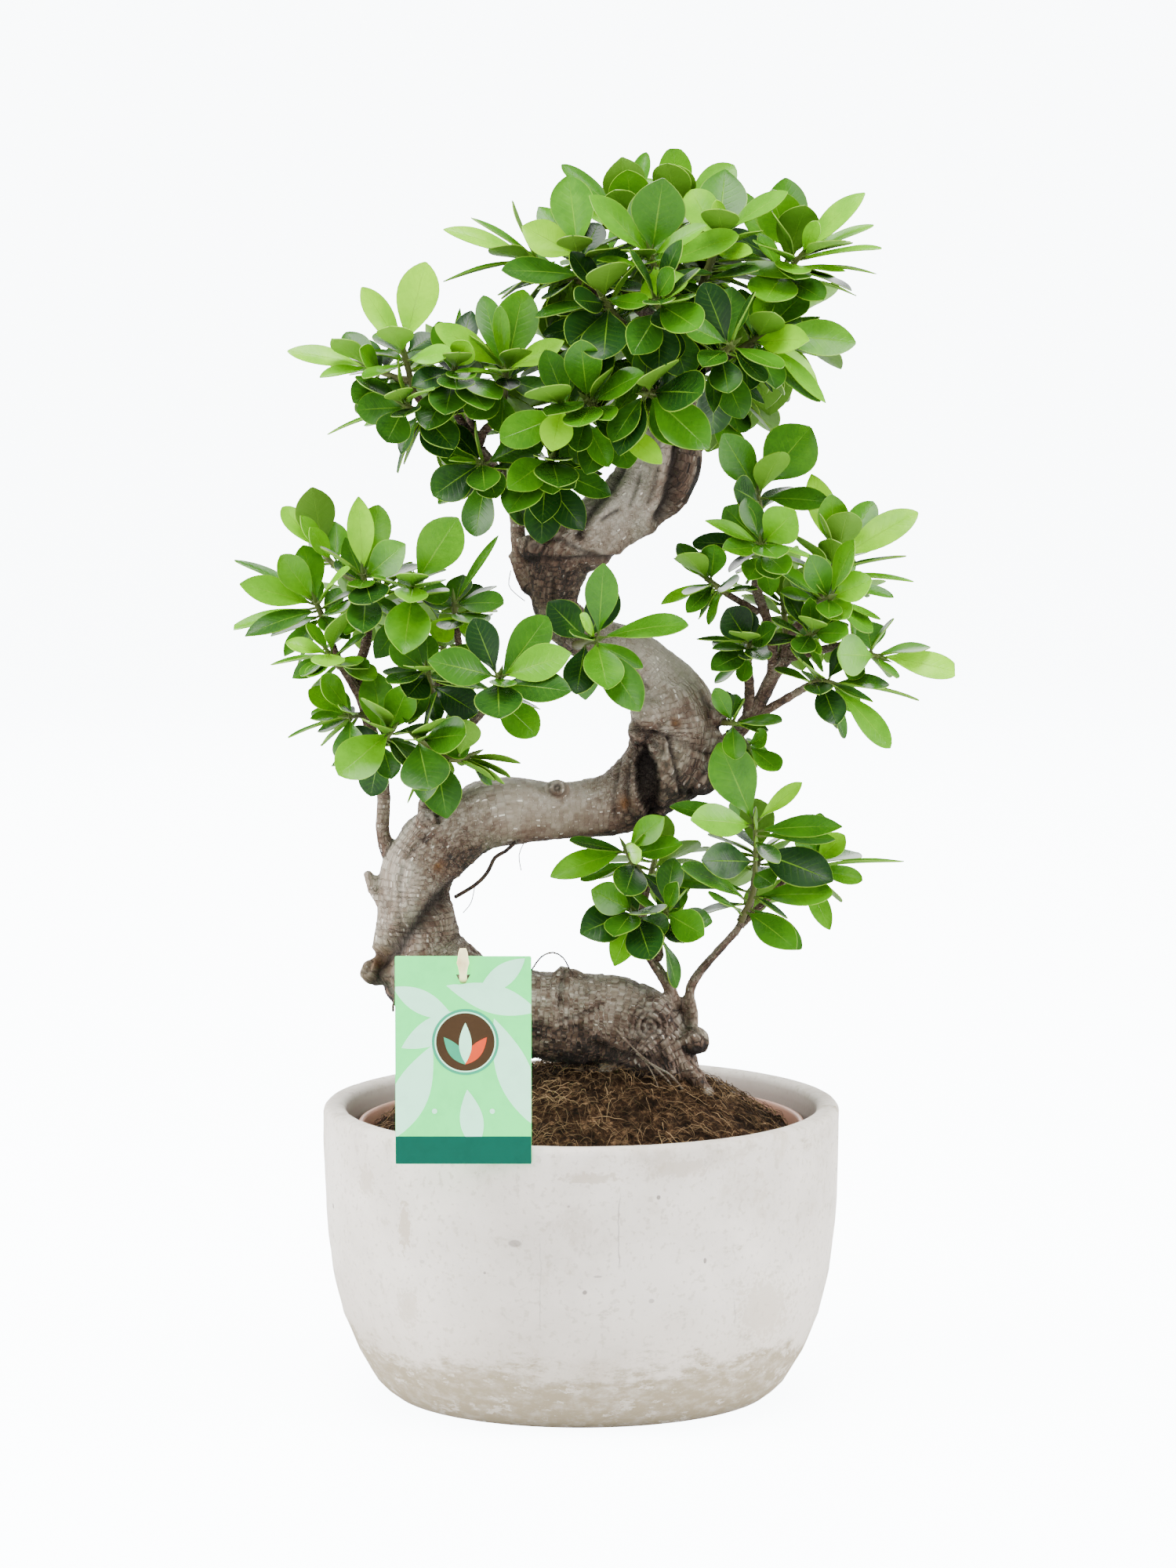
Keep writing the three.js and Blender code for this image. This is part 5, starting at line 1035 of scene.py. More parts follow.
def keep_look(mesh, place, *look):
    """Keeps each point's place on the straight limb, and its paleness, roughness, darkness and amber; on the
    bark the paleness holds painted light and painted shade, and the darkness is painted shade.
    """
    layer = mesh.attributes.new("bark_place", "FLOAT_VECTOR", "POINT")
    layer.data.foreach_set("vector", (place * MM).astype(np.float32).ravel())
    layer = mesh.attributes.new("bark_look", "FLOAT_COLOR", "POINT")
    layer.data.foreach_set("color", np.stack(look, axis=1).astype(np.float32).ravel())


# Loose root hairs and dry roots on the trunk: (line of (x, y, z), radius, paleness).
ROOT_HAIRS = [
    ([(-31, -14, 282), (-38, -16, 276), (-43, -16, 273), (-47, -14, 265), (-53, -15, 259), (-63, -16, 253)],
     1.0, 0.1),
    ([(-25, -24, 217), (-20, -24, 224), (-14, -22, 226), (-9, -20, 223), (-6, -16, 217)], 0.42, 0.1),
    ([(-94, -23, 211), (-93, -23, 203), (-94, -21, 199), (-94, -20, 196)], 0.6, 0.15),
    ([(-28, -12, 281), (-31, -14, 274), (-30, -12, 266)], 0.25, 0.15),
    ([(-53, -15, 259), (-55, -14, 250), (-59, -15, 245)], 0.25, 0.15),
    ([(-35, -8, 416), (-36, -9, 409), (-33, -10, 405), (-28, -10, 401)], 0.25, 0.15),
    ([(17, -24, 188), (23, -23, 181), (30, -22, 173), (38, -23, 168), (45, -24, 164), (52, -27, 156)],
     0.55, 0.5),
    ([(20, -24, 184), (28, -24, 176), (36, -24, 169), (44, -26, 161), (48, -30, 154)], 0.4, 0.45),
    ([(28, -20, 176), (34, -23, 168), (38, -28, 160), (39, -33, 152)], 0.35, 0.4),
]
TWIG_PALE = 0.3
TWIG_SCAR_GAP = 7.0


def thin_wood():
    """The thin twigs, swollen at their leaf scars, that the green shoots grow from, and the root hairs."""
    parts = []
    for line in thin_lines:
        line[:, 3] *= 1 + 0.14 * np.cos(run_of(line[:, :3]) * 2 * math.pi / TWIG_SCAR_GAP) ** 8
        parts.append(tube(line, TWIG_SIDES, TWIG_FLUTE))
    tones = [TWIG_PALE] * len(parts) + [tone for _, _, tone in ROOT_HAIRS]
    for line, radius, _ in ROOT_HAIRS:
        parts.append(tube(eased([(*p, radius) for p in line], THICK_STEP), HAIR_SIDES))
    points, faces, owner = joined(parts)
    made = mesh_object("twigs", points * MM, faces)
    none = np.zeros(len(points))
    paleness = np.array(tones)[owner] + 0.12 * noise_at(points, 5, 25, 2)
    keep_look(made.data, points, paleness, none + 0.5, none, none)
    return made


def merged(name, pieces):
    """Several objects joined into the first, which takes the name."""
    bpy.ops.object.select_all(action="DESELECT")
    for piece in pieces:
        piece.select_set(True)
    bpy.context.view_layer.objects.active = pieces[0]
    bpy.ops.object.join()
    pieces[0].name = name
    return pieces[0]


# BARK_DEEP is the deepest bark tone, and it is also laid on as painted shade in the recesses.
BARK_DEEP = (0.016, 0.011, 0.008, 1)
BARK_BROWN = (0.088, 0.050, 0.031, 1)
BARK_GREY = (0.18, 0.138, 0.10, 1)
BARK_PALE = (0.36, 0.32, 0.26, 1)
LICHEN_GREEN = (0.17, 0.17, 0.11, 1)
SCAR_AMBER = (0.13, 0.055, 0.015, 1)
LENTICEL_PALE = (0.66, 0.60, 0.51, 1)
BARK_STRETCH = (0.6, 0.6, 1.5)
BARK_RELIEF = 0.0016


def bark_material():
    """Grey fig bark: brown and wrinkled where it is rough, with lichen, pale dots and amber scars, and the
    painted light and painted shade kept on the mesh.
    """
    bark, shader = new_material("fig_bark", BARK_GREY, 0.8, 0.3)
    tree = bark.node_tree
    look = stored(bark, "bark_look")
    paleness, roughness, darkness = node(tree, "ShaderNodeSeparateColor", Color=look["Color"]).outputs
    place = stored(bark, "bark_place")["Vector"]
    grain = noise_map(place, 420, 6, (0.55, 0.55, 1.5), 0.72)
    mottle = noise_map(place, 130, 6, (1, 1, 1), 0.7)
    flecks = noise_map(place, 1300, 4, (1, 1, 1), 0.6)
    patches = noise_map(place, 34, 4)
    flow = noise_map(place, 24, 5, (1, 1, 1.5), 0.5)
    wrinkles = times(maths("SINE", times(flow, 190)), roughness)
    unrest = plus(times(roughness, 0.75), 0.3)
    # The paleness kept on the mesh holds painted light on upper faces and painted shade on lower ones.
    shade = plus(paleness, times(swayed(0, (grain, 1.3), (mottle, 1.0)), unrest))
    shade = plus(swayed(shade, (patches, 0.5)), times(wrinkles, 0.13))
    color = ramp(shade, (0.05, BARK_DEEP), (0.28, BARK_BROWN), (0.55, BARK_GREY), (0.95, BARK_PALE))
    color = tinted(color, LICHEN_GREEN, mask(patches, 0.5, 0.72), 0.4)
    color = tinted(color, BARK_DEEP, mask(flecks, 0.56, 0.72), unrest, 0.5)
    stretched = node(tree, "ShaderNodeMapping", Vector=place, Scale=BARK_STRETCH).outputs["Vector"]
    cells = node(tree, "ShaderNodeTexVoronoi", Scale=680, Vector=stretched).outputs
    chosen = mask(node(tree, "ShaderNodeSeparateColor", Color=cells["Color"]).outputs["Red"], 0.5, 0.54)
    lenticels = times(mask(minus(0.27, cells["Distance"]), 0, 0.1), chosen, paleness, 1.35)
    color = tinted(color, LENTICEL_PALE, lenticels, 0.9)
    color = tinted(color, SCAR_AMBER, look["Alpha"])
    # The darkness kept on the mesh is painted shade in the furrows, grooves, rings' troughs and hollow.
    color = tinted(color, BARK_DEEP, darkness)
    feed(shader.inputs["Base Color"], color)
    feed(shader.inputs["Roughness"], minus(0.92, times(paleness, 0.28)))
    height = plus(times(grain, plus(roughness, 0.25)), times(flecks, -0.35))
    bumped(shader, plus(height, plus(times(wrinkles, 0.3), times(lenticels, 0.3))), BARK_RELIEF)
    return bark


# The bark's paleness carries painted light on upper faces and painted shade on lower ones; its darkness is
# painted shade in the furrows, grooves, rings and hollow.
keep_look(bark_mesh, straight, pale + 0.2 * (ridges - 0.7) + 0.15 * flakes, rough, painted_shade,
          amber_at(spots, front))
wood = smooth(merged("trunk_wood", [wood, thin_wood()]))
wood.data.materials.clear()
wood.data.materials.append(bark_material())
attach(wood, "root")
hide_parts("trunk")

# Label stake
# A beige moulded plastic stake pushed into the soil behind the card; it leans forward, narrows where it
# passes through the card's hole, and ends in a small barbed tongue that holds the card.
LABEL_X = -57
# Sections from the foot in the soil to the tip: (y, z, width, thickness).
STAKE_SECTIONS = [
    (-72, 104, 5, 2), (-84, 136, 6.5, 2.2), (-121.5, 216, 6.5, 2.2), (-125.6, 226, 5, 2),
    (-128.6, 230.6, 3.8, 1.8), (-131.6, 233.4, 3.8, 1.8), (-132.6, 236.5, 5, 1.8), (-132.8, 238.4, 6.2, 1.8),
    (-132.8, 240, 5.4, 1.8), (-132.8, 243.4, 4.4, 1.8), (-132.8, 245.4, 3, 1.6),
]
STAKE_BEIGE = (0.97, 0.89, 0.45, 1)
STAKE_FLOW = (0.74, 0.58, 0.27, 1)
STAKE_STEP = 1.5
STAKE_SIDES = 20
STAKE_SQUARENESS = 0.45


def stake_ring(y, z, width, thick, lean_y, lean_z):
    """A flat, round-cornered section across the stake's own direction."""
    angles = 2 * math.pi * np.arange(STAKE_SIDES) / STAKE_SIDES
    waves = np.array([np.cos(angles), np.sin(angles)])
    side, flat = np.sign(waves) * np.abs(waves) ** STAKE_SQUARENESS / 2
    flat = flat * thick
    return np.stack([LABEL_X + side * width, y + lean_z * flat, z - lean_y * flat], axis=1)


def stake_blade():
    """The stake from its foot to its barbed tongue."""
    line = eased(STAKE_SECTIONS, STAKE_STEP)
    lean = np.gradient(line[:, :2], axis=0)
    lean /= norm(lean, axis=1)[:, None]
    points, faces = lofted([stake_ring(*row) for row in np.column_stack([line, lean])])
    return smooth(mesh_object("stake_blade", points * MM, faces))


def stake_plastic():
    """Beige plastic with faint flow marks."""
    plastic, shader = new_material("stake_plastic", STAKE_BEIGE, 0.42)
    _, flow = grained(own_place(plastic), 800)
    feed(shader.inputs["Base Color"], tinted(STAKE_BEIGE, STAKE_FLOW, mask(flow, 0.4, 0.7)))
    bumped(shader, flow, 0.0003, 0.4)
    return plastic


stake = stake_blade()
stake.data.materials.append(stake_plastic())
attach(stake, "root")
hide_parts("label_stake")

# Label card
# A coated card punched with one hole, hung on the stake's tongue. It is printed in pale greens with
# plain leaf shapes, a darker band along its foot and a round badge with a sprig.
CARD_HALF = 33
CARD_BOTTOM = 139
CARD_TOP = 241
CARD_FRONT_Y = -129.2
CARD_BACK_Y = -128.4
CARD_CORNER = 0.8
CARD_HOLE = np.array((0, 231))
CARD_HOLE_RADIUS = 3.6
# Steps of the sheet from its hole at 0 to its edge at 1.
CARD_STEPS = (0, 0.08, 0.35, 0.7, 1)
INK_PROUD = 0.015
BAND_TOP = 152.5
BADGE = (1, 199)
SPRIG_FOOT = (1, 188)
DOT_HEIGHT = 165
# Where the prints end, just short of the card's edges: (axis, limit, side that is kept).
PRINT_LIMITS = [
    (0, 0.1 - CARD_HALF, 1), (0, CARD_HALF - 0.1, -1), (1, CARD_BOTTOM + 0.1, 1), (1, CARD_TOP - 0.1, -1),
]
HOLE_MARGIN = 0.4
CARD_INKS = {
    "card_green": (0.07, 0.92, 0.2), "card_pale": (0.47, 1.0, 0.67), "card_band": (0.001, 0.072, 0.046),
    "card_badge": (0.045, 0.024, 0.010), "card_ring": (0.02, 0.33, 0.17), "card_orange": (0.60, 0.06, 0.015),
}


def arc(x, z, radius, start, end, count):
    """Points (x, z) on an arc; the angles are in degrees."""
    turns = np.radians(np.linspace(start, end, count + 1))
    return np.stack([x + radius * np.cos(turns), z + radius * np.sin(turns)], axis=1)


def card_ring(share, y):
    """The card's punched hole at share 0 and its rounded edge at share 1, anticlockwise from the front."""
    side, low, high = CARD_HALF - CARD_CORNER, CARD_BOTTOM + CARD_CORNER, CARD_TOP - CARD_CORNER
    corners = ((side, low, -90), (side, high, 0), (-side, high, 90), (-side, low, 180))
    edge = np.concatenate([arc(x, z, CARD_CORNER, turn, turn + 90, 4) for x, z, turn in corners])
    out = edge - CARD_HOLE
    hole = out / norm(out, axis=1)[:, None] * CARD_HOLE_RADIUS
    flat = CARD_HOLE + hole + (out - hole) * share
    return np.stack([LABEL_X + flat[:, 0], np.full(len(flat), y), flat[:, 1]], axis=1)


def leaf_print(x, z, length, width, turn, count=14):
    """The edge of a plain printed leaf from its foot at (x, z); turn is in degrees from upright."""
    t = np.arange(count + 1) / count
    half = width / 2 * np.sin(math.pi * t) ** 0.9 * (1 - 0.25 * t)
    side = np.concatenate([half, -half[-2:0:-1]])
    up = length * np.concatenate([t, t[-2:0:-1]])
    cos, sin = math.cos(math.radians(turn)), math.sin(math.radians(turn))
    return np.stack([x + side * cos - up * sin, z + side * sin + up * cos], axis=1)


def kept_on_card(edge):
    """A printed edge cut off at the card's own edges and kept clear of its hole."""
    edge = list(edge)
    for axis, limit, way in PRINT_LIMITS:
        kept = []
        for p, q in zip(edge, edge[1:] + edge[:1]):
            p_in, q_in = way * (p[axis] - limit) >= 0, way * (q[axis] - limit) >= 0
            kept += [p] if p_in else []
            kept += [p + (q - p) * (limit - p[axis]) / (q[axis] - p[axis])] if p_in != q_in else []
        edge = kept
    out = np.array(edge) - CARD_HOLE
    away = norm(out, axis=1)[:, None]
    return CARD_HOLE + out * np.maximum(1, (CARD_HOLE_RADIUS + HOLE_MARGIN) / away)


# Plain leaves behind the badge: (foot x, foot z, length, width, turn in degrees from upright).
PALE_LEAVES = [
    (-36, 150, 52, 20, -24), (34, 158, 56, 19, 20), (-30, 196, 40, 15, -62), (36, 214, 46, 16, 74),
    (-34, 226, 34, 13, -118), (6, 146, 30, 13, 8), (30, 240, 30, 12, 128),
]
# Printed shapes in the order of printing: (ink, edge in card coordinates).
band = [(-CARD_HALF, CARD_BOTTOM), (CARD_HALF, CARD_BOTTOM), (CARD_HALF, BAND_TOP), (-CARD_HALF, BAND_TOP)]
PRINTS = [("card_pale", leaf_print(*leaf)) for leaf in PALE_LEAVES] + [("card_band", np.array(band))]
for ink, radius in (("card_ring", 16.2), ("card_pale", 14.9), ("card_badge", 14.2)):
    PRINTS.append((ink, arc(*BADGE, radius, 0, 355, 56)))
PRINTS += [
    ("card_orange", leaf_print(*SPRIG_FOOT, 17, 7, -38)), ("card_ring", leaf_print(*SPRIG_FOOT, 17, 7, 38)),
    ("card_pale", leaf_print(1, 188.5, 20, 7, 0)), ("card_pale", arc(-14, DOT_HEIGHT, 1.3, 0, 340, 18)),
    ("card_pale", arc(14, DOT_HEIGHT, 1.3, 0, 340, 18)),
]


def punched_sheet():
    """The plain card with its hole, front and back."""
    rings = [card_ring(share, CARD_FRONT_Y) for share in reversed(CARD_STEPS)]
    rings += [card_ring(share, CARD_BACK_Y) for share in CARD_STEPS]
    points, faces = lofted(rings, closed=True)
    return mesh_object("card_sheet", points * MM, faces)


def printed_shapes():
    """The prints as flat faces, each just proud of the one before."""
    parts = []
    for number, (_, edge) in enumerate(PRINTS):
        x, z = kept_on_card(edge).T
        proud = CARD_FRONT_Y - INK_PROUD * (number + 1)
        parts.append((np.stack([LABEL_X + x, np.full(len(x), proud), z], axis=1), [tuple(range(len(x)))]))
    points, faces, _ = joined(parts)
    made = mesh_object("prints", points * MM, faces)
    made.data.polygons.foreach_set("material_index", [list(CARD_INKS).index(ink) for ink, _ in PRINTS])
    return made


def coated_ink(ink):
    """One printed colour on coated paper, slightly worn."""
    color = CARD_INKS[ink]
    coated, shader = new_material(ink, color, 0.5, 0.1)
    paper, blotches = grained(own_place(coated), 900)
    worn = (*[0.93 * level for level in color], 1)
    feed(shader.inputs["Base Color"], tinted((*color, 1), worn, mask(blotches, 0.4, 0.75)))
    bumped(shader, paper, 0.00008, 0.5)
    return coated


card, prints = punched_sheet(), printed_shapes()
for ink in CARD_INKS:
    coated = coated_ink(ink)
    card.data.materials.append(coated)
    prints.data.materials.append(coated)
card = merged("card_sheet", [card, prints])
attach(card, "root")
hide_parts("label_card")

# Leafy sprays
# Young green shoots with small pointed buds, each ending a woody twig, and their thick glossy leaves,
# which grow from the shoots in a spiral on short stalks; old leaves are dark and the newest are lime.

# Sprays by their place, each a list of shoots. A shoot is its path (x, y, z), the number and size of its
# filling leaves, their tone from dark 0 to young 100, and its measured leaves as (percent of the path,
# tip x, tip y, tip z, width, turn of the upper face to the front in degrees, tone).
SPRAYS = {
    "crown": [
        [([(40, -4, 554), (34, -14, 574)], 2, 34, 35, [
            (95, 40, -22, 609, 26, 85, 35), (85, 6, -18, 601, 16, 40, 55), (50, 10, -30, 572, 10, 25, 50),
            (70, 43, -38, 554, 23, 70, 80), (60, 79, -26, 584, 17, 45, 55), (90, 60, -32, 588, 9, 60, 60)])],
        [([(47, 14, 560), (47, 20, 577), (49, 24, 593)], 3, 34, 50, [
            (95, 46, 22, 624, 16, 80, 55), (90, 75, 34, 614, 16, 60, 50)]),
         ([(47, 14, 566), (31, 17, 579), (21, 20, 591)], 2, 32, 45, [
            (90, -8, 28, 614, 9, 45, 50), (80, 23, 6, 612, 20, 80, 45), (60, 1, 26, 597, 12, 50, 70),
            (95, 32, 34, 620, 9, 60, 40)])],
        [([(5, -8, 558), (0, -10, 566), (-2, -12, 574)], 1, 32, 20, [
            (90, -27, -26, 587, 17, 75, 90), (80, -6, 6, 609, 21, 80, 50), (70, 8, -4, 587, 13, 60, 15),
            (50, 22, -2, 572, 12, 60, 10), (30, -37, -30, 566, 16, 50, 20), (85, -20, 12, 594, 13, 60, 50)]),
         ([(3, -8, 559), (-11, 6, 562), (-26, 12, 570)], 2, 32, 30, [
            (95, -67, 6, 585, 11, 40, 85), (80, -53, 22, 588, 10, 20, 45), (98, -66, 0, 560, 5, 5, 35),
            (40, -34, 26, 572, 10, 20, 35), (50, -40, 18, 552, 9, 20, 25)])],
        [([(56, 0, 546), (70, -4, 585)], 2, 34, 40, [
            (95, 100, -8, 603, 12, 40, 55), (85, 55, 4, 603, 17, 80, 75), (98, 67, -12, 599, 7, 60, 100),
            (35, 86, -30, 566, 13, 30, 10), (70, 83, -24, 575, 10, 60, 85),
            (50, 110, -20, 563, 13, 30, 50)])],
        [([(81, 12, 544), (95, 16, 558), (106, 18, 573)], 2, 34, 35, [
            (95, 95, 12, 602, 22, 80, 50), (90, 102, 26, 607, 20, 70, 45), (80, 74, 8, 582, 16, 35, 15),
            (70, 80, 28, 602, 12, 60, 40)]),
         ([(88, 14, 551), (101, 2, 563), (110, -6, 574)], 1, 30, 50, [
            (95, 138, -4, 602, 13, 40, 80), (90, 143, 6, 586, 9, 20, 60), (85, 146, -14, 576, 9, 15, 75),
            (70, 144, 0, 564, 3, 5, 40), (50, 135, 10, 553, 3, 5, 35), (98, 116, -22, 589, 8, 70, 90),
            (50, 118, -26, 553, 14, 50, 35), (70, 129, -22, 565, 5, 30, 70),
            (30, 88, -26, 543, 10, 60, 50)])],
        [([(75, -14, 524), (91, -20, 535)], 2, 32, 30, [
            (90, 133, -22, 531, 20, 55, 50), (60, 110, -38, 533, 16, 60, 80), (40, 118, -30, 502, 12, 30, 40),
            (90, 116, -6, 508, 12, 50, 80), (80, 126, -14, 496, 9, 30, 65), (30, 94, -20, 507, 4, 30, 10),
            (20, 120, 4, 542, 10, 20, 20)]),
         ([(79, -15, 526), (92, 8, 531), (106, 26, 538)], 5, 32, 40, [])],
        [([(63, -24, 520), (75, -38, 531)], 1, 32, 15, [
            (90, 51, -50, 541, 13, 60, 30), (50, 72, -54, 509, 16, 85, 20), (30, 79, -38, 496, 16, 80, 15),
            (80, 61, -44, 559, 17, 70, 15), (20, 65, -46, 500, 8, 60, 10), (20, 89, -28, 502, 6, 60, 15)])],
        [([(43, -22, 538), (36, -44, 554)], 3, 32, 15, [
            (80, 56, -68, 541, 20, 60, 30), (60, 26, -62, 529, 18, 85, 10), (95, 45, -60, 568, 12, 60, 20)])],
        [([(23, -12, 534), (10, -30, 554)], 2, 32, 12, [
            (90, 31, -52, 551, 13, 45, 35), (60, -5, -46, 532, 22, 75, 8), (80, -2, -48, 553, 16, 60, 10),
            (40, -17, -20, 534, 12, 50, 8)])],
        [([(14, -18, 491), (2, -36, 504)], 1, 32, 30, [
            (95, 0, -46, 532, 18, 88, 30), (80, 29, -54, 517, 16, 50, 30), (60, 14, -60, 496, 13, 60, 45)]),
         ([(9, -26, 495), (-2, -30, 495), (-10, -34, 501)], 1, 32, 30, [
            (95, -14, -52, 481, 16, 88, 100), (80, -17, -36, 526, 14, 70, 30),
            (70, -38, -44, 485, 18, 75, 50), (40, 13, -42, 472, 12, 60, 30), (30, -2, -50, 480, 12, 60, 25)]),
         ([(13, -20, 493), (15, -26, 491)], 0, 32, 30, [
            (95, 38, -46, 474, 12, 60, 85), (60, 23, -34, 471, 16, 70, 20)])],
        [([(41, -22, 506), (30, -44, 507)], 1, 34, 20, [
            (80, 65, -68, 479, 22, 60, 35), (60, 59, -64, 509, 24, 65, 15), (90, 33, -56, 530, 14, 85, 25),
            (97, 4, -60, 497, 18, 50, 20), (40, 53, -40, 519, 16, 60, 12)])],
        [([(-21, -10, 458), (-14, -26, 475)], 1, 30, 20, [
            (90, -35, -46, 461, 17, 75, 40), (70, -14, -44, 458, 14, 70, 30), (80, -4, -44, 461, 13, 80, 10),
            (50, -28, -26, 453, 16, 75, 15), (30, 0, -28, 440, 16, 80, 10), (60, 13, -20, 456, 13, 60, 10)])],
        [([(23, 40, 548), (12, 60, 571)], 8, 34, 45, [])],
        [([(62, 44, 548), (69, 54, 559), (74, 62, 572)], 8, 34, 45, [])],
        [([(43, 46, 532), (42, 70, 555)], 8, 34, 30, [])],
        [([(15, 36, 510), (5, 48, 515), (-5, 56, 521)], 8, 34, 25, [])],
        [([(65, 36, 502), (83, 56, 516)], 8, 34, 25, [])],
    ],
    "upper_left": [
        [([(-83, -18, 506), (-88, -22, 528)], 1, 30, 50, [
            (95, -77, -26, 568, 20, 85, 95), (90, -107, -24, 556, 13, 50, 85),
            (70, -65, -38, 526, 12, 50, 75), (85, -73, -10, 533, 13, 40, 15)]),
         ([(-85, -18, 511), (-96, -13, 514), (-106, -12, 518)], 1, 30, 40, [
            (95, -143, -14, 525, 13, 40, 95), (90, -127, -24, 515, 10, 25, 75),
            (60, -111, 4, 530, 12, 40, 20), (70, -108, -30, 527, 12, 60, 40),
            (40, -111, -30, 502, 17, 60, 20)])],
        [([(-64, -18, 505), (-62, -28, 520)], 2, 30, 25, [
            (90, -56, -42, 531, 13, 70, 80), (80, -82, -40, 511, 14, 50, 8), (60, -70, -12, 539, 12, 60, 30),
            (40, -69, -46, 500, 16, 60, 15), (70, -55, 2, 543, 12, 60, 15), (30, -60, 12, 548, 4, 30, 35)])],
        [([(-76, -20, 493), (-81, -27, 497), (-88, -32, 501)], 1, 30, 20, [
            (90, -95, -42, 484, 17, 80, 15), (80, -112, -30, 498, 16, 50, 20), (95, -72, -50, 511, 9, 30, 45),
            (70, -129, -12, 484, 5, 15, 45), (60, -107, -6, 489, 8, 50, 50),
            (30, -62, -36, 497, 13, 40, 15)])],
        [([(-38, -18, 504), (-37, -22, 518)], 1, 30, 20, [
            (95, -70, -26, 538, 13, 45, 80), (90, -10, -32, 531, 11, 50, 90), (85, -29, -16, 554, 21, 85, 40),
            (70, -48, -2, 550, 13, 70, 30), (80, -40, -22, 547, 8, 60, 50), (60, -17, -36, 506, 13, 50, 20),
            (50, -15, -14, 529, 9, 40, 15), (70, -60, -46, 518, 6, 20, 40),
            (30, -54, -42, 496, 17, 60, 30)])],
        [([(-44, -16, 466), (-50, -28, 472)], 0, 30, 20, [
            (90, -71, -46, 458, 19, 75, 10), (80, -42, -46, 456, 15, 80, 10), (50, -70, -18, 478, 14, 60, 45),
            (95, -64, -38, 474, 5, 30, 50), (70, -20, -30, 483, 17, 60, 12)])],
        [([(-56, 12, 492), (-59, 24, 500), (-60, 32, 510)], 7, 32, 30, [])],
        [([(-39, 12, 480), (-30, 34, 500)], 7, 32, 25, [])],
    ],
    "left": [
        [([(-127, 4, 386), (-132, -6, 400)], 1, 30, 40, [
            (95, -174, 2, 422, 8, 20, 30), (90, -167, -20, 410, 15, 60, 65), (80, -173, -10, 387, 9, 30, 70),
            (70, -164, -26, 387, 13, 40, 30), (90, -116, -30, 419, 11, 40, 75),
            (95, -148, -12, 423, 15, 70, 60), (50, -116, -34, 399, 13, 50, 30),
            (30, -121, 6, 405, 9, 50, 30)])],
        [([(-105, -12, 398), (-108, -22, 416)], 1, 30, 30, [
            (95, -110, -22, 452, 13, 80, 85), (90, -101, -8, 447, 17, 80, 50),
            (85, -88, -30, 431, 17, 70, 45), (80, -103, -52, 405, 20, 75, 10),
            (50, -107, -48, 388, 17, 70, 8), (40, -117, -46, 381, 17, 75, 8),
            (60, -117, -30, 433, 12, 70, 40)]),
         ([(-107, -18, 410), (-118, -6, 414), (-129, 2, 424)], 2, 30, 50, [
            (95, -148, 6, 445, 11, 60, 85), (90, -139, -6, 442, 9, 40, 70), (70, -123, 14, 437, 12, 60, 50),
            (80, -134, -12, 437, 9, 60, 70)])],
        [([(-84, -22, 394), (-83, -30, 412)], 1, 30, 40, [
            (95, -62, -34, 443, 22, 75, 50), (90, -84, -60, 406, 16, 85, 65), (70, -87, -58, 382, 22, 88, 40),
            (60, -66, -24, 407, 12, 60, 30), (30, -101, -30, 376, 13, 80, 20)])],
        [([(-62, -18, 389), (-63, -18, 401)], 0, 30, 30, [
            (95, -42, -14, 432, 5, 30, 45), (90, -40, -38, 403, 14, 50, 15), (80, -78, -34, 403, 11, 40, 15),
            (70, -51, 2, 407, 12, 50, 20), (50, -72, -26, 384, 13, 80, 85),
            (40, -53, -24, 389, 10, 80, 85)])],
        [([(-120, -20, 370), (-125, -26, 377)], 1, 28, 50, [
            (90, -145, -26, 382, 10, 40, 80), (80, -153, -8, 369, 5, 20, 50),
            (70, -142, -28, 365, 11, 40, 35), (95, -125, -50, 373, 16, 70, 80)])],
        [([(-108, -20, 345), (-116, -30, 346)], 0, 28, 40, [
            (90, -134, -28, 358, 13, 45, 60), (80, -127, -40, 366, 13, 50, 45),
            (70, -144, -22, 335, 5, 10, 35), (50, -129, -14, 330, 5, 20, 30),
            (60, -117, -52, 352, 10, 60, 40)])],
        [([(-102, -20, 328), (-98, -30, 333), (-93, -38, 340)], 1, 30, 30, [
            (95, -118, -58, 321, 21, 70, 60), (70, -117, -32, 332, 16, 60, 10),
            (80, -86, -50, 361, 16, 70, 45), (50, -103, -14, 366, 17, 60, 40),
            (40, -94, -34, 316, 12, 60, 20)])],
        [([(-68, -32, 326), (-82, -48, 338)], 0, 30, 20, [
            (90, -75, -64, 315, 24, 80, 20), (80, -58, -60, 341, 20, 60, 20),
            (40, -56, -30, 331, 13, 60, 30)]),
         ([(-72, -36, 329), (-62, -39, 325), (-53, -30, 327)], 0, 28, 40, [
            (80, -44, -10, 311, 10, 40, 40), (90, -40, 4, 312, 8, 50, 60), (50, -59, -20, 321, 5, 40, 50),
            (40, -49, -20, 338, 12, 60, 35)])],
        [([(-74, -28, 358), (-76, -42, 371)], 1, 30, 20, [
            (90, -93, -42, 382, 14, 60, 35), (80, -85, -52, 359, 16, 70, 8), (50, -53, -22, 363, 16, 60, 8),
            (30, -50, -44, 349, 17, 60, 6)])],
        [([(-106, 14, 385), (-102, 36, 403)], 8, 32, 35, [])],
        [([(-71, 10, 361), (-68, 36, 382)], 8, 32, 25, [])],
    ],
    "centre": [
        [([(-45, -34, 352), (-40, -50, 369)], 0, 32, 30, [
            (90, -7, -62, 380, 18, 65, 60), (90, -73, -64, 377, 19, 65, 40), (80, -40, -80, 352, 23, 80, 20),
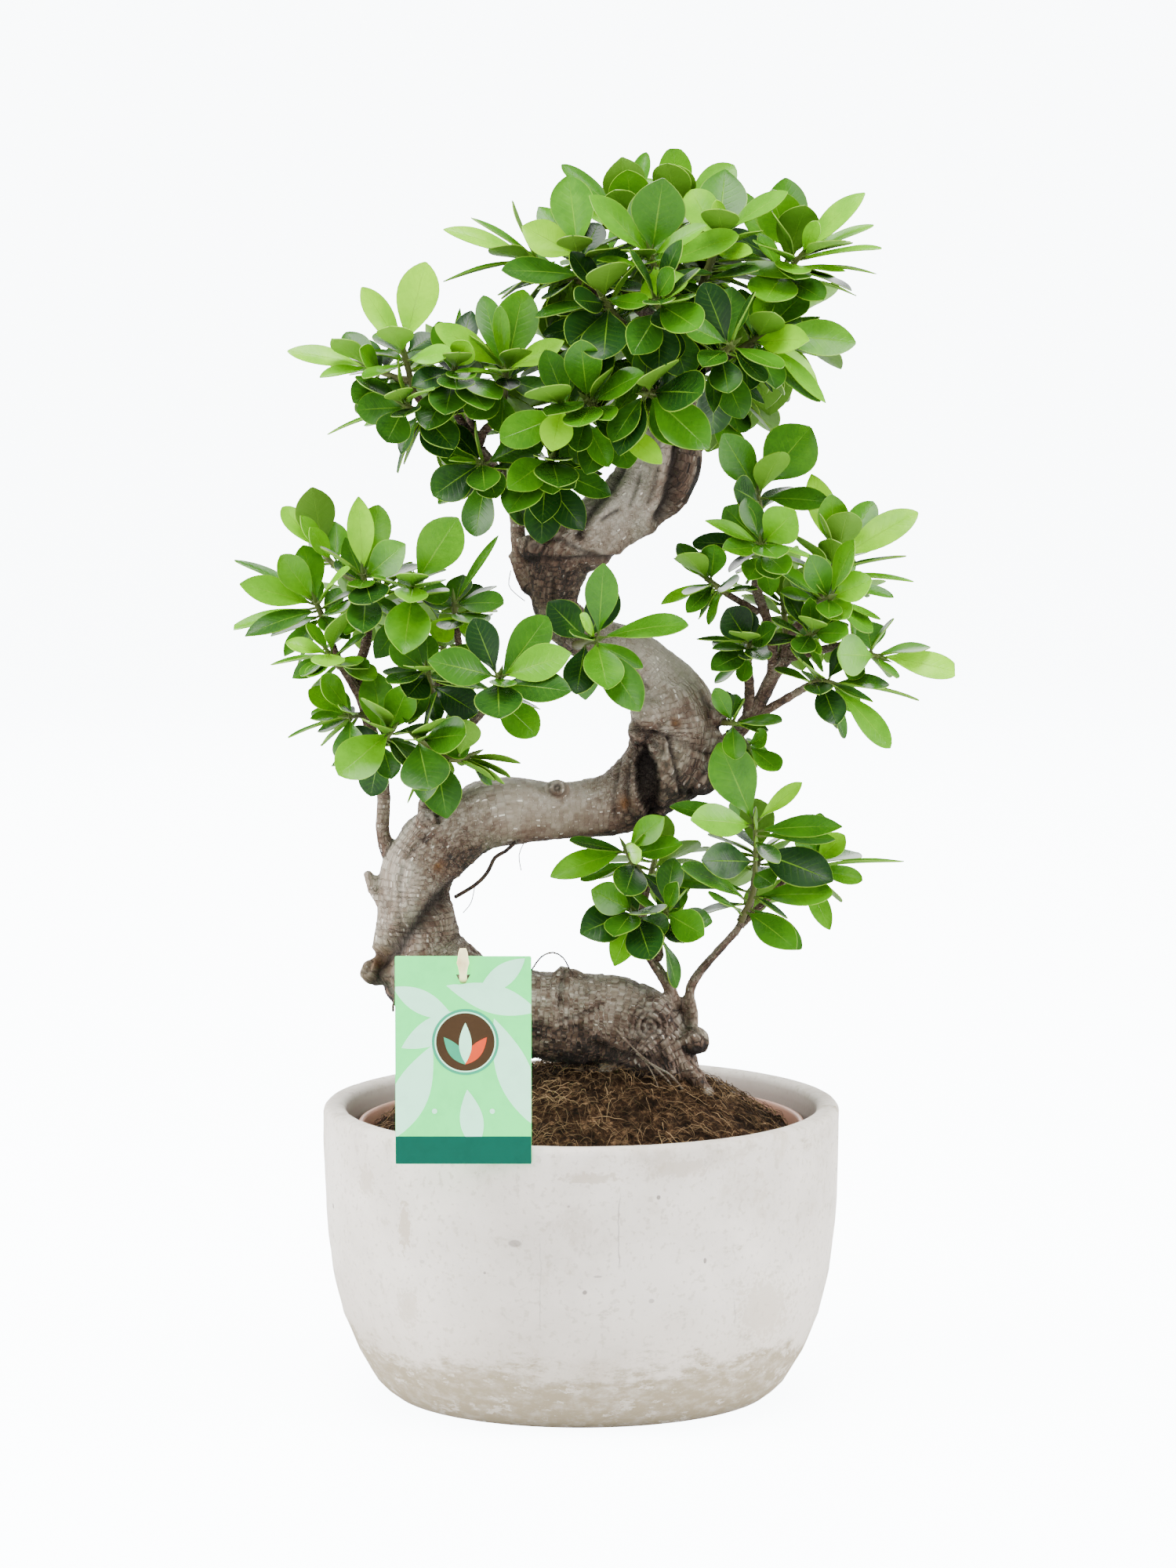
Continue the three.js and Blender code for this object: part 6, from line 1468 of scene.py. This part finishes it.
            (70, -7, -70, 363, 17, 60, 20), (60, -18, -44, 395, 18, 70, 40), (85, -52, -50, 395, 16, 75, 8),
            (30, -23, -60, 341, 17, 70, 40)])],
        [([(-2, -20, 380), (9, -44, 386)], 1, 32, 30, [
            (95, 11, -52, 422, 16, 85, 35), (98, 56, -60, 396, 17, 35, 40), (70, 31, -66, 350, 18, 70, 35),
            (50, -15, -34, 402, 17, 75, 8), (40, -2, -58, 362, 16, 80, 10), (80, 0, -62, 399, 8, 60, 95)])],
    ],
    "right": [
        [([(91, -8, 418), (90, 0, 435), (88, 4, 457)], 1, 32, 30, [
            (95, 66, 12, 492, 14, 50, 35), (90, 71, -14, 483, 18, 70, 45), (98, 113, 12, 484, 27, 80, 45),
            (85, 122, -8, 450, 16, 40, 20), (80, 76, -20, 458, 17, 70, 15)]),
         ([(91, -8, 421), (90, -18, 425), (89, -26, 432)], 1, 30, 35, [
            (95, 104, -46, 448, 20, 80, 55), (90, 63, -34, 443, 9, 40, 65), (85, 72, -26, 448, 17, 60, 35),
            (70, 57, -14, 431, 13, 40, 8), (80, 71, -40, 430, 12, 50, 45), (60, 100, -50, 420, 14, 60, 50),
            (95, 114, -38, 425, 5, 20, 80), (40, 83, -34, 415, 13, 60, 35)])],
        [([(117, -8, 397), (128, -8, 424)], 1, 32, 40, [
            (95, 124, -16, 453, 15, 75, 50), (90, 166, -10, 445, 16, 55, 90), (98, 115, 16, 462, 14, 70, 100),
            (80, 145, 18, 446, 14, 60, 35), (70, 160, 2, 422, 3, 10, 25), (60, 163, -10, 411, 5, 20, 60),
            (50, 153, -22, 405, 8, 30, 40), (85, 118, -30, 445, 3, 20, 10)]),
         ([(117, -8, 399), (124, -28, 405)], 1, 30, 40, [
            (90, 142, -38, 414, 15, 65, 80), (80, 113, -42, 426, 14, 75, 40), (70, 147, -18, 393, 5, 30, 50),
            (50, 131, -38, 396, 14, 60, 50)])],
        [([(109, -14, 381), (116, -22, 387)], 2, 28, 30, [
            (90, 131, -40, 388, 13, 60, 35), (80, 113, -32, 404, 9, 70, 40),
            (50, 118, -36, 378, 5, 60, 50)])],
        [([(72, -12, 405), (62, -16, 413)], 1, 26, 35, [
            (90, 57, -22, 425, 13, 60, 40), (95, 47, -14, 422, 4, 20, 40), (70, 41, -24, 402, 8, 30, 50),
            (60, 53, -34, 399, 9, 60, 35), (30, 59, -4, 392, 6, 30, 40), (80, 66, -26, 430, 13, 60, 40),
            (40, 76, -34, 412, 12, 60, 30)])],
        [([(83, -8, 370), (84, -14, 381)], 1, 28, 25, [
            (90, 73, -18, 397, 18, 60, 8), (95, 59, -4, 381, 5, 20, 35), (70, 66, -26, 379, 8, 30, 30),
            (50, 66, -32, 370, 13, 50, 25), (30, 80, -22, 363, 8, 50, 45), (80, 96, -32, 390, 12, 60, 15)])],
        [([(131, -8, 379), (148, -12, 373)], 1, 30, 50, [
            (95, 186, -14, 366, 15, 50, 90), (90, 128, -40, 377, 20, 80, 55),
            (80, 143, 12, 388, 17, 70, 45)])],
        [([(113, -14, 359), (119, -18, 362), (126, -22, 361)], 1, 30, 30, [
            (90, 152, -30, 332, 13, 45, 50), (85, 138, -14, 348, 13, 50, 60), (95, 166, -14, 353, 3, 10, 40),
            (70, 143, -32, 354, 5, 30, 20), (30, 118, -46, 359, 14, 60, 10),
            (50, 126, -40, 344, 15, 60, 15)])],
        [([(72, -2, 339), (76, -12, 340)], 1, 24, 30, [
            (90, 67, -16, 357, 9, 70, 40)])],
        [([(81, 2, 330), (83, -9, 328)], 0, 24, 30, [
            (90, 92, -16, 334, 10, 60, 40), (70, 94, -2, 322, 8, 40, 50)])],
        [([(103, 18, 380), (102, 32, 391), (101, 42, 402)], 8, 30, 25, []),
         ([(103, 20, 382), (126, 40, 396)], 7, 30, 35, [])],
    ],
    "low_right": [
        [([(30, -8, 263), (22, -16, 278)], 1, 28, 35, [
            (95, 40, -28, 294, 13, 70, 55), (90, -13, -32, 267, 14, 55, 65), (80, -6, -14, 283, 10, 30, 25),
            (85, 29, -52, 281, 11, 85, 95), (70, 49, -28, 281, 13, 50, 30), (50, 1, -14, 262, 8, 40, 40),
            (40, 22, -54, 261, 17, 85, 15)])],
        [([(30, -18, 240), (26, -33, 249)], 1, 30, 15, [
            (90, 1, -46, 240, 20, 65, 8), (80, 17, -54, 225, 13, 80, 55), (70, 34, -62, 231, 19, 88, 8),
            (95, 6, -38, 260, 16, 70, 60), (50, 42, -38, 240, 13, 75, 6)])],
        [([(39, -10, 228), (42, -20, 240), (42, -28, 249)], 1, 28, 30, [
            (90, 60, -52, 240, 16, 65, 35), (80, 64, -30, 243, 12, 50, 40), (60, 49, -46, 235, 9, 70, 10),
            (98, 47, -46, 264, 9, 60, 40), (80, 34, -48, 253, 8, 60, 70)])],
        [([(80, -6, 240), (86, -8, 254), (87, -6, 269), (87, -6, 290)], 3, 30, 30, [
            (97, 69, -16, 330, 23, 70, 40), (95, 55, -38, 295, 18, 60, 65), (93, 47, -8, 299, 12, 40, 25),
            (90, 132, -26, 290, 13, 50, 40), (85, 125, -2, 280, 10, 40, 20), (99, 109, -12, 309, 9, 50, 90),
            (80, 97, -42, 274, 9, 50, 30), (60, 62, -34, 274, 18, 75, 3), (70, 123, -30, 264, 22, 55, 8),
            (50, 95, -28, 261, 13, 70, 35), (25, 131, -36, 258, 15, 50, 55), (10, 107, -46, 231, 16, 60, 40),
            (5, 67, -38, 256, 16, 60, 20), (15, 109, -8, 228, 13, 40, 20), (20, 44, -36, 275, 17, 55, 35),
            (30, 43, -12, 261, 12, 40, 30)])],
        [([(104, 2, 260), (118, 6, 267)], 1, 28, 40, [
            (95, 120, 14, 290, 12, 70, 40), (90, 131, -8, 281, 12, 60, 90), (80, 163, 4, 268, 3, 10, 50),
            (70, 139, -8, 261, 10, 50, 55), (50, 124, -2, 236, 10, 70, 50)])],
        [([(87, 14, 257), (91, 36, 271)], 7, 30, 25, [])],
        [([(33, 14, 253), (38, 36, 267)], 7, 30, 30, [])],
    ],
}
# Depth of a blade's keel, its arch as a share of its length, and the longest blade.
BLADE_KEEL = 1.5
BLADE_ARCH = 0.055
BLADE_MAX = 44
# Room kept between the blades of different sprays, between those of one spray past their roots'
# share of the length, and between blades and wood.
BLADE_CLEAR = 1.9
SISTER_CLEAR = 0.9
ROOT_SHARE = 0.18
WOOD_CLEAR = 1.2
SHOOT_RADIUS = 1.7
BALL_STEP = 2.5
# How deep a leaf is rooted under the shoot's bark, and the gap between a shoot's foot and its twig.
ROOT_DEPTH = 0.5
TWIG_GAP = 0.35
# Twigs that end thinner than this may carry small leaves along their last stretch.
THIN_TWIG = 2.6
FILL_ROUNDS = 8
LEAF_ATTEMPTS = 10
FILL_SEED = 29
GOLDEN_ANGLE = 2.39996

# Ways tried in turn to keep a leaf clear: (shift of the tip in Y, share of length, roll in degrees).
LEAF_TRIES = [
    (0, 1, 0), (-5, 1, 0), (5, 1, 0), (0, 1, 20), (0, 1, -20), (-10, 1, 0), (10, 1, 0), (-5, 0.9, 20),
    (5, 0.9, -20), (-15, 0.95, 0), (15, 0.95, 0), (-10, 0.85, 25), (10, 0.85, -25), (-20, 0.85, 0),
    (20, 0.85, 0), (0, 0.75, 0),
]

# Leaves too small or too hidden to stand in the solids: for each place their rounds and smallest size.
EXTRA_LEAVES = {
    "crown": (14, 0.8), "upper_left": (12, 0.75), "left": (9, 0.62), "centre": (4, 0.6), "right": (8, 0.6),
    "low_right": (6, 0.6),
}
EXTRA_SPREAD = 0.36
EXTRA_SEED = 31
EXTRA_CLEAR = 0.5
EXTRA_WOOD_CLEAR = 0.3
TWIG_ROUNDS = 5
# How low the extra leaves start on their run and by how much more they end; their tone by this share.
EXTRA_LOWNESS = (0.1, 1.7)
EXTRA_TONE = 0.8
TWIG_LOWNESS = (0.2, 1.4)
TWIG_TONE = 0.5


def draws(seed):
    """A seeded draw between 0 and 1."""
    state = seed
    while True:
        state = (state * 1664525 + 1013904223) % 4294967296
        yield state / 4294967296


def unit(v):
    return v / (norm(v) or 1)


def leaf_width(v):
    """Half the width of a blade at v, from root to tip, as a share of its widest half."""
    q = np.maximum(0, (v - 0.1) / 0.9)
    return q ** 0.75 * np.maximum(0, 1 - q) ** 0.45 / 0.452


def leaf_rise(leaf, v):
    """How far the arched blade stands above the straight line from its root to its tip."""
    return BLADE_ARCH * 4 * v * (1 - v) * leaf["length"]


def make_leaf(spot, heading, tip, width, facing, tone):
    """A leaf from its shoot to its tip, rooted just under the shoot's bark on its own side."""
    out = tip - spot
    out = out + heading * -out.dot(heading)
    root = spot + unit(out) * ROOT_DEPTH
    along = tip - root
    length = min(float(norm(along)), BLADE_MAX)
    along = unit(along)
    normal = facing + along * -facing.dot(along)
    if norm(normal) < 0.15:
        normal = np.array([-along[2], 0, along[0]])
    normal = unit(normal)
    return {"root": root, "along": along, "side": np.cross(along, normal), "normal": normal,
            "length": length, "width": width, "tone": tone}


def leaf_point(leaf, v, u, lift=0.0):
    """The point of a leaf at v from root to tip and u from edge to edge."""
    half = leaf_width(v) * leaf["width"] / 2
    return (leaf["root"] + leaf["along"] * (v * leaf["length"]) + leaf["side"] * (u * half)
            + leaf["normal"] * (leaf_rise(leaf, v) + lift))


def leaf_spots(leaf):
    """Spots spread over a leaf, for keeping leaves apart."""
    spots = []
    rows = max(5, math.floor(leaf["length"] / 3 + 0.5))
    for v in np.arange(1, rows + 1) / rows:
        columns = max(1, math.floor(leaf_width(v) * leaf["width"] / 3.5 + 0.5))
        spots += [leaf_point(leaf, v, 2 * k / columns - 1, -BLADE_KEEL / 2) for k in range(columns + 1)]
    return np.array(spots)


def meets(leaf, spots, radius):
    """True for each spot whose ball of the given radius meets the leaf."""
    off = spots - leaf["root"]
    reach = off @ leaf["along"]
    v = np.clip(reach / leaf["length"], 0, 1)
    wide = np.maximum(0.1, leaf_width(np.minimum(v, 0.95))) * leaf["width"] / 2 + radius
    rise = leaf_rise(leaf, v) - BLADE_KEEL / 2
    return ((reach >= -radius) & (reach <= leaf["length"] + radius) & (np.abs(off @ leaf["side"]) <= wide)
            & (np.abs(off @ leaf["normal"] - rise) < radius))


# Balls along all the wood and the shoots, as rows (x, y, z, radius, number of the spray or -1 for wood).
balls = []


def add_balls(stations, owner):
    for a, b in zip(np.array(stations[:-1], float), np.array(stations[1:], float)):
        steps = math.ceil(norm(b[:3] - a[:3]) / BALL_STEP)
        balls.extend((*(a + (b - a) * (k / steps)), owner) for k in range(steps))


sprays = [(f"{spray_place}_spray_{count:02d}", EXTRA_LEAVES[spray_place], shoots)
          for spray_place, group in SPRAYS.items() for count, shoots in enumerate(group, 1)]
for line in [TRUNK, *LIMBS.values()]:
    add_balls(line, -1)
for number, (_, _, shoots) in enumerate(sprays):
    for path, *_ in shoots:
        add_balls([(*p, SHOOT_RADIUS) for p in path], number)
balls = np.array(balls)
leaves = []


def clear_of_all(leaf, wood_clear, leaf_clear):
    """True where the leaf keeps clear of the wood, the shoots and the leaves placed before it."""
    middle, reach = leaf["middle"], leaf["length"] / 2 + 2
    near = norm(balls[:, :3] - middle, axis=1) < reach + balls[:, 3] + 3
    near &= balls[:, 4] != leaf["spray"]
    if meets(leaf, balls[near, :3], balls[near, 3] + wood_clear).any():
        return False
    for other in leaves:
        if norm(other["middle"] - middle) > reach + other["length"] / 2 + 2:
            continue
        sisters = other["spray"] == leaf["spray"]
        room = min(SISTER_CLEAR, leaf_clear) if sisters else leaf_clear
        for a, b in ((leaf, other), (other, leaf)):
            hit = meets(b, a["spots"], room)
            if sisters:
                hit &= norm(a["spots"] - a["root"], axis=1) >= ROOT_SHARE * a["length"]
            if hit.any():
                return False
    return True


def kept(leaf, spray, wood_clear=WOOD_CLEAR, leaf_clear=BLADE_CLEAR):
    """Keeps a leaf for its spray if it is clear of all, and says whether it was."""
    leaf |= {"spray": spray, "middle": leaf_point(leaf, 0.5, 0), "spots": leaf_spots(leaf)}
    clear = clear_of_all(leaf, wood_clear, leaf_clear)
    if clear:
        leaves.append(leaf)
    return clear


def path_at(path, t):
    """The point at the share t of a path, and the path's direction there."""
    spots = np.array(path, float)
    runs = norm(np.diff(spots, axis=0), axis=1)
    rest, i = t * runs.sum(), 0
    while i < len(runs) - 1 and rest > runs[i]:
        rest -= runs[i]
        i += 1
    step = spots[i + 1] - spots[i]
    return spots[i] + step * min(1, rest / runs[i]), unit(step)


UP = np.array([0, 0, 1.0])
for number, (_, _, shoots) in enumerate(sprays):
    for path, _, _, _, measured in shoots:
        for t, x, y, z, width, face, tone in measured:
            spot, along = path_at(path, t / 100)
            for shift, share, roll in LEAF_TRIES:
                tip = spot + (np.array([x, y + shift, z], float) - spot) * share
                turn = math.radians(face + roll)
                facing = np.array([0, -math.sin(turn), math.cos(turn)])
                if kept(make_leaf(spot, along, tip, width, facing, tone / 100), number):
                    break


def filling_leaf(shoot, lowness, turn, freely, draw):
    """A leaf for a shoot; lower ones lean further out."""
    path, _, size, tone, _ = shoot
    spot, along = path_at(path, 0.98 - 0.5 * lowness - 0.12 * next(draw))
    azimuth = turn + 2 * math.pi * next(draw) * (1 if freely else 0.25)
    lean = 0.5 + 0.9 * lowness + 0.5 * next(draw)
    across = unit(np.cross(UP, along))
    other = np.cross(along, across)
    length = size * (0.82 + 0.3 * next(draw))
    outward = across * math.cos(azimuth) + other * math.sin(azimuth)
    tip = spot + length * (along * math.cos(lean) + outward * math.sin(lean))
    width = length * (0.54 + 0.12 * next(draw))
    own_tone = min(1, max(0, tone / 100 + 0.3 * (next(draw) - 0.5)))
    return make_leaf(spot, along, tip, width, along * 0.5 + UP, own_tone)


def shoots_of(turn_number, rounds_of):
    """Each spray's number, its rounds and its shoots in one round of leaves, where they have that many."""
    for number, (_, _, shoots) in enumerate(sprays):
        for shoot in shoots:
            rounds = rounds_of(number, shoot)
            if turn_number < rounds:
                yield number, rounds, shoot


leaf_draw = draws(FILL_SEED)
for turn_number in range(FILL_ROUNDS):
    lowness, turn = turn_number / FILL_ROUNDS, GOLDEN_ANGLE * turn_number
    for number, _, shoot in shoots_of(turn_number, lambda number, shoot: shoot[1]):
        for attempt in range(LEAF_ATTEMPTS):
            leaf = filling_leaf(shoot, lowness, turn, attempt > 0, leaf_draw)
            if kept(leaf, number):
                break
solid_leaves = len(leaves)

low_corner = np.array(cad_box[0]) / MM + 1
high_corner = np.array(cad_box[1]) / MM - 1
extra_draw = draws(EXTRA_SEED)


def tuck_in(run, number, shoot, lowness, turn, tone_share, wood_clear):
    """Adds one more leaf of a shoot's kind along a run, if it finds room inside the plant's bounds."""
    for _ in range(LEAF_ATTEMPTS):
        leaf = filling_leaf((run, *shoot[1:]), lowness, turn, True, extra_draw)
        shrink = sprays[number][1][1] + EXTRA_SPREAD * next(extra_draw)
        for name, share in (("length", shrink), ("width", shrink), ("tone", tone_share)):
            leaf[name] *= share
        tip = leaf_point(leaf, 1, 0)
        inside = (tip > low_corner).all() and (tip < high_corner).all()
        if inside and kept(leaf, number, wood_clear, EXTRA_CLEAR):
            return


def twig_end(start):
    """The last two stations of the woody twig that ends where a shoot starts, if there is one."""
    for line in LIMBS.values():
        before, end = np.array(line[-2:], float)
        if norm(end[:3] - start) < 1.5:
            return before, end
    return None


first_low, more_low = EXTRA_LOWNESS
for turn_number in range(max(rounds for rounds, _ in EXTRA_LEAVES.values())):
    for number, rounds, shoot in shoots_of(turn_number, lambda number, shoot: sprays[number][1][0]):
        tuck_in(shoot[0], number, shoot, first_low + more_low * turn_number / rounds,
                GOLDEN_ANGLE * turn_number, EXTRA_TONE, EXTRA_WOOD_CLEAR)
first_low, more_low = TWIG_LOWNESS
for turn_number in range(TWIG_ROUNDS):
    for number, rounds, shoot in shoots_of(turn_number, lambda number, shoot: TWIG_ROUNDS):
        twig = twig_end(shoot[0][0])
        if twig and twig[1][3] < THIN_TWIG:
            tuck_in([stop[:3] for stop in twig], number, shoot, first_low + more_low * turn_number / rounds,
                    GOLDEN_ANGLE * turn_number, TWIG_TONE, 0)

BLADE_ROWS = 12
BLADE_COLUMNS = 9
# The rows of a blade stand closer together towards its tip by this power.
TIP_CROWDING = 1.35
BLADE_THICK = 0.55
# The finished blade is wider and longer than the leaf in the solids by these shares.
BLADE_WIDEN = 1.06
BLADE_LENGTHEN = 0.06
PETIOLE_SIDES = 5
PETIOLE_RADIUS = 0.75
# How fast a petiole sinks below the plane of its leaf: by 0.9 mm at 0.14 of the leaf's length.
PETIOLE_SAG = 0.9 / 0.14
# A petiole's stops: (share of the leaf's length, share of its radius).
PETIOLE_STOPS = [(-0.01, 1.1), (0.04, 0.95), (0.09, 0.9), (0.15, 0.5)]
SHOOT_SIDES = 10
SHOOT_STEP = 1.6
SHOOT_SCAR_GAP = 6.0
# The bud at a shoot's end: (distance past the end, radius).
BUD_STATIONS = [(-0.5, 1.0), (1.5, 1.15), (4, 0.8), (7.5, 0.12)]
BUD_SIDES = 8
BUD_STEP = 1.2
SPRAY_SEED = 1000
EDGE_ANGLE = math.radians(50)
# The side of the blade that each face of its skin shows, row by row: 0 above and at the rim, 1 underneath.
BLADE_SIDES = ([0] * BLADE_COLUMNS + [1] * (BLADE_COLUMNS - 1) + [0]) * BLADE_ROWS + [0, 0]


def drawn_width(v, wedge, point):
    """The finished edge of a blade, with its own wedge at the foot and blunt point at the tip."""
    q = np.maximum(0, (v - 0.11) / 0.89)
    widest = wedge / (wedge + point)
    return q ** wedge * (1 - q) ** point / (widest ** wedge * (1 - widest) ** point)


def blade(leaf, draw):
    """A fine closed blade, cupped along the midrib and softly waved, with each point's place on the leaf."""
    wave = 0.66 * (next(draw) - 0.5)
    curl = 0.25 * (next(draw) - 0.35)
    cup = 0.9 * BLADE_KEEL * (0.75 + 0.5 * next(draw))
    phase = 2 * math.pi * next(draw)
    blunt = 0.9 + 0.12 * next(draw)
    wedge = 1 + 0.35 * next(draw)
    point = 0.6 + 0.3 * next(draw)
    q = 1 - (1 - np.linspace(0, 1, BLADE_ROWS + 1)[:, None]) ** TIP_CROWDING
    u = np.linspace(-1, 1, BLADE_COLUMNS)[None]
    v = 0.1 + 0.9 * q ** 0.9
    width = drawn_width(np.minimum(v, 0.998), wedge, point) * (1 + (blunt - 1) * q ** 4)
    width = np.maximum(width * (q < 1), 0.05) * leaf["width"] * BLADE_WIDEN / 2
    fold = -cup * (1 - np.abs(u) ** 1.4) * np.abs(np.sin(math.pi * (0.15 + 0.85 * q))) ** 0.6
    ripple = wave * u ** 2 * np.sin(9 * v + phase + 1.6 * (u > 0))
    droop = curl * leaf["length"] * np.maximum(0, v - 0.55) ** 2
    reach = v * leaf["length"] * (1 + BLADE_LENGTHEN * q)
    rise = leaf_rise(leaf, v) + fold + ripple - droop
    thick = BLADE_THICK / 2 * (1 + 0.9 * np.exp(-(u / 0.16) ** 2) * (1 - 0.7 * q))

    def skin(lift):
        return leaf["root"] + (reach[..., None] * leaf["along"] + (u * width)[..., None] * leaf["side"]
                               + (rise + lift)[..., None] * leaf["normal"])

    grid = np.stack(np.broadcast_arrays(u / 2 + 0.5, q), axis=2)
    points, faces = lofted(np.concatenate([skin(0.7 * thick), skin(-thick)[:, ::-1]], axis=1))
    return points, faces, np.concatenate([grid, grid[:, ::-1]], axis=1).reshape(-1, 2)


def petiole(leaf):
    """The short round leaf stalk, from inside the shoot to the foot of the blade."""
    return tube([(*leaf_point(leaf, v, 0, -PETIOLE_SAG * max(0, v)), PETIOLE_RADIUS * share)
                 for v, share in PETIOLE_STOPS], PETIOLE_SIDES)


def shoot_line(path):
    """A green shoot, swollen at its leaf scars, from its woody twig or the shoot that it forks from."""
    start, radius, twig = np.array(path[0], float), SHOOT_RADIUS, twig_end(path[0])
    if twig:
        before, end = twig
        start, radius = end[:3] + unit(end[:3] - before[:3]) * (TWIG_GAP - 1.0), end[3]
    stations = [(*start, radius * 0.98), *[(*p, 1.45 - 0.25 * i) for i, p in enumerate(path[1:])]]
    line = eased(stations, SHOOT_STEP)
    line[:, 3] *= 1 + 0.16 * np.cos(np.arange(len(line)) * SHOOT_STEP * 2 * math.pi / SHOOT_SCAR_GAP) ** 6
    return line


def spray_mesh(number, name):
    """One leafy spray as an object: green shoots, buds, petioles and blades."""
    draw = draws(SPRAY_SEED + number)
    parts, looks, grids = [], [], []

    def add(points, faces, face_looks, grid=None):
        parts.append((points, faces))
        looks.extend(face_looks)
        grids.append(np.full((len(points), 2), 0.5) if grid is None else grid)

    for path, _, _, tone, _ in sprays[number][2]:
        line = shoot_line(path)
        points, faces = tube(line, SHOOT_SIDES)
        add(points, faces, [(tone / 100, 0, 0.7 - 0.5 * i / len(faces), 1) for i in range(len(faces))])
        heading = unit(line[-1, :3] - line[-3, :3])
        bud = [(*(line[-1, :3] + heading * step), radius) for step, radius in BUD_STATIONS]
        points, faces = tube(eased(bud, BUD_STEP), BUD_SIDES)
        add(points, faces, [(min(1, tone / 100 + 0.5), 0, 0, 1)] * len(faces))
    for leaf in leaves:
        if leaf["spray"] == number:
            own = next(draw)
            points, faces = petiole(leaf)
            add(points, faces, [(min(1, leaf["tone"] + 0.35), 0, 0, 1)] * len(faces))
            points, faces, grid = blade(leaf, draw)
            add(points, faces, [(leaf["tone"], side, own, 0) for side in BLADE_SIDES], grid)
    points, faces, _ = joined(parts)
    made = smooth(mesh_object(name, np.clip(points * MM, *cad_box), faces))
    made.data.set_sharp_from_angle(angle=EDGE_ANGLE)
    corner_look = np.repeat(np.array(looks, np.float32), [len(face) for face in faces], axis=0)
    layer = made.data.attributes.new("leaf_look", "FLOAT_COLOR", "CORNER")
    layer.data.foreach_set("color", corner_look.ravel())
    corner_point = read_out(made.data.loops, "vertex_index", 1, np.int32).ravel()
    unwrapped = made.data.uv_layers.new(name="leaf_map")
    unwrapped.data.foreach_set("uv", np.concatenate(grids).astype(np.float32)[corner_point].ravel())
    return made


LEAF_RELIEF = 0.0004
LEAF_DARK = (0.006, 0.031, 0.004, 1)
LEAF_MID = (0.038, 0.155, 0.003, 1)
LEAF_LIME = (0.13, 0.40, 0.0, 1)
LEAF_YELLOW = (0.27, 0.64, 0.0, 1)
LEAF_RIM = (0.24, 0.42, 0.03, 1)
LEAF_RIB = (0.18, 0.38, 0.015, 1)
LEAF_UNDER = (0.12, 0.27, 0.015, 1)
SHOOT_GREEN = (0.075, 0.12, 0.02, 1)
SHOOT_BROWN = (0.08, 0.05, 0.026, 1)


def leaf_material():
    """Glossy leathery leaf: pale midrib and rim, faint side veins, matte paler underside."""
    made, shader = new_material("fig_leaf", LEAF_MID, 0.3, 0.18)
    tree = made.node_tree
    look = stored(made, "leaf_look")
    tone, under, own = node(tree, "ShaderNodeSeparateColor", Color=look["Color"]).outputs
    leaf_map = node(tree, "ShaderNodeUVMap", uv_map="leaf_map").outputs["UV"]
    across, along, _ = node(tree, "ShaderNodeSeparateXYZ", Vector=leaf_map).outputs
    off_rib = times(maths("ABSOLUTE", minus(across, 0.5)), 2)
    fine, cloud = grained(own_place(made), 440)
    shade = swayed(tone, (cloud, 0.35), (own, 0.22), (fine, 0.12))
    color = ramp(shade, (0.08, LEAF_DARK), (0.42, LEAF_MID), (0.78, LEAF_LIME), (1.0, LEAF_YELLOW))
    waves = maths("SINE", times(minus(along, times(off_rib, 0.22)), 30))
    veins = times(maths("POWER", maths("ABSOLUTE", waves), 18), mask(off_rib, 1.0, 0.2))
    color = tinted(color, LEAF_RIB, veins, 0.06)
    rib = mask(minus(minus(0.075, times(along, 0.06)), off_rib), 0.0, 0.035)
    color = tinted(color, LEAF_RIB, rib, 0.5)
    color = tinted(color, LEAF_RIM, mask(off_rib, 0.95, 0.995), 0.55)
    color = tinted(color, LEAF_UNDER, under, 0.62)
    color = tinted(color, tinted(SHOOT_GREEN, SHOOT_BROWN, own), look["Alpha"])
    feed(shader.inputs["Base Color"], color)
    matte = plus(plus(times(under, 0.28), times(look["Alpha"], 0.25)), times(cloud, 0.16))
    feed(shader.inputs["Roughness"], plus(matte, 0.2))
    height = plus(plus(times(veins, -0.15), times(rib, -0.6)), times(fine, 0.15))
    bumped(shader, height, LEAF_RELIEF, 0.5)
    return made


fig_leaf = leaf_material()
for number, (solid_name, _, _) in enumerate(sprays):
    spray = spray_mesh(number, f"{solid_name}_leaves")
    spray.data.materials.append(fig_leaf)
    tones = [leaf["tone"] for leaf in leaves[:solid_leaves] if leaf["spray"] == number]
    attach(spray, "root")
    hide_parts(solid_name)
